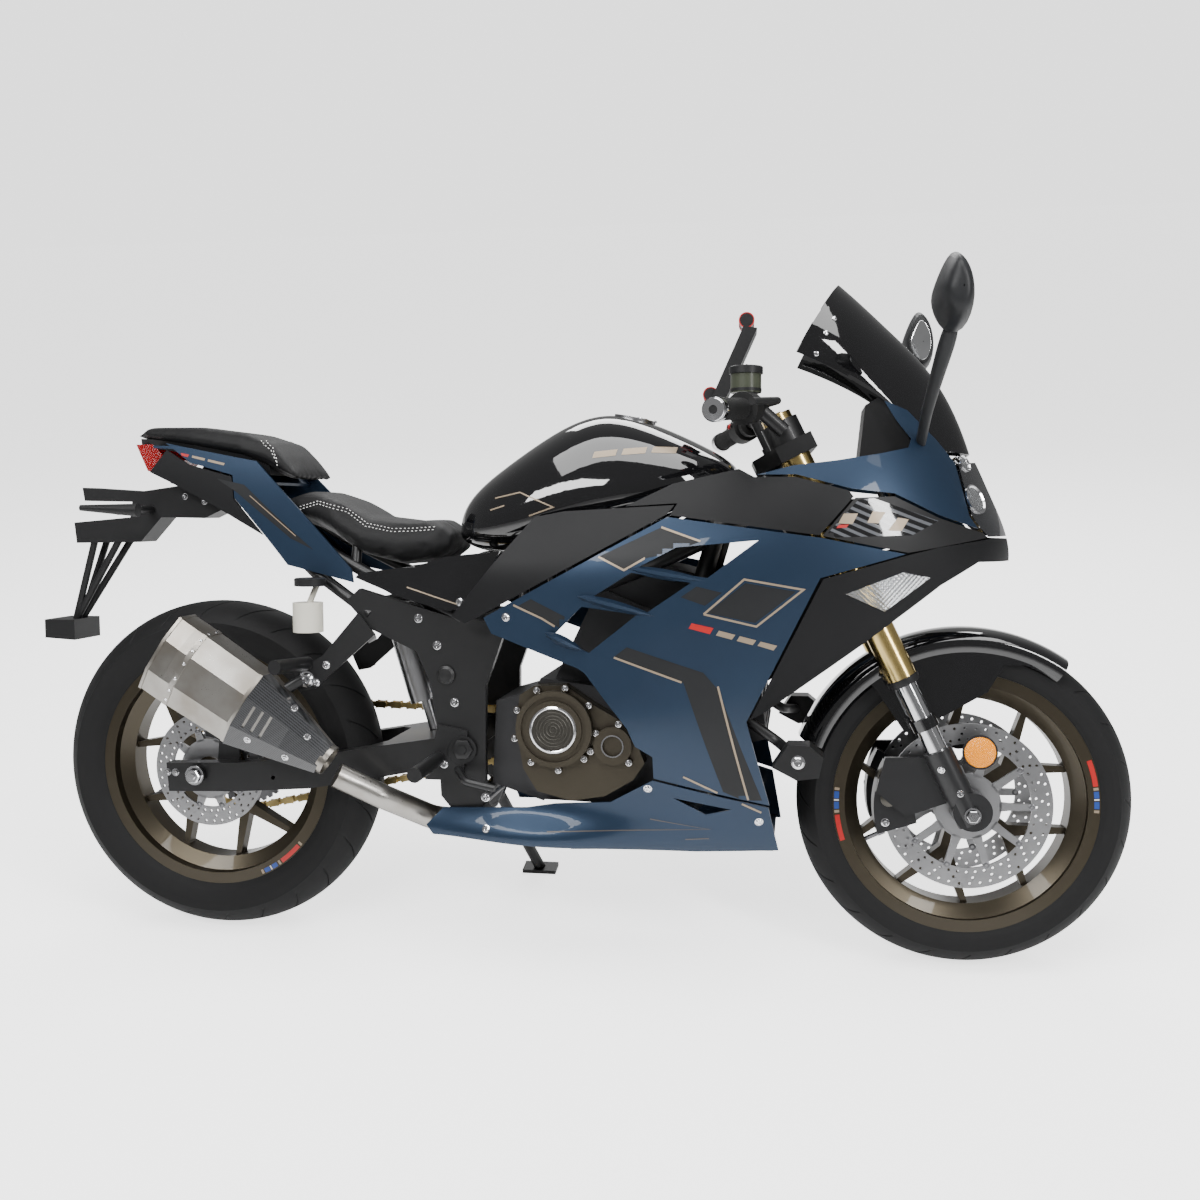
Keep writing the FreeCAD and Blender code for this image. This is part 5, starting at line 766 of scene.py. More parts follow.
class Solid:
    """A mesh put together in millimetres of its own axes."""

    def __init__(self) -> None:
        """Starts empty."""
        self.points: list[Vector] = []
        self.faces: list[tuple[int, ...]] = []

    def add(self, points: Iterable[Vector], faces: Iterable[Sequence[int]]) -> None:
        """Adds points, and faces that count from the first of them."""
        first = len(self.points)
        self.points += [Vector(point) for point in points]
        self.faces += [tuple(first + index for index in face) for face in faces]

    def grid(self, rows: Sequence[Sequence[Vector]], closed: bool = False,
             joined: bool = False) -> None:
        """Adds a sheet through rows of points.

        Args:
            rows: Rows of equal length.
            closed: Whether each row's end meets its start.
            joined: Whether the last row meets the first.
        """
        count = len(rows[0])
        faces = []
        for i in range(len(rows) - (0 if joined else 1)):
            following = (i + 1) % len(rows)
            for j in range(count - (0 if closed else 1)):
                k = (j + 1) % count
                faces.append((i * count + j, i * count + k, following * count + k,
                              following * count + j))
        self.add([point for row in rows for point in row], faces)

    def turned(self, profile: Sequence[Pair], steps: int, axis: Vector = LEFT,
               centre: Vector = Vector()) -> None:
        """Turns a profile about an axis.

        Args:
            profile: Pairs of a radius and a distance along the axis.
            steps: How many faces go round.
            axis: The axis.
            centre: A point on it.
        """
        axis = axis.normalized()
        first = axis.cross(helper(axis)).normalized()
        second = axis.cross(first)
        rows = []
        for step in range(steps):
            angle = math.tau * step / steps
            out = first * math.cos(angle) + second * math.sin(angle)
            rows.append([centre + out * radius + axis * along for radius, along in profile])
        self.grid(rows, joined=True)

    def tube(self, points: Sequence[Vector], radius: float | Sequence[float],
             sides: int = 12) -> None:
        """Adds a capped tube along points.

        Args:
            points: The line's points.
            radius: The tube's radius, or one for each point.
            sides: How many faces go round it.
        """
        wide = radius if isinstance(radius, Sequence) else [radius] * len(points)
        rows = []
        side = None
        for index, point in enumerate(points):
            before = points[max(0, index - 1)]
            after = points[min(len(points) - 1, index + 1)]
            ahead = (after - before).normalized()
            if side is None:
                side = ahead.cross(helper(ahead)).normalized()
            side = (side - ahead * side.dot(ahead)).normalized()
            over = ahead.cross(side)
            rows.append([point + (side * math.cos(math.tau * k / sides)
                                  + over * math.sin(math.tau * k / sides)) * wide[index]
                         for k in range(sides)])
        self.grid(rows, closed=True)
        last = len(self.points)
        self.faces.append(tuple(range(last - sides, last)))
        base = last - sides * len(points)
        self.faces.append(tuple(range(base + sides - 1, base - 1, -1)))

    def bolt(self, place: Vector, axis: Vector, radius: float, height: float) -> None:
        """Adds a dome-headed socket screw.

        Args:
            place: The middle of its seat.
            axis: The way that it faces.
            radius: The head's radius.
            height: The head's height.
        """
        self.turned([(radius * 1.25, 0), (radius * 1.25, height * 0.2), (radius, height * 0.25),
                     (radius * 0.96, height * 0.7), (radius * 0.75, height),
                     (radius * 0.5, height), (radius * 0.45, height * 0.45),
                     (0.001, height * 0.4)], 16, axis, place)

    def build(self, name: str, finish: str, body: Body, matrix: Matrix = BIKE_MATRIX,
              slot: Optional[str] = None, replaces: Sequence[str] = (),
              smooth: float = 32.0) -> bpy.types.Object:
        """Makes the object, gives it its finish and rides it on its body.

        Args:
            name: The piece's name.
            finish: The finish's name.
            body: The body that it rides on.
            matrix: What takes its millimetres to the row's frame.
            slot: The record's slot, if it has one; not used.
            replaces: The nodes that it stands for.
            smooth: The angle, in degrees, up to which edges are shaded smooth.

        Returns:
            The object.
        """
        mesh = bpy.data.meshes.new(name)
        mesh.from_pydata([matrix @ point for point in self.points], [], self.faces)
        shape = bmesh.new()
        shape.from_mesh(mesh)
        bmesh.ops.remove_doubles(shape, verts=shape.verts, dist=0.00001)
        bmesh.ops.dissolve_degenerate(shape, dist=0.000005, edges=shape.edges)
        bmesh.ops.recalc_face_normals(shape, faces=shape.faces)
        shape.to_mesh(mesh)
        shape.free()
        mesh.materials.append(FINISHES.get(finish))
        mesh.shade_smooth()
        mesh.set_sharp_from_angle(angle=math.radians(smooth))
        made = put(name, mesh)
        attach(made, body.value)
        if replaces:
            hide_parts(*replaces)
        return made


class Skin:
    """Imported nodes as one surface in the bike's millimetres, to lay things on."""

    def __init__(self, nodes: Sequence[str]) -> None:
        """Gathers the nodes' faces."""
        points: list[Vector] = []
        faces: list[list[int]] = []
        for node in nodes:
            mesh = frame["nodes"][node].data
            first = len(points)
            points += [BIKE.bike(vertex.co) for vertex in mesh.vertices]
            faces += [[first + index for index in face.vertices] for face in mesh.polygons]
        self.tree = BVHTree.FromPolygons(points, faces)

    def side(self, x: float, z: float, side: int) -> Optional[tuple[Vector, Vector]]:
        """Finds the outer surface beside a point.

        Args:
            x: Distance forward, in millimetres.
            z: Height, in millimetres.
            side: -1 for the right side and 1 for the left.

        Returns:
            The point and the surface's outward direction, or nothing.
        """
        hit = self.tree.ray_cast(Vector((x, 600 * side, z)), Vector((0, -side, 0)))
        if hit[0] is None or hit[0].y * side < 0:
            return None
        normal = hit[1] if hit[1].y * side > 0 else -hit[1]
        return hit[0], normal

    def above(self, x: float, y: float) -> Optional[tuple[Vector, Vector]]:
        """Finds the top of the surface over a point of the ground."""
        hit = self.tree.ray_cast(Vector((x, y, 1600)), Vector((0, 0, -1)))
        if hit[0] is None:
            return None
        return hit[0], hit[1] if hit[1].z > 0 else -hit[1]


@dataclass
class Decal:
    """A thin stripe or patch that lies on panels, on both sides of the bike.

    Shapes are in hundreds of millimetres forward of the rear axle and over the ground.
    """

    name: str
    finish: str
    patches: list[list[Pair]] = field(default_factory=list)
    lines: list[list[Pair]] = field(default_factory=list)
    width: float = 3.4
    proud: float = 0.35
    step: float = 9.0

    def build(self, skin: Skin) -> bpy.types.Object:
        """Lays the shapes on a surface as one piece."""
        solid = Solid()
        for side in (-1, 1):
            for patch in self.patches:
                self.lay_patch(solid, skin, patch, side)
            for line in self.lines:
                self.lay_line(solid, skin, line, side)
        return solid.build(self.name, self.finish, Body.CHASSIS)

    def lay(self, solid: Solid, skin: Skin, shape: bmesh.types.BMesh, side: int) -> None:
        """Presses a flat mesh in X and Z against the surface."""
        places: dict[int, Vector] = {}
        for vertex in shape.verts:
            hit = skin.side(vertex.co.x, vertex.co.z, side)
            if hit is not None:
                places[vertex.index] = hit[0] + hit[1] * self.proud
        order = {index: number for number, index in enumerate(places)}
        faces = []
        for face in shape.faces:
            corners = [vertex.index for vertex in face.verts]
            if all(index in places for index in corners):
                spread = [places[index].y for index in corners]
                if max(spread) - min(spread) < self.step * 1.5:
                    faces.append([order[index] for index in corners])
        solid.add(places.values(), faces)

    def lay_patch(self, solid: Solid, skin: Skin, patch: Sequence[Pair], side: int) -> None:
        """Lays one filled outline."""
        shape = bmesh.new()
        corners = [shape.verts.new(styled(x, z)) for x, z in patch]
        shape.faces.new(corners)
        bmesh.ops.triangulate(shape, faces=shape.faces)
        for axis in (0, 2):
            low = min(vertex.co[axis] for vertex in shape.verts)
            high = max(vertex.co[axis] for vertex in shape.verts)
            place = low + self.step
            while place < high:
                point = [0.0, 0.0, 0.0]
                normal = [0.0, 0.0, 0.0]
                point[axis] = place
                normal[axis] = 1.0
                everything = [*shape.verts, *shape.edges, *shape.faces]
                bmesh.ops.bisect_plane(shape, geom=everything, plane_co=point,
                                       plane_no=normal)
                place += self.step
        shape.verts.index_update()
        self.lay(solid, skin, shape, side)
        shape.free()

    def lay_line(self, solid: Solid, skin: Skin, line: Sequence[Pair], side: int) -> None:
        """Lays one stripe of even width along a line."""
        points = [styled(x, z) for x, z in line]
        half = self.width / 2
        rows: list[tuple[Vector, Vector]] = []
        for index, point in enumerate(points):
            before = (point - points[index - 1]).normalized() if index else None
            after = ((points[index + 1] - point).normalized()
                     if index < len(points) - 1 else None)
            first = before or after
            second = after or before
            middle = (first + second).normalized()
            across = Vector((-middle.z, 0, middle.x))
            spread = half / max(0.35, across.dot(Vector((-first.z, 0, first.x))))
            rows.append((point + across * spread, point - across * spread))
        shape = bmesh.new()
        for (a, b), (c, d) in zip(rows, rows[1:]):
            count = max(1, round((c - a).length / self.step))
            strip = []
            for k in range(count + 1):
                share = k / count
                strip.append((shape.verts.new(a.lerp(c, share)),
                              shape.verts.new(b.lerp(d, share))))
            for (p, q), (r, t) in zip(strip, strip[1:]):
                shape.faces.new((p, q, t, r))
        shape.verts.index_update()
        self.lay(solid, skin, shape, side)
        shape.free()


# Sub-assemblies


@dataclass
class Graphics:
    """The stripes, bands and patches on the bodywork, all of them plain shapes."""

    nodes: tuple[str, ...] = ("side_fairing_right", "side_fairing_left", "nose_lower_panels",
                              "belly_pan", "brow_panels", "tank_side_panels",
                              "shoulder_panels")
    tail_nodes: tuple[str, ...] = ("tail_cowl", "tail_under_panels")

    def build(self) -> None:
        """Lays every shape on the panels."""
        skin = Skin(self.nodes)
        for decal in self.fairing_decals():
            decal.build(skin)
        Decal("brow_gloss", "stripe_gloss",
              [[(11.50, 7.66), (11.76, 7.95), (12.06, 8.28), (12.31, 8.30), (13.38, 7.92),
                (12.94, 7.69)]], step=8.0, proud=0.3).build(skin)
        Decal("brow_blocks", "tan_line",
              [[(11.82, 8.05), (12.05, 8.05), (11.96, 7.88), (11.73, 7.89)],
               [(12.29, 8.09), (12.50, 8.07), (12.38, 7.89), (12.20, 7.90)],
               [(12.70, 7.98), (12.88, 7.95), (12.76, 7.76), (12.54, 7.77)]],
              step=8.0, proud=0.6).build(skin)
        Decal("brow_mark", "red_accent", [[(11.74, 7.865), (11.90, 7.87), (11.86, 7.82),
                                           (11.70, 7.815)]], step=8.0, proud=0.6).build(skin)
        tail = Skin(self.tail_nodes)
        Decal("tail_band", "satin_dark",
              [[(0.46, 8.72), (1.02, 8.60), (1.50, 8.16), (2.05, 7.68), (2.38, 7.41),
                (1.92, 7.62), (0.87, 8.46)]]).build(tail)
        Decal("tail_lines", "tan_line", lines=[[(1.13, 8.40), (2.03, 7.66)]],
              width=1.6, proud=0.6).build(tail)
        Decal("tail_dashes", "red_accent",
              [[(-0.30, 9.20), (-0.12, 9.165), (-0.15, 9.12), (-0.27, 9.15)]]).build(tail)
        Decal("tail_dashes_tan", "tan_line",
              [[(-0.05, 9.15), (0.22, 9.09), (0.20, 9.05), (-0.06, 9.11)],
               [(0.28, 9.075), (0.62, 9.0), (0.60, 8.96), (0.27, 9.035)]]).build(tail)
        tank = Skin(("fuel_tank",))
        Decal("tank_lines", "tan_line",
              lines=[[(5.78, 8.33), (6.27, 8.43), (6.90, 8.17), (6.46, 8.02)],
                     [(5.70, 8.12), (5.98, 8.20)]],
              width=2.4).build(tank)
        Decal("tank_dashes", "tan_line",
              [[(7.60, 9.12), (8.00, 9.16), (7.97, 9.05), (7.57, 9.01)],
               [(8.10, 9.17), (8.50, 9.20), (8.47, 9.09), (8.07, 9.06)],
               [(8.60, 9.205), (9.00, 9.20), (8.98, 9.09), (8.57, 9.10)]],
              step=12.0, proud=0.5).build(tank)
        seat_side = Skin(("seat_side_panels",))
        Decal("seat_side_line", "tan_line", lines=[[(4.22, 6.76), (5.14, 6.47)]],
              width=2.2).build(seat_side)
        LOG.info("graphics built")

    def fairing_decals(self) -> list[Decal]:
        """Returns the shapes of the fairing's flanks and the belly."""
        dark = Decal("fairing_bands", "satin_dark",
                     [[(7.79, 7.34), (8.84, 7.83), (9.50, 7.60), (9.00, 7.40), (8.58, 7.32),
                       (8.23, 7.12)],
                      [(6.40, 6.50), (6.62, 6.62), (7.40, 6.24), (7.80, 6.10), (7.16, 6.12),
                       (6.86, 6.26)],
                      [(8.05, 5.66), (8.27, 5.83), (9.55, 5.42), (9.80, 5.13), (10.10, 4.30),
                       (10.58, 2.98), (9.86, 3.32), (9.22, 5.24)],
                      [(9.62, 6.42), (10.24, 6.92), (11.06, 6.78), (10.40, 6.26)],
                      [(9.18, 6.68), (9.44, 6.86), (9.86, 6.76), (9.58, 6.54)]])
        tan = Decal("fairing_lines", "tan_line",
                    lines=[[(8.84, 7.83), (9.50, 7.60)],
                           [(7.79, 7.34), (8.23, 7.12), (8.58, 7.32), (8.98, 7.14)],
                           [(6.31, 6.51), (6.81, 6.29), (7.34, 5.98)],
                           [(9.56, 6.40), (10.22, 6.98), (11.18, 6.81), (10.42, 6.20),
                            (9.56, 6.40)],
                           [(8.05, 5.65), (9.19, 5.25)],
                           [(9.79, 5.19), (10.28, 3.17)],
                           [(9.19, 3.59), (10.50, 2.93)]], proud=0.6)
        red = Decal("fairing_red_dash", "red_accent",
                    [[(9.31, 6.16), (9.36, 6.25), (9.72, 6.17), (9.66, 6.07)]], proud=0.6)
        row = Decal("fairing_tan_dashes", "tan_line",
                    [[(9.76, 6.05), (9.81, 6.13), (10.08, 6.06), (10.02, 5.98)],
                     [(10.10, 5.96), (10.15, 6.04), (10.42, 5.97), (10.36, 5.89)],
                     [(10.44, 5.88), (10.49, 5.95), (10.76, 5.88), (10.70, 5.80)]],
                    proud=0.6)
        belly = Decal("belly_lines", "faint_tan",
                      lines=[[(6.79, 2.51), (8.24, 2.56), (9.62, 2.60), (8.59, 2.77)],
                             [(9.19, 2.40), (9.60, 2.42)]], width=2.0)
        return [dark, tan, red, row, belly]


@dataclass
class Wheel:
    """One wheel's tyre with its tread, its rim stickers and its valve."""

    name: str
    body: Body
    node: str
    radius: float
    width: float
    bead_width: float
    place: Matrix
    grooves: int
    stickers: tuple[tuple[str, float, float], ...]
    seat: float = 216.3
    flange: float = 230.3
    flange_wall: float = 6.3
    depth: float = 2.6
    slant: float = 0.95
    sticker_radii: tuple[float, ...] = (219.0, 223.0, 227.5)
    valve_angle: float = math.radians(205)

    def build(self) -> None:
        """Builds the wheel's own pieces."""
        self.add_tyre()
        self.add_stickers()
        self.add_valve()
        LOG.info("%s built", self.name)

    def profile(self) -> list[Point]:
        """Returns the tyre's section: radius, place across and tread share."""
        half = self.width / 2
        drop, bend = crown(self.width)
        shoulder = self.radius - drop
        lip = self.bead_width / 2 + self.flange_wall
        reach = math.asin(half / bend)
        right = [(self.seat, self.bead_width / 2 - 0.3, 0.0),
                 (self.flange, self.bead_width / 2 - 0.3, 0.0), (self.flange, lip, 0.0),
                 (self.flange + 3, lip + 1.5, 0.0)]
        steps = 9
        for step in range(1, steps):
            share = step / steps
            radius = self.flange + 3 + (shoulder - self.flange - 3) * share
            swell = math.sin(share * math.pi / 2) ** 0.8
            across = lip + 1.5 + (half - 0.4 - lip - 1.5) * swell
            ring = 0.5 if step in (2, 6) else 0.0
            right.append((radius, across + ring, 0.0))
        count = 15
        for step in range(count):
            angle = reach * (1 - step / count)
            across = bend * math.sin(angle)
            radius = self.radius - bend * (1 - math.cos(angle))
            share = across / half
            tread = 1.0 if 0.10 < share < 0.86 else 0.0
            right.append((radius - 0.1, across, tread))
        left = [(radius, -across, -tread) for radius, across, tread in right]
        return right + [(self.radius - 0.1, 0.0, 0.0)] + left[::-1]

    def add_tyre(self) -> None:
        """Adds the tyre with slanted grooves cut in its tread."""
        stops = (0.0, 0.035, 0.045, 0.085, 0.095, 0.2, 0.3, 0.4)
        cuts = [*stops, *[stop + 0.5 for stop in stops]]
        section = self.profile()
        pitch = math.tau / self.grooves
        rows = []
        for groove in range(self.grooves):
            for cut in cuts:
                row = []
                for radius, across, tread in section:
                    turn = (groove + cut) * pitch + self.slant * abs(across) / self.radius
                    wide = 0.04 < cut < 0.09 if tread > 0 else 0.54 < cut < 0.59
                    deep = self.depth if tread and wide else 0.0
                    row.append(Vector(((radius - deep) * math.cos(turn), across,
                                       (radius - deep) * math.sin(turn))))
                rows.append(row)
        solid = Solid()
        solid.grid(rows, closed=True, joined=True)
        solid.build(f"{self.name}_dressed_tyre", "tyre", self.body, self.place, "tyre",
                    (self.node,), 40.0)

    def band(self, solid: Solid, start: float, sweep: float, side: int) -> None:
        """Adds one sticker on the rim's flange.

        Args:
            solid: The mesh that it goes in.
            start: Its first angle, in degrees.
            sweep: Its angle.
            side: -1 for the right side and 1 for the left.
        """
        face = (self.bead_width / 2 + self.flange_wall + 0.1) * side
        steps = max(3, round(sweep / 2))
        rows = []
        for step in range(steps + 1):
            angle = math.radians(start + sweep * step / steps)
            rows.append([spoke(angle) * radius + LEFT * face
                         for radius in self.sticker_radii])
        solid.grid(rows)

    def add_stickers(self) -> None:
        """Adds the red, blue and tan stickers on both flanges."""
        solids: dict[str, Solid] = {}
        for finish, start, sweep in self.stickers:
            solid = solids.setdefault(finish, Solid())
            for side in (-1, 1):
                self.band(solid, start, sweep, side)
        for finish, solid in solids.items():
            solid.build(f"{self.name}_stickers_{finish}", finish, self.body, self.place)

    def add_valve(self) -> None:
        """Adds the valve's stem and its cap."""
        solid = Solid()
        out = spoke(self.valve_angle)
        solid.tube([out * 186, out * 178, out * 160], 4.0, 10)
        solid.tube([out * 161, out * 148], 5.2, 10)
        solid.build(f"{self.name}_valve", "dark_steel", self.body, self.place)


@dataclass
class DrilledDisc:
    """Brake discs with their holes, in place of the plain ones."""

    name: str
    node: str
    body: Body
    place: Matrix
    radius: float
    offsets: tuple[float, ...]
    track: float = 36.0
    wall: float = 4.5
    hole: float = 2.7
    arms: int = 10

    def build(self) -> None:
        """Builds the drilled tracks on their carriers, then the buttons."""
        solid = Solid()
        for offset in self.offsets:
            self.add_track(solid, offset)
            self.add_carrier(solid, offset)
        solid.build(self.name, "disc_steel", self.body, self.place, "disc_steel",
                    (self.node,), 30.0)
        self.add_buttons()
        LOG.info("%s built", self.name)

    def holes(self) -> list[Pair]:
        """Returns the radius and angle of each hole."""
        found = []
        inner = self.radius - self.track
        count = 24 if self.radius > 120 else 20
        for index in range(count):
            base = math.tau * index / count
            for ring in range(3):
                share = (0.22, 0.5, 0.78)[ring]
                found.append((inner + self.track * share, base + ring * math.tau / count / 3))
                if ring != 1:
                    found.append((inner + self.track * share,
                                  base + (ring + 1.5) * math.tau / count / 3))
        return found

    def add_track(self, solid: Solid, offset: float) -> None:
        """Adds one track, filled round its holes."""
        curve = bpy.data.curves.new("track", "CURVE")
        curve.dimensions = "2D"
        curve.fill_mode = "BOTH"
        curve.extrude = self.wall / 2
        rings = [(0.0, 0.0, self.radius, 120), (0.0, 0.0, self.radius - self.track, 90)]
        rings += [(radius * math.cos(angle), radius * math.sin(angle), self.hole, 9)
                  for radius, angle in self.holes()]
        for x, y, radius, count in rings:
            spline = curve.splines.new("POLY")
            spline.points.add(count - 1)
            spline.use_cyclic_u = True
            for index, point in enumerate(spline.points):
                angle = math.tau * index / count
                point.co = (x + radius * math.cos(angle), y + radius * math.sin(angle), 0, 1)
        holder = bpy.data.objects.new("track", curve)
        mesh = bpy.data.meshes.new_from_object(holder)
        solid.add([Vector((v.co.x, offset + v.co.z, v.co.y)) for v in mesh.vertices],
                  [face.vertices for face in mesh.polygons])
        bpy.data.objects.remove(holder)
        bpy.data.curves.remove(curve)
        bpy.data.meshes.remove(mesh)

    def add_carrier(self, solid: Solid, offset: float) -> None:
        """Adds the carrier's ring and its arms."""
        half = 3.0
        solid.turned([(24.4, offset - half), (58.0, offset - half), (58.0, offset + half),
                      (24.4, offset + half), (24.4, offset - half)], 60)
        inner = self.radius - self.track
        for index in range(self.arms):
            out = spoke(math.tau * index / self.arms)
            side = Vector((-out.z, 0, out.x))
            rows = []
            for radius, wide in ((54.0, 8.5), (70.0, 6.5), (inner + 3, 6.0)):
                base = out * radius + LEFT * offset
                rows.append([base + side * wide * x + LEFT * half * y
                             for x, y in ((1, 1), (-1, 1), (-1, -1), (1, -1))])
            solid.grid(rows, closed=True)

    def add_buttons(self) -> None:
        """Adds the floating buttons between the track and the carrier."""
        solid = Solid()
        inner = self.radius - self.track
        for offset in self.offsets:
            for index in range(self.arms):
                place = spoke(math.tau * index / self.arms) * inner + LEFT * offset
                for side in (-1, 1):
                    solid.turned([(6.0, 0), (6.0, 3.1), (5.0, 3.7), (2.6, 3.7), (2.4, 2.6),
                                  (0.001, 2.6)], 14, LEFT * side, place)
        solid.build(f"{self.name}_buttons", "dark_steel", self.body, self.place)


@dataclass
class SeatPan:
    """The moulded base between the pillion cushion and the tail."""

    rows: tuple[Point, ...] = (
        (-1.36, 0.50, 9.50), (-1.05, 0.72, 9.48), (-0.1, 0.86, 9.35), (0.9, 0.90, 9.16),
        (1.4, 0.88, 8.95))
    drop: float = 17.0

    def build(self) -> None:
        """Builds the base as one tray with its ends closed."""
        solid = Solid()
        rings = []
        for x, half, top in self.rows:
            rings.append([styled(x, top, half * GRID * share) - UP * drop
                          for share, drop in ((1, 0), (-1, 0), (-0.94, self.drop),
                                              (0.94, self.drop))])
        first, last = (sum(ring, Vector()) / 4 for ring in (rings[0], rings[-1]))
        solid.grid([[first] * 4, *rings, [last] * 4], closed=True)
        solid.build("pillion_pan", "dark_plastic", Body.CHASSIS)


@dataclass
class Cushion:
    """A padded seat in place of its plain solid, swollen by cloth and stitched."""

    name: str
    node: str
    rows: list[tuple[float, float, float, float]]
    ring: tuple[Pair, ...] = (
        (0.0, 0.0), (0.55, 0.0), (0.86, 0.05), (1.0, 0.24), (1.0, 0.5), (0.93, 0.74),
        (0.74, 0.92), (0.40, 0.99), (0.0, 1.0))
    voxel: float = 0.0055
    cap: float = 0.006
    fill: float = 0.7
    seams: list[list[Pair]] = field(default_factory=list)
    shrink: float = 3.0
    pressure: float = 4.0
    frames: int = 20
    row_gap: float = 2.6
    stitch_step: float = 3.5
    thread: float = 0.75

    def build(self) -> None:
        """Builds the pad, then lays its stitches on it."""
        pad = self.add_pad()
        self.add_seams(pad)
        LOG.info("%s built", self.name)

    def section(self, x: float, half: float, low: float, high: float) -> list[Vector]:
        """Returns one closed section across the seat."""
        side = [Vector((x, -half * y, low + (high - low) * z)) for y, z in self.ring]
        other = [Vector((point.x, -point.y, point.z)) for point in side[-2:0:-1]]
        return side + other

    def add_pad(self) -> bpy.types.Object:
        """Adds the cushion and lets cloth swell it."""
        solid = Solid()
        rows = [self.section(x * GRID, half * GRID - self.shrink, low * GRID + self.shrink / 2,
                             high * GRID - self.shrink)
                for x, half, low, high in self.rows]
        solid.grid(rows, closed=True)
        count = len(rows[0])
        solid.faces.append(tuple(range(count)))
        last = len(solid.points)
        solid.faces.append(tuple(range(last - 1, last - 1 - count, -1)))
        pad = solid.build(self.name, "seat_cover", Body.CHASSIS, BIKE_MATRIX, "seat_cover",
                          (self.node,), 180.0)
        reshape(pad, "REMESH", mode="VOXEL", voxel_size=self.voxel, use_smooth_shade=True)
        reshape(pad, "SMOOTH", factor=0.5, iterations=4)
        self.swell(pad)
        reshape(pad, "SUBSURF", levels=1, render_levels=1)
        pad.data.shade_smooth()
        return pad

    def swell(self, pad: bpy.types.Object) -> None:
        """Runs the cloth and keeps a capped share of its movement."""
        rest = [vertex.co.copy() for vertex in pad.data.vertices]
        modifier = pad.modifiers.new("swell", "CLOTH")
        modifier.settings.use_pressure = True
        modifier.settings.uniform_pressure_force = self.pressure
        modifier.settings.effector_weights.gravity = 0.0
        modifier.settings.quality = 6
        modifier.point_cache.frame_start = 1
        modifier.point_cache.frame_end = self.frames
        for step in range(1, self.frames + 1):
            bpy.context.scene.frame_set(step)
        graph = bpy.context.evaluated_depsgraph_get()
        moved = pad.evaluated_get(graph).to_mesh()
        places = []
        for before, vertex in zip(rest, moved.vertices):
            shift = vertex.co - before
            if shift.length > self.cap:
                shift *= self.cap / shift.length
            places.append(before + shift)
        pad.evaluated_get(graph).to_mesh_clear()
        pad.modifiers.clear()
        bpy.context.scene.frame_set(1)
        for vertex, place in zip(pad.data.vertices, places):
            vertex.co = place

    def add_seams(self, pad: bpy.types.Object) -> None:
        """Lays two rows of stitches along each seam."""
        points = [BIKE.bike(pad.matrix_world @ vertex.co) for vertex in pad.data.vertices]
        tree = BVHTree.FromPolygons(points, [list(face.vertices)
                                             for face in pad.data.polygons])
        threads = Solid()
        for seam in self.seams:
            for gap in (-self.row_gap, self.row_gap):
                for side in (-1, 1):
                    self.stitch(threads, tree, seam, gap, side)
        threads.build(f"{self.name}_stitches", "thread", Body.CHASSIS)

    def stitch(self, threads: Solid, tree: BVHTree, seam: Sequence[Pair], gap: float,
               side: int) -> None:
        """Adds one row of stitches.

        Args:
            threads: The mesh of threads.
            tree: The cushion's surface.
            seam: Points of the seam seen from the side, on the styling grid.
            gap: How far the row lies from the seam.
            side: -1 for the right side and 1 for the left.
        """
        line = [styled(x, z) + UP * gap for x, z in seam]
        trail: list[Vector] = []
        for start, stop in zip(line, line[1:]):
            count = max(2, round((stop - start).length / self.stitch_step))
            trail += [start.lerp(stop, k / count) for k in range(count)]
        stitches = [trail[k:k + 2] for k in range(0, len(trail) - 2, 2)]
        for first, second in stitches:
            ends = []
            for point in (first, first.lerp(second, 0.75)):
                hit = tree.ray_cast(Vector((point.x, 400 * side, point.z)),
                                    Vector((0, -side, 0)))
                if hit[0] is None:
                    break
                ends.append(hit[0] + hit[1].normalized() * 0.3)
            if len(ends) == 2 and (ends[1] - ends[0]).length < 12:
                middle = (ends[0] + ends[1]) / 2 + Vector((0, side * 0.4, 0))
                threads.tube([ends[0], middle, ends[1]], self.thread, 6)


class Head(Enum):
    """The kinds of screw head."""

    SOCKET = "socket"
    HEX = "hex"
    DOME = "dome"


@dataclass
class Screws:
    """Screws and nuts of one size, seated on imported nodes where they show."""

    name: str
    nodes: tuple[str, ...]
    places: list[Pair]
    radius: float = 5.5
    height: float = 3.6
    head: Head = Head.SOCKET
    finish: str = "chrome"
    body: Body = Body.CHASSIS
    sides: tuple[int, ...] = (-1, 1)
    sink: float = 0.6

    def build(self) -> None:
        """Seats every screw on the surface beside its place."""
        skin = Skin(self.nodes)
        solid = Solid()
        for x, z in self.places:
            for side in self.sides:
                hit = skin.side(x, z, side)
                if hit is not None:
                    self.add_head(solid, hit[0] - hit[1] * self.sink, hit[1])
        if solid.points:
            solid.build(self.name, self.finish, self.body)
            LOG.info("%s built", self.name)

    def add_head(self, solid: Solid, place: Vector, axis: Vector) -> None:
        """Adds one head on its washer.

        Args:
            solid: The mesh that it goes in.
            place: The middle of its seat.
            axis: The way that it faces.
        """
        rise = self.height + self.sink
        wide = self.radius
        if self.head is Head.SOCKET:
            solid.bolt(place, axis, wide, rise)
        elif self.head is Head.HEX:
            solid.turned([(wide * 1.3, 0.0), (wide * 1.3, rise * 0.2), (wide, rise * 0.2)], 36,
                         axis, place)
            solid.turned([(wide, rise * 0.2), (wide, rise * 0.9), (wide * 0.9, rise),
                          (wide * 0.45, rise), (wide * 0.45, rise * 1.25), (0.01, rise * 1.25)],
                         6, axis, place)
        else:
            solid.turned([(wide, 0.0), (wide * 0.97, rise * 0.45), (wide * 0.7, rise * 0.85),
                          (0.01, rise)], 18, axis, place)


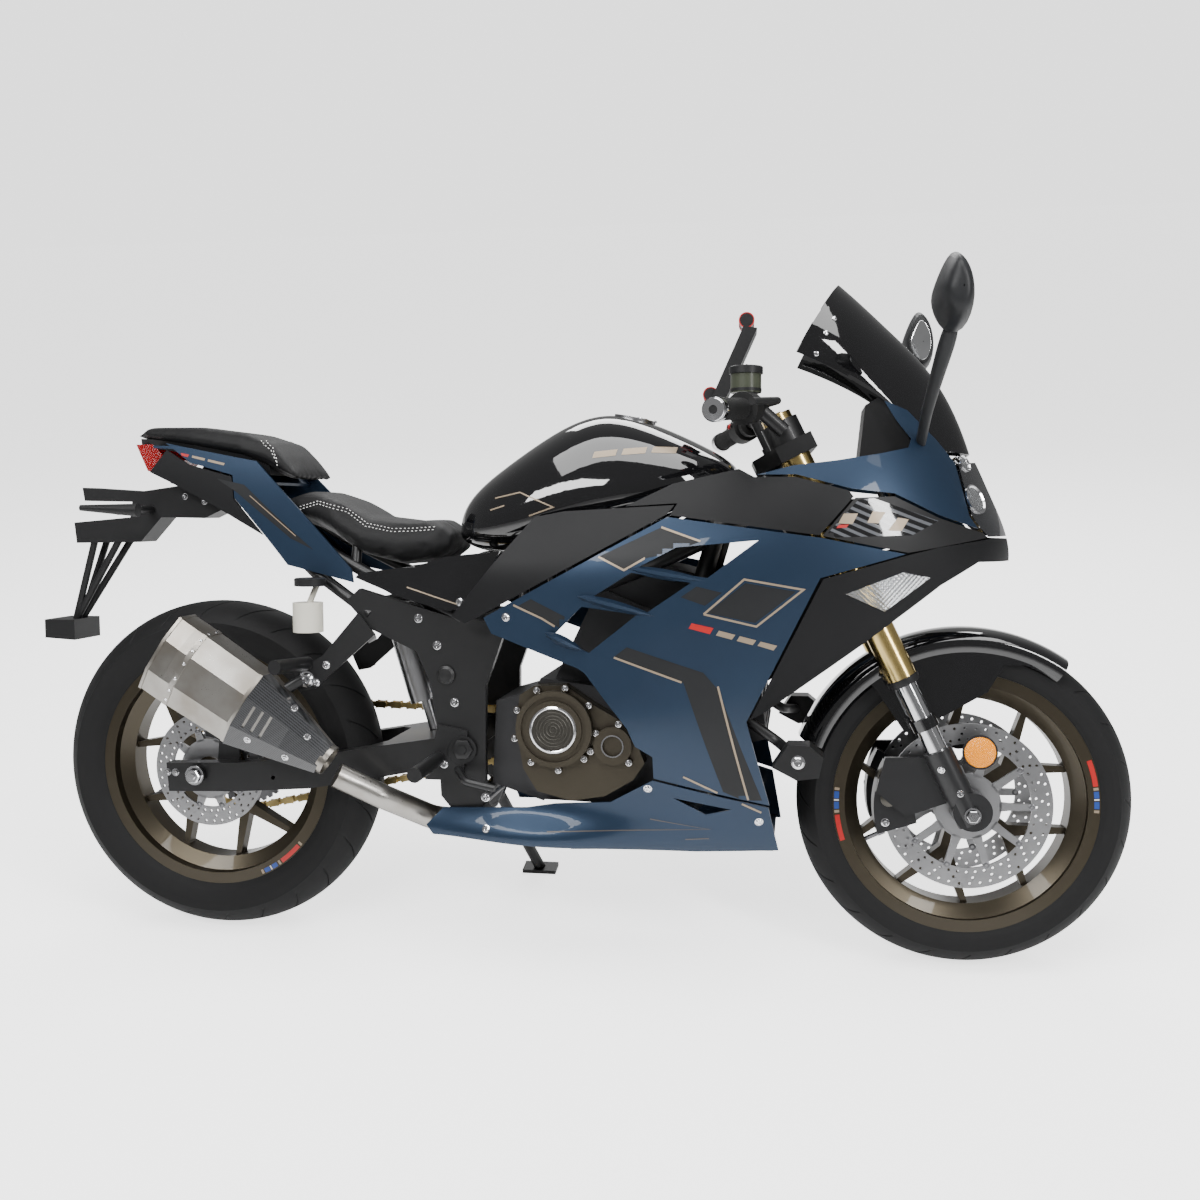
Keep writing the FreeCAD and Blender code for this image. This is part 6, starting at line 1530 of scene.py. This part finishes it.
@dataclass
class Louvres:
    """The pointed blades along the bars between the fairing's side openings."""

    blades: tuple[tuple[float, ...], ...] = (
        (8.30, 7.15, 9.66, 6.93), (7.44, 6.68, 8.76, 6.35), (6.88, 6.05, 7.52, 5.77))
    face: float = 229.5
    width: float = 9.0
    rise: float = 9.0

    def build(self) -> None:
        """Builds the blades on both sides."""
        solid = Solid()
        for side in (-1, 1):
            for x0, z0, x1, z1 in self.blades:
                face = self.face * side
                self.add_blade(solid, styled(x0, z0, face), styled(x1, z1, face), side)
        solid.build("louvre_blades", "body_blue", Body.CHASSIS, slot="body_blue", smooth=25.0)
        LOG.info("louvres built")

    def add_blade(self, solid: Solid, start: Vector, stop: Vector, side: int) -> None:
        """Adds one blade, widest near its front third."""
        ahead = (stop - start).normalized()
        across = Vector((-ahead.z, 0, ahead.x))
        out = Vector((0, side, 0))
        rows = []
        for step in range(13):
            share = step / 12
            swell = max(0.02, math.sin(math.pi * share ** 0.8)) ** 0.7
            middle = start.lerp(stop, share)
            half = across * self.width * swell
            rows.append([middle + half - out * 2, middle + half * 0.5 + out * self.rise * swell,
                         middle - half * 0.2 + out * self.rise * 0.9 * swell,
                         middle - half - out * 2])
        solid.grid(rows, closed=True)


@dataclass
class MufflerTrim:
    """The can's seam bands, rivets, outlet and clamp, in the can's own frame."""

    end: Point = (-16.0, -198.0, 562.0)
    yaw: float = math.radians(2)
    slope: float = math.radians(33)
    height: float = 148.0
    width: float = 98.0
    stations: tuple[Point, ...] = (
        (0.0, 1.0, 0.94), (36.0, 1.0, 1.0), (185.0, 0.94, 0.96), (275.0, 0.62, 0.66),
        (350.0, 0.34, 0.48))
    corners: tuple[Pair, ...] = (
        (-1, -0.42), (-0.62, -1), (0.62, -1), (1, -0.42), (1, 0.42), (0.62, 1), (-0.62, 1),
        (-1, 0.42))
    seams: tuple[Pair, ...] = ((0.5, 6.0), (53.0, 62.0), (178.0, 184.0))
    clamp: float = 352.0
    rivet_line: float = 57.5
    rivet_gap: float = 26.0

    def matrix(self) -> Matrix:
        """Returns what takes the can's millimetres to the row's frame."""
        return (BIKE_MATRIX @ Matrix.Translation(Vector(self.end))
                @ Matrix.Rotation(self.yaw, 4, "Z") @ Matrix.Rotation(self.slope, 4, "Y"))

    def ring(self, along: float, grow: float) -> list[Vector]:
        """Returns the can's eight corners at a distance from its open end.

        Args:
            along: The distance in millimetres.
            grow: How far outside the can.

        Returns:
            The corners, in the can's frame.
        """
        for (x0, h0, w0), (x1, h1, w1) in zip(self.stations, self.stations[1:]):
            if along <= x1:
                break
        share = (along - x0) / (x1 - x0)
        tall = self.height / 2 * (h0 + (h1 - h0) * share) + grow
        wide = self.width / 2 * (w0 + (w1 - w0) * share) + grow
        return [Vector((along, wide * y, tall * z)) for y, z in self.corners]

    def build(self) -> None:
        """Builds the trim."""
        place = self.matrix()
        bands = Solid()
        for start, stop in self.seams:
            bands.grid([self.ring(start, -0.5), self.ring(start, 1.4), self.ring(stop, 1.4),
                        self.ring(stop, -0.5)], closed=True)
        bands.turned([(26.2, -7.0), (28.6, -7.0), (28.6, 7.0), (26.2, 7.0)], 40, AHEAD,
                     AHEAD * self.clamp)
        bands.build("muffler_bands", "exhaust_steel", Body.CHASSIS, place, "exhaust_steel")
        rivets = Solid()
        ring = self.ring(self.rivet_line, 1.2)
        for first, second in zip(ring, ring[1:] + ring[:1]):
            out = Vector((0, (first.y + second.y) / self.width,
                          (first.z + second.z) / self.height)).normalized()
            count = max(1, round((second - first).length / self.rivet_gap))
            for k in range(count):
                rivets.turned([(3.2, -0.4), (3.0, 0.8), (1.8, 1.6), (0.01, 1.9)], 12, out,
                              first.lerp(second, (k + 0.5) / count))
        rivets.build("muffler_rivets", "chrome", Body.CHASSIS, place)
        mouth = Solid()
        for profile in ([(29.4, 50.0), (29.4, -1.5), (33.5, -2.5), (34.5, 0.4)],
                        [(29.4, 50.0), (12.0, 50.0), (12.0, 44.0), (0.01, 44.0)]):
            mouth.turned(profile, 48, AHEAD)
        mouth.build("muffler_mouth", "gunmetal", Body.CHASSIS, place)
        LOG.info("muffler trim built")


@dataclass
class CoverTrim:
    """The rings, the blank badge and the screws of the engine's right cover."""

    clutch: Pair = (693.0, 433.0)
    pump: Pair = (795.0, 405.0)
    face: float = -187.0
    pump_face: float = -178.0
    screw_rings: tuple[tuple[float, int], ...] = ((73.5, 9), (40.0, 3))
    start: float = 75.0

    def build(self) -> None:
        """Builds the trim on the covers."""
        centre = Vector((self.clutch[0], self.face, self.clutch[1]))
        out = Vector((0, -1, 0))
        ring = Solid()
        ring.turned([(36.6, -0.4), (36.6, 5.4), (38.0, 6.0), (41.0, 5.0), (42.0, -0.4)], 72,
                    out, centre)
        ring.turned([(17.4, -0.4), (17.4, 2.0), (19.8, 2.0), (20.4, -0.4)], 48, out,
                    Vector((self.pump[0], self.pump_face, self.pump[1])))
        ring.build("cover_rings", "chrome", Body.CHASSIS)
        badge = Solid()
        rows = [(35.6, 4.2), (35.4, 5.2)]
        for radius in (30.0, 24.0, 18.0, 12.0, 6.0):
            rows += [(radius + 1.4, 5.2), (radius + 1.0, 5.5), (radius - 1.0, 5.5),
                     (radius - 1.4, 5.2)]
        badge.turned(rows + [(0.01, 5.2)], 72, out, centre)
        badge.build("cover_badge", "gunmetal", Body.CHASSIS)
        places = []
        for (x, z), (radius, count) in zip((self.clutch, self.pump), self.screw_rings):
            for index in range(count):
                angle = math.radians(360 * index / count + self.start)
                places.append((x + radius * math.cos(angle), z + radius * math.sin(angle)))
        Screws("cover_screws", ("engine_covers",), places, 4.6, 3.4, sides=(-1,)).build()


@dataclass
class ForkTrim:
    """What the fork carries besides its castings, in the fork's own frame."""

    leg: float = 28.0
    half: float = 100.0
    reflector: Point = (91.0, 103.0, 85.0)

    def build(self) -> None:
        """Builds the reflectors, seals and caps."""
        self.add_reflectors()
        self.add_seals()
        LOG.info("fork trim built")

    def add_reflectors(self) -> None:
        """Adds each amber disc in its ring on a short bracket."""
        lens = Solid()
        ring = Solid()
        x, y, z = self.reflector
        for side in (-1, 1):
            centre = Vector((x, side * y, z))
            axis = Vector((0, side, 0))
            lens.turned([(27.0, 1.0), (26.4, 4.6), (24.0, 6.0), (0.001, 7.4)], 48, axis, centre)
            ring.turned([(0.001, -3.0), (28.0, -3.0), (29.4, -1.0), (29.4, 4.6), (27.0, 5.0),
                         (27.0, 0.5), (0.001, 0.5)], 48, axis, centre)
            ring.tube([Vector((self.leg, side * (y - 4), z - 6)),
                       Vector((x - 20, side * (y - 4), z - 2)),
                       Vector((x, side * (y - 4), z))], 4.5, 12)
        lens.build("fork_reflectors", "amber", Body.STEERING, FORK_MATRIX)
        ring.build("fork_reflector_rings", "dark_plastic", Body.STEERING, FORK_MATRIX)

    def add_seals(self) -> None:
        """Adds the dust seals under the gold tubes and the caps on top."""
        seals = Solid()
        caps = Solid()
        for side in (-1, 1):
            foot = Vector((self.leg, self.half * side, 0))
            seals.turned([(19.0, 243.0), (27.0, 244.0), (28.4, 248.0), (28.4, 256.0),
                          (26.8, 257.0)], 48, UP, foot)
            caps.turned([(24.0, 741.5), (24.0, 746.0), (20.0, 748.0), (13.0, 748.0)], 40, UP,
                        foot)
            caps.turned([(13.0, 747.5), (13.0, 757.0), (11.0, 758.5), (0.01, 758.5)], 6, UP,
                        foot)
        seals.build("fork_seals", "dark_plastic", Body.STEERING, FORK_MATRIX)
        caps.build("fork_caps", "fork_gold", Body.STEERING, FORK_MATRIX)


@dataclass
class BarTrim:
    """Grip ribs, end weights, switches and the small fittings at the bars."""

    root: Point = (13.0, 110.0, 778.0)
    tip: Point = (-65.0, 336.0, 788.0)
    ribs: int = 36
    grip: Pair = (0.50, 0.93)
    jaws: tuple[Pair, ...] = ((-53.0, 846.0), (61.0, 936.0))

    def at(self, share: float, side: int) -> Vector:
        """Returns a point along the bar."""
        point = Vector(self.root).lerp(Vector(self.tip), share)
        return Vector((point.x, point.y * side, point.z))

    def build(self) -> None:
        """Builds the fittings of both bars."""
        ribs = Solid()
        ends = Solid()
        buttons = Solid()
        red = Solid()
        for side in (-1, 1):
            axis = (self.at(1.0, side) - self.at(0.0, side)).normalized()
            for step in range(self.ribs):
                share = step / (self.ribs - 1)
                centre = self.at(self.grip[0] + (self.grip[1] - self.grip[0]) * share, side)
                ribs.turned([(16.8, -0.9), (17.8, -0.5), (17.8, 0.5), (16.8, 0.9)], 28, axis,
                            centre)
            ends.turned([(19.2, -9.0), (19.5, -8.0), (19.5, 8.0), (17.0, 11.0), (7.0, 11.5),
                         (6.0, 7.0), (0.01, 7.0)], 40, axis, self.at(1.0, side))
            back = Vector((-0.8, 0, 0.6))
            for share, finish in ((0.34, buttons), (0.40, red), (0.44, buttons)):
                finish.turned([(6.2, 0.0), (6.2, 29.4), (5.0, 31.0), (0.01, 31.0)], 20, back,
                              self.at(share, side))
        ribs.build("grip_ribs", "grip_rubber", Body.STEERING, FORK_MATRIX)
        ends.build("bar_end_weights", "chrome", Body.STEERING, FORK_MATRIX)
        buttons.build("bar_switches", "dark_plastic", Body.STEERING, FORK_MATRIX)
        red.build("bar_red_switches", "red_accent", Body.STEERING, FORK_MATRIX)
        self.add_phone_pads()
        self.add_lid()
        self.add_key()
        LOG.info("bar trim built")

    def add_phone_pads(self) -> None:
        """Adds the red sleeves on the phone holder's jaws."""
        pads = Solid()
        for x, z in self.jaws:
            for low, high in ((-30.5, -14.0), (14.0, 30.5)):
                pads.turned([(12.0, low), (13.9, low), (13.9, high), (12.0, high)], 30,
                            LEFT, Vector((x, 0, z)))
        pads.build("phone_holder_pads", "red_accent", Body.STEERING, FORK_MATRIX)

    def add_lid(self) -> None:
        """Adds the black lid of the front brake fluid cup and its screws."""
        up = Vector((math.sin(BIKE.rake), 0, math.cos(BIKE.rake)))
        base = Vector((-3.0, -158.0, 807.5))
        lid = Solid()
        lid.turned([(25.5, 31.0), (28.4, 31.5), (28.4, 42.4), (26.6, 44.0), (0.01, 44.0)], 48,
                   up, base)
        lid.turned([(25.7, 2.0), (26.4, 2.2), (26.4, 7.0), (25.7, 7.2)], 48, up, base)
        lid.build("front_reservoir_lid", "dark_plastic", Body.STEERING, FORK_MATRIX)
        screws = Solid()
        for side in (-1, 1):
            screws.bolt(base + up * 43.6 + Vector((0, side * 15, 0)), up, 3.6, 2.4)
        screws.build("front_reservoir_screws", "chrome", Body.STEERING, FORK_MATRIX)

    def add_key(self) -> None:
        """Adds the ignition switch on the upper clamp."""
        key = Solid()
        place = Vector((30.0, 0.0, 703.0))
        key.turned([(16.0, -1.0), (16.0, 11.0), (14.5, 12.5), (9.0, 12.5), (8.5, 10.5),
                    (0.01, 10.5)], 40, UP, place)
        key.build("key_switch", "chrome", Body.STEERING, FORK_MATRIX)


@dataclass
class Mirrors:
    """Rounded mirror shells on tapered stalks, with glass on their inner faces."""

    outline: tuple[Pair, ...] = (
        (13.30, 12.01), (13.43, 11.98), (13.60, 11.78), (13.71, 11.26), (13.56, 10.79),
        (13.24, 10.81), (13.04, 11.25), (13.09, 11.49))
    centre: Pair = (13.44, 11.36)
    stations: tuple[Pair, ...] = (
        (244.0, 0.03), (242.5, 0.66), (242.0, 0.76), (247.0, 0.86), (272.0, 1.0),
        (305.0, 1.03), (345.0, 0.90), (376.0, 0.66), (383.0, 0.40), (383.6, 0.03))
    stalk: tuple[Point, ...] = (
        (1311.0, 72.0, 907.0), (1313.0, 118.0, 941.0), (1315.0, 160.0, 973.0),
        (1328.0, 222.0, 1038.0), (1342.0, 280.0, 1102.0))
    widths: tuple[float, ...] = (9.0, 9.0, 9.4, 12.0, 15.5)

    def build(self) -> None:
        """Builds the shells, the stalks, the glass and its dark rims."""
        shells = Solid()
        glass = Solid()
        rim = Solid()
        for side in (-1, 1):
            shells.grid([self.loop(size, y, side) for y, size in self.stations], closed=True)
            shells.tube([Vector((x, y * side, z)) for x, y, z in self.stalk], self.widths, 16)
            glass.grid([self.loop(0.66, 241.9, side), self.loop(0.66, 240.6, side),
                        self.loop(0.62, 240.2, side), self.loop(0.02, 240.0, side)],
                       closed=True)
            rim.grid([self.loop(0.73, 242.6, side), self.loop(0.73, 239.8, side),
                      self.loop(0.66, 239.6, side), self.loop(0.66, 242.6, side)],
                     closed=True)
        made = shells.build("mirror_shells", "satin_dark", Body.CHASSIS, slot="dark_plastic",
                            replaces=("mirrors",), smooth=60.0)
        self.round_off(made)
        self.round_off(glass.build("mirror_glass", "mirror_glass", Body.CHASSIS))
        self.round_off(rim.build("mirror_rims", "dark_plastic", Body.CHASSIS))
        LOG.info("mirrors built")

    def round_off(self, piece: bpy.types.Object) -> None:
        """Rounds a piece by two levels of subdivision."""
        reshape(piece, "SUBSURF", levels=2, render_levels=2)
        piece.data.shade_smooth()

    def loop(self, size: float, y: float, side: int) -> list[Vector]:
        """Returns the shell's outline at a size and a distance from the middle."""
        middle_x, middle_z = self.centre
        return [styled(middle_x + (x - middle_x) * size, middle_z + (z - middle_z) * size,
                       y * side) for x, z in self.outline]


@dataclass
class FrontLamps:
    """The two round lamp units behind the nose's glass."""

    half: float = 62.0
    height: float = 828.0
    units: tuple[Pair, ...] = ((0.0, 27.0), (62.0, 16.0))
    slant: float = 0.35

    def build(self) -> None:
        """Builds the lamps' rings and lenses where the glass is."""
        skin = Skin(("headlamps",))
        rings = Solid()
        lenses = Solid()
        for side in (-1, 1):
            for offset, radius in self.units:
                start = Vector((1700, side * (self.half - offset * self.slant),
                                self.height + offset))
                hit = skin.tree.ray_cast(start, Vector((-1, 0, 0)))
                if hit[0] is None:
                    continue
                out = hit[1] if hit[1].x > 0 else -hit[1]
                place = hit[0] - out * 1.0
                rings.turned([(radius, 0.0), (radius, 3.4), (radius * 0.9, 3.8),
                              (radius * 0.8, 1.6)], 48, out, place)
                lenses.turned([(radius * 0.8, 1.4), (radius * 0.6, 2.9), (0.01, 3.8)], 48, out,
                              place)
        rings.build("lamp_rings", "chrome", Body.CHASSIS)
        lenses.build("lamp_lenses", "lamp_glass", Body.CHASSIS)
        LOG.info("front lamps built")


@dataclass
class TankTrim:
    """The ring of screws and the key flap of the filler cap."""

    centre: Pair = (825.0, 0.0)
    reach: float = 27.0
    screws: int = 6

    def build(self) -> None:
        """Builds the trim on the cap."""
        skin = Skin(("filler_cap",))
        flap = Solid()
        hit = skin.above(*self.centre)
        if hit is None:
            return
        flap.turned([(11.0, -0.5), (11.0, 1.6), (9.5, 2.2), (3.0, 2.2), (2.6, 1.2), (0.01, 1.2)],
                    32, hit[1], hit[0])
        for index in range(self.screws):
            angle = math.tau * (index + 0.5) / self.screws
            spot = skin.above(self.centre[0] + self.reach * math.cos(angle),
                              self.reach * math.sin(angle))
            if spot is not None:
                flap.bolt(spot[0] - spot[1] * 0.5, spot[1], 3.2, 2.4)
        flap.build("filler_cap_trim", "chrome", Body.CAP)
        LOG.info("tank trim built")


def node_box(node: str) -> tuple[Vector, Vector]:
    """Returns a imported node's lowest and highest corners in the bike's millimetres."""
    points = [BIKE.bike(vertex.co) for vertex in frame["nodes"][node].data.vertices]
    low = Vector([min(point[axis] for point in points) for axis in range(3)])
    high = Vector([max(point[axis] for point in points) for axis in range(3)])
    return low, high


@dataclass
class RearCup:
    """The black lid of the rear brake fluid cup."""

    def build(self) -> None:
        """Builds the lid over the cup's top."""
        low, high = node_box("rear_reservoir")
        wide = (high.x - low.x) / 2
        centre = Vector(((low.x + high.x) / 2, (low.y + high.y) / 2, 0))
        lid = Solid()
        lid.turned([(wide - 0.5, high.z - 12), (wide + 1.4, high.z - 11.5),
                    (wide + 1.4, high.z + 1.0), (wide - 1.0, high.z + 2.6),
                    (0.01, high.z + 2.6)], 48, UP, centre)
        lid.build("rear_reservoir_lid", "dark_plastic", Body.CHASSIS)
        LOG.info("rear cup lid built")


ALL_SCREWS = (
    Screws("panel_screws", ("side_fairing_right", "side_fairing_left", "belly_pan",
                            "tank_side_panels", "seat_side_panels"),
           [(567, 249), (857, 334), (1046, 275), (617, 630), (520, 650)], 6.0, 3.2),
    Screws("frame_screws", ("main_frame",),
           [(474, 572), (505, 470), (440, 620), (566, 400), (560, 300)], 6.5, 5.0),
    Screws("frame_bosses", ("main_frame",), [(490, 519)], 17.0, 9.0, Head.DOME,
           "black_metal"),
    Screws("pivot_caps", ("main_frame",), [(521, 387)], 19.0, 6.0, Head.HEX, "black_metal"),
    Screws("hanger_screws", ("footrests",), [(268, 534), (248, 501), (486, 359)], 6.0, 4.6),
    Screws("hanger_bolts", ("footrests",), [(230, 507)], 12.0, 6.0, Head.SOCKET),
    Screws("shield_screws", ("muffler_shield",),
           [(232, 464), (150, 408), (256, 414), (214, 376)], 5.2, 3.0, sides=(-1,)),
    Screws("rear_axle_nuts", ("swingarm",), [(0, 320)], 14.0, 11.0, Head.HEX),
    Screws("adjuster_bolts", ("swingarm",), [(-44, 322), (-60, 322)], 5.5, 5.0, Head.HEX),
    Screws("front_axle_nuts", ("fork_feet",), [(1405, 292)], 11.0, 7.0, Head.HEX,
           body=Body.STEERING),
    Screws("foot_screws", ("fork_feet",), [(1384, 330), (1352, 369)], 5.0, 4.0,
           body=Body.STEERING),
    Screws("caliper_screws", ("front_calipers",),
           [(1288, 385), (1240, 300), (1262, 268)], 6.0, 4.0, body=Body.STEERING),
    Screws("caliper_pistons", ("front_calipers",), [(1262, 350), (1268, 310)], 15.0, 3.2,
           Head.DOME, "gunmetal", Body.STEERING),
    Screws("screen_rivets", ("windscreen",), [(1166, 1136), (1136, 1074), (1152, 1110)], 4.6,
           2.4, Head.DOME, "chrome"),
    Screws("guard_bolts", ("crash_guards",), [(1112, 410)], 9.0, 5.0),
    Screws("bracket_screws", ("plate_bracket",), [(-60, 840), (-20, 830)], 5.0, 4.0),
)


FRONT_STICKERS = (
    ("red_accent", 9.0, 12.0), ("tan_line", 7.2, 1.2), ("blue_accent", 3.6, 3.0),
    ("pale_accent", 2.6, 0.7), ("blue_accent", -1.2, 3.2), ("tan_line", -3.0, 1.2),
    ("tan_line", 174.0, 1.2), ("blue_accent", 175.8, 3.2), ("pale_accent", 179.4, 0.7),
    ("blue_accent", 180.6, 3.2), ("tan_line", 184.4, 1.2), ("red_accent", 186.6, 12.0))
REAR_STICKERS = (
    ("tan_line", 109.0, 1.2), ("red_accent", 111.0, 12.0), ("tan_line", 124.0, 1.2),
    ("tan_line", -66.0, 1.2), ("blue_accent", -64.2, 3.0), ("pale_accent", -60.8, 0.7),
    ("blue_accent", -59.7, 3.0), ("tan_line", -55.8, 1.2), ("red_accent", -53.8, 12.0),
    ("tan_line", -41.0, 1.2))


def main() -> None:
    """Builds the scene."""
    logging.basicConfig(level=logging.INFO, format="%(message)s")
    FINISHES.clothe(frame["record"])
    Studio().build()
    front, rear = BIKE.front_matrix(), BIKE.rear_matrix()
    Wheel("front", Body.FRONT_WHEEL, "front_tyre", BIKE.front_radius, BIKE.front_width, 80.0,
          front, 24, FRONT_STICKERS).build()
    Wheel("rear", Body.REAR_WHEEL, "rear_tyre", BIKE.rear_radius, BIKE.rear_width, 98.0,
          rear, 24, REAR_STICKERS).build()
    DrilledDisc("front_drilled_discs", "front_discs", Body.FRONT_WHEEL, front, 145.0,
                (-66.0, 66.0)).build()
    DrilledDisc("rear_drilled_disc", "rear_disc", Body.REAR_WHEEL, rear, 110.0,
                (-74.0,)).build()
    Graphics().build()
    for trim in (Louvres(), MufflerTrim(), CoverTrim(), ForkTrim(), BarTrim(),
                 Mirrors(), FrontLamps(), TankTrim(), RearCup(), *ALL_SCREWS):
        trim.build()
    Cushion("rider_cushion", "rider_seat",
            [(1.56, 0.86, 8.16, 8.38), (1.9, 0.98, 7.98, 8.46), (2.3, 1.08, 7.86, 8.44),
             (2.7, 1.24, 7.68, 8.30), (3.3, 1.34, 7.36, 7.98), (4.0, 1.24, 7.16, 7.90),
             (4.6, 1.02, 7.22, 7.93), (4.84, 0.8, 7.40, 7.76)],
            seams=[[(1.80, 8.07), (1.96, 8.16), (2.37, 8.27), (2.92, 8.12), (3.3, 7.86),
                    (3.8, 7.76), (4.2, 7.77), (4.6, 7.80)]]).build()
    Cushion("pillion_cushion", "pillion_seat",
            [(-1.41, 0.6, 9.48, 9.56), (-1.1, 0.86, 9.46, 9.70), (-0.1, 1.02, 9.33, 9.69),
             (0.9, 1.08, 9.14, 9.56), (1.4, 1.06, 8.93, 9.40), (1.65, 1.02, 8.78, 9.14),
             (1.86, 0.96, 8.68, 8.86), (1.94, 0.9, 8.64, 8.72)],
            seams=[[(1.23, 9.44), (1.46, 9.26), (1.58, 9.04), (1.60, 8.86)]],
            shrink=2.0, cap=0.004).build()
    SeatPan().build()


if __name__ == "__main__":
    main()
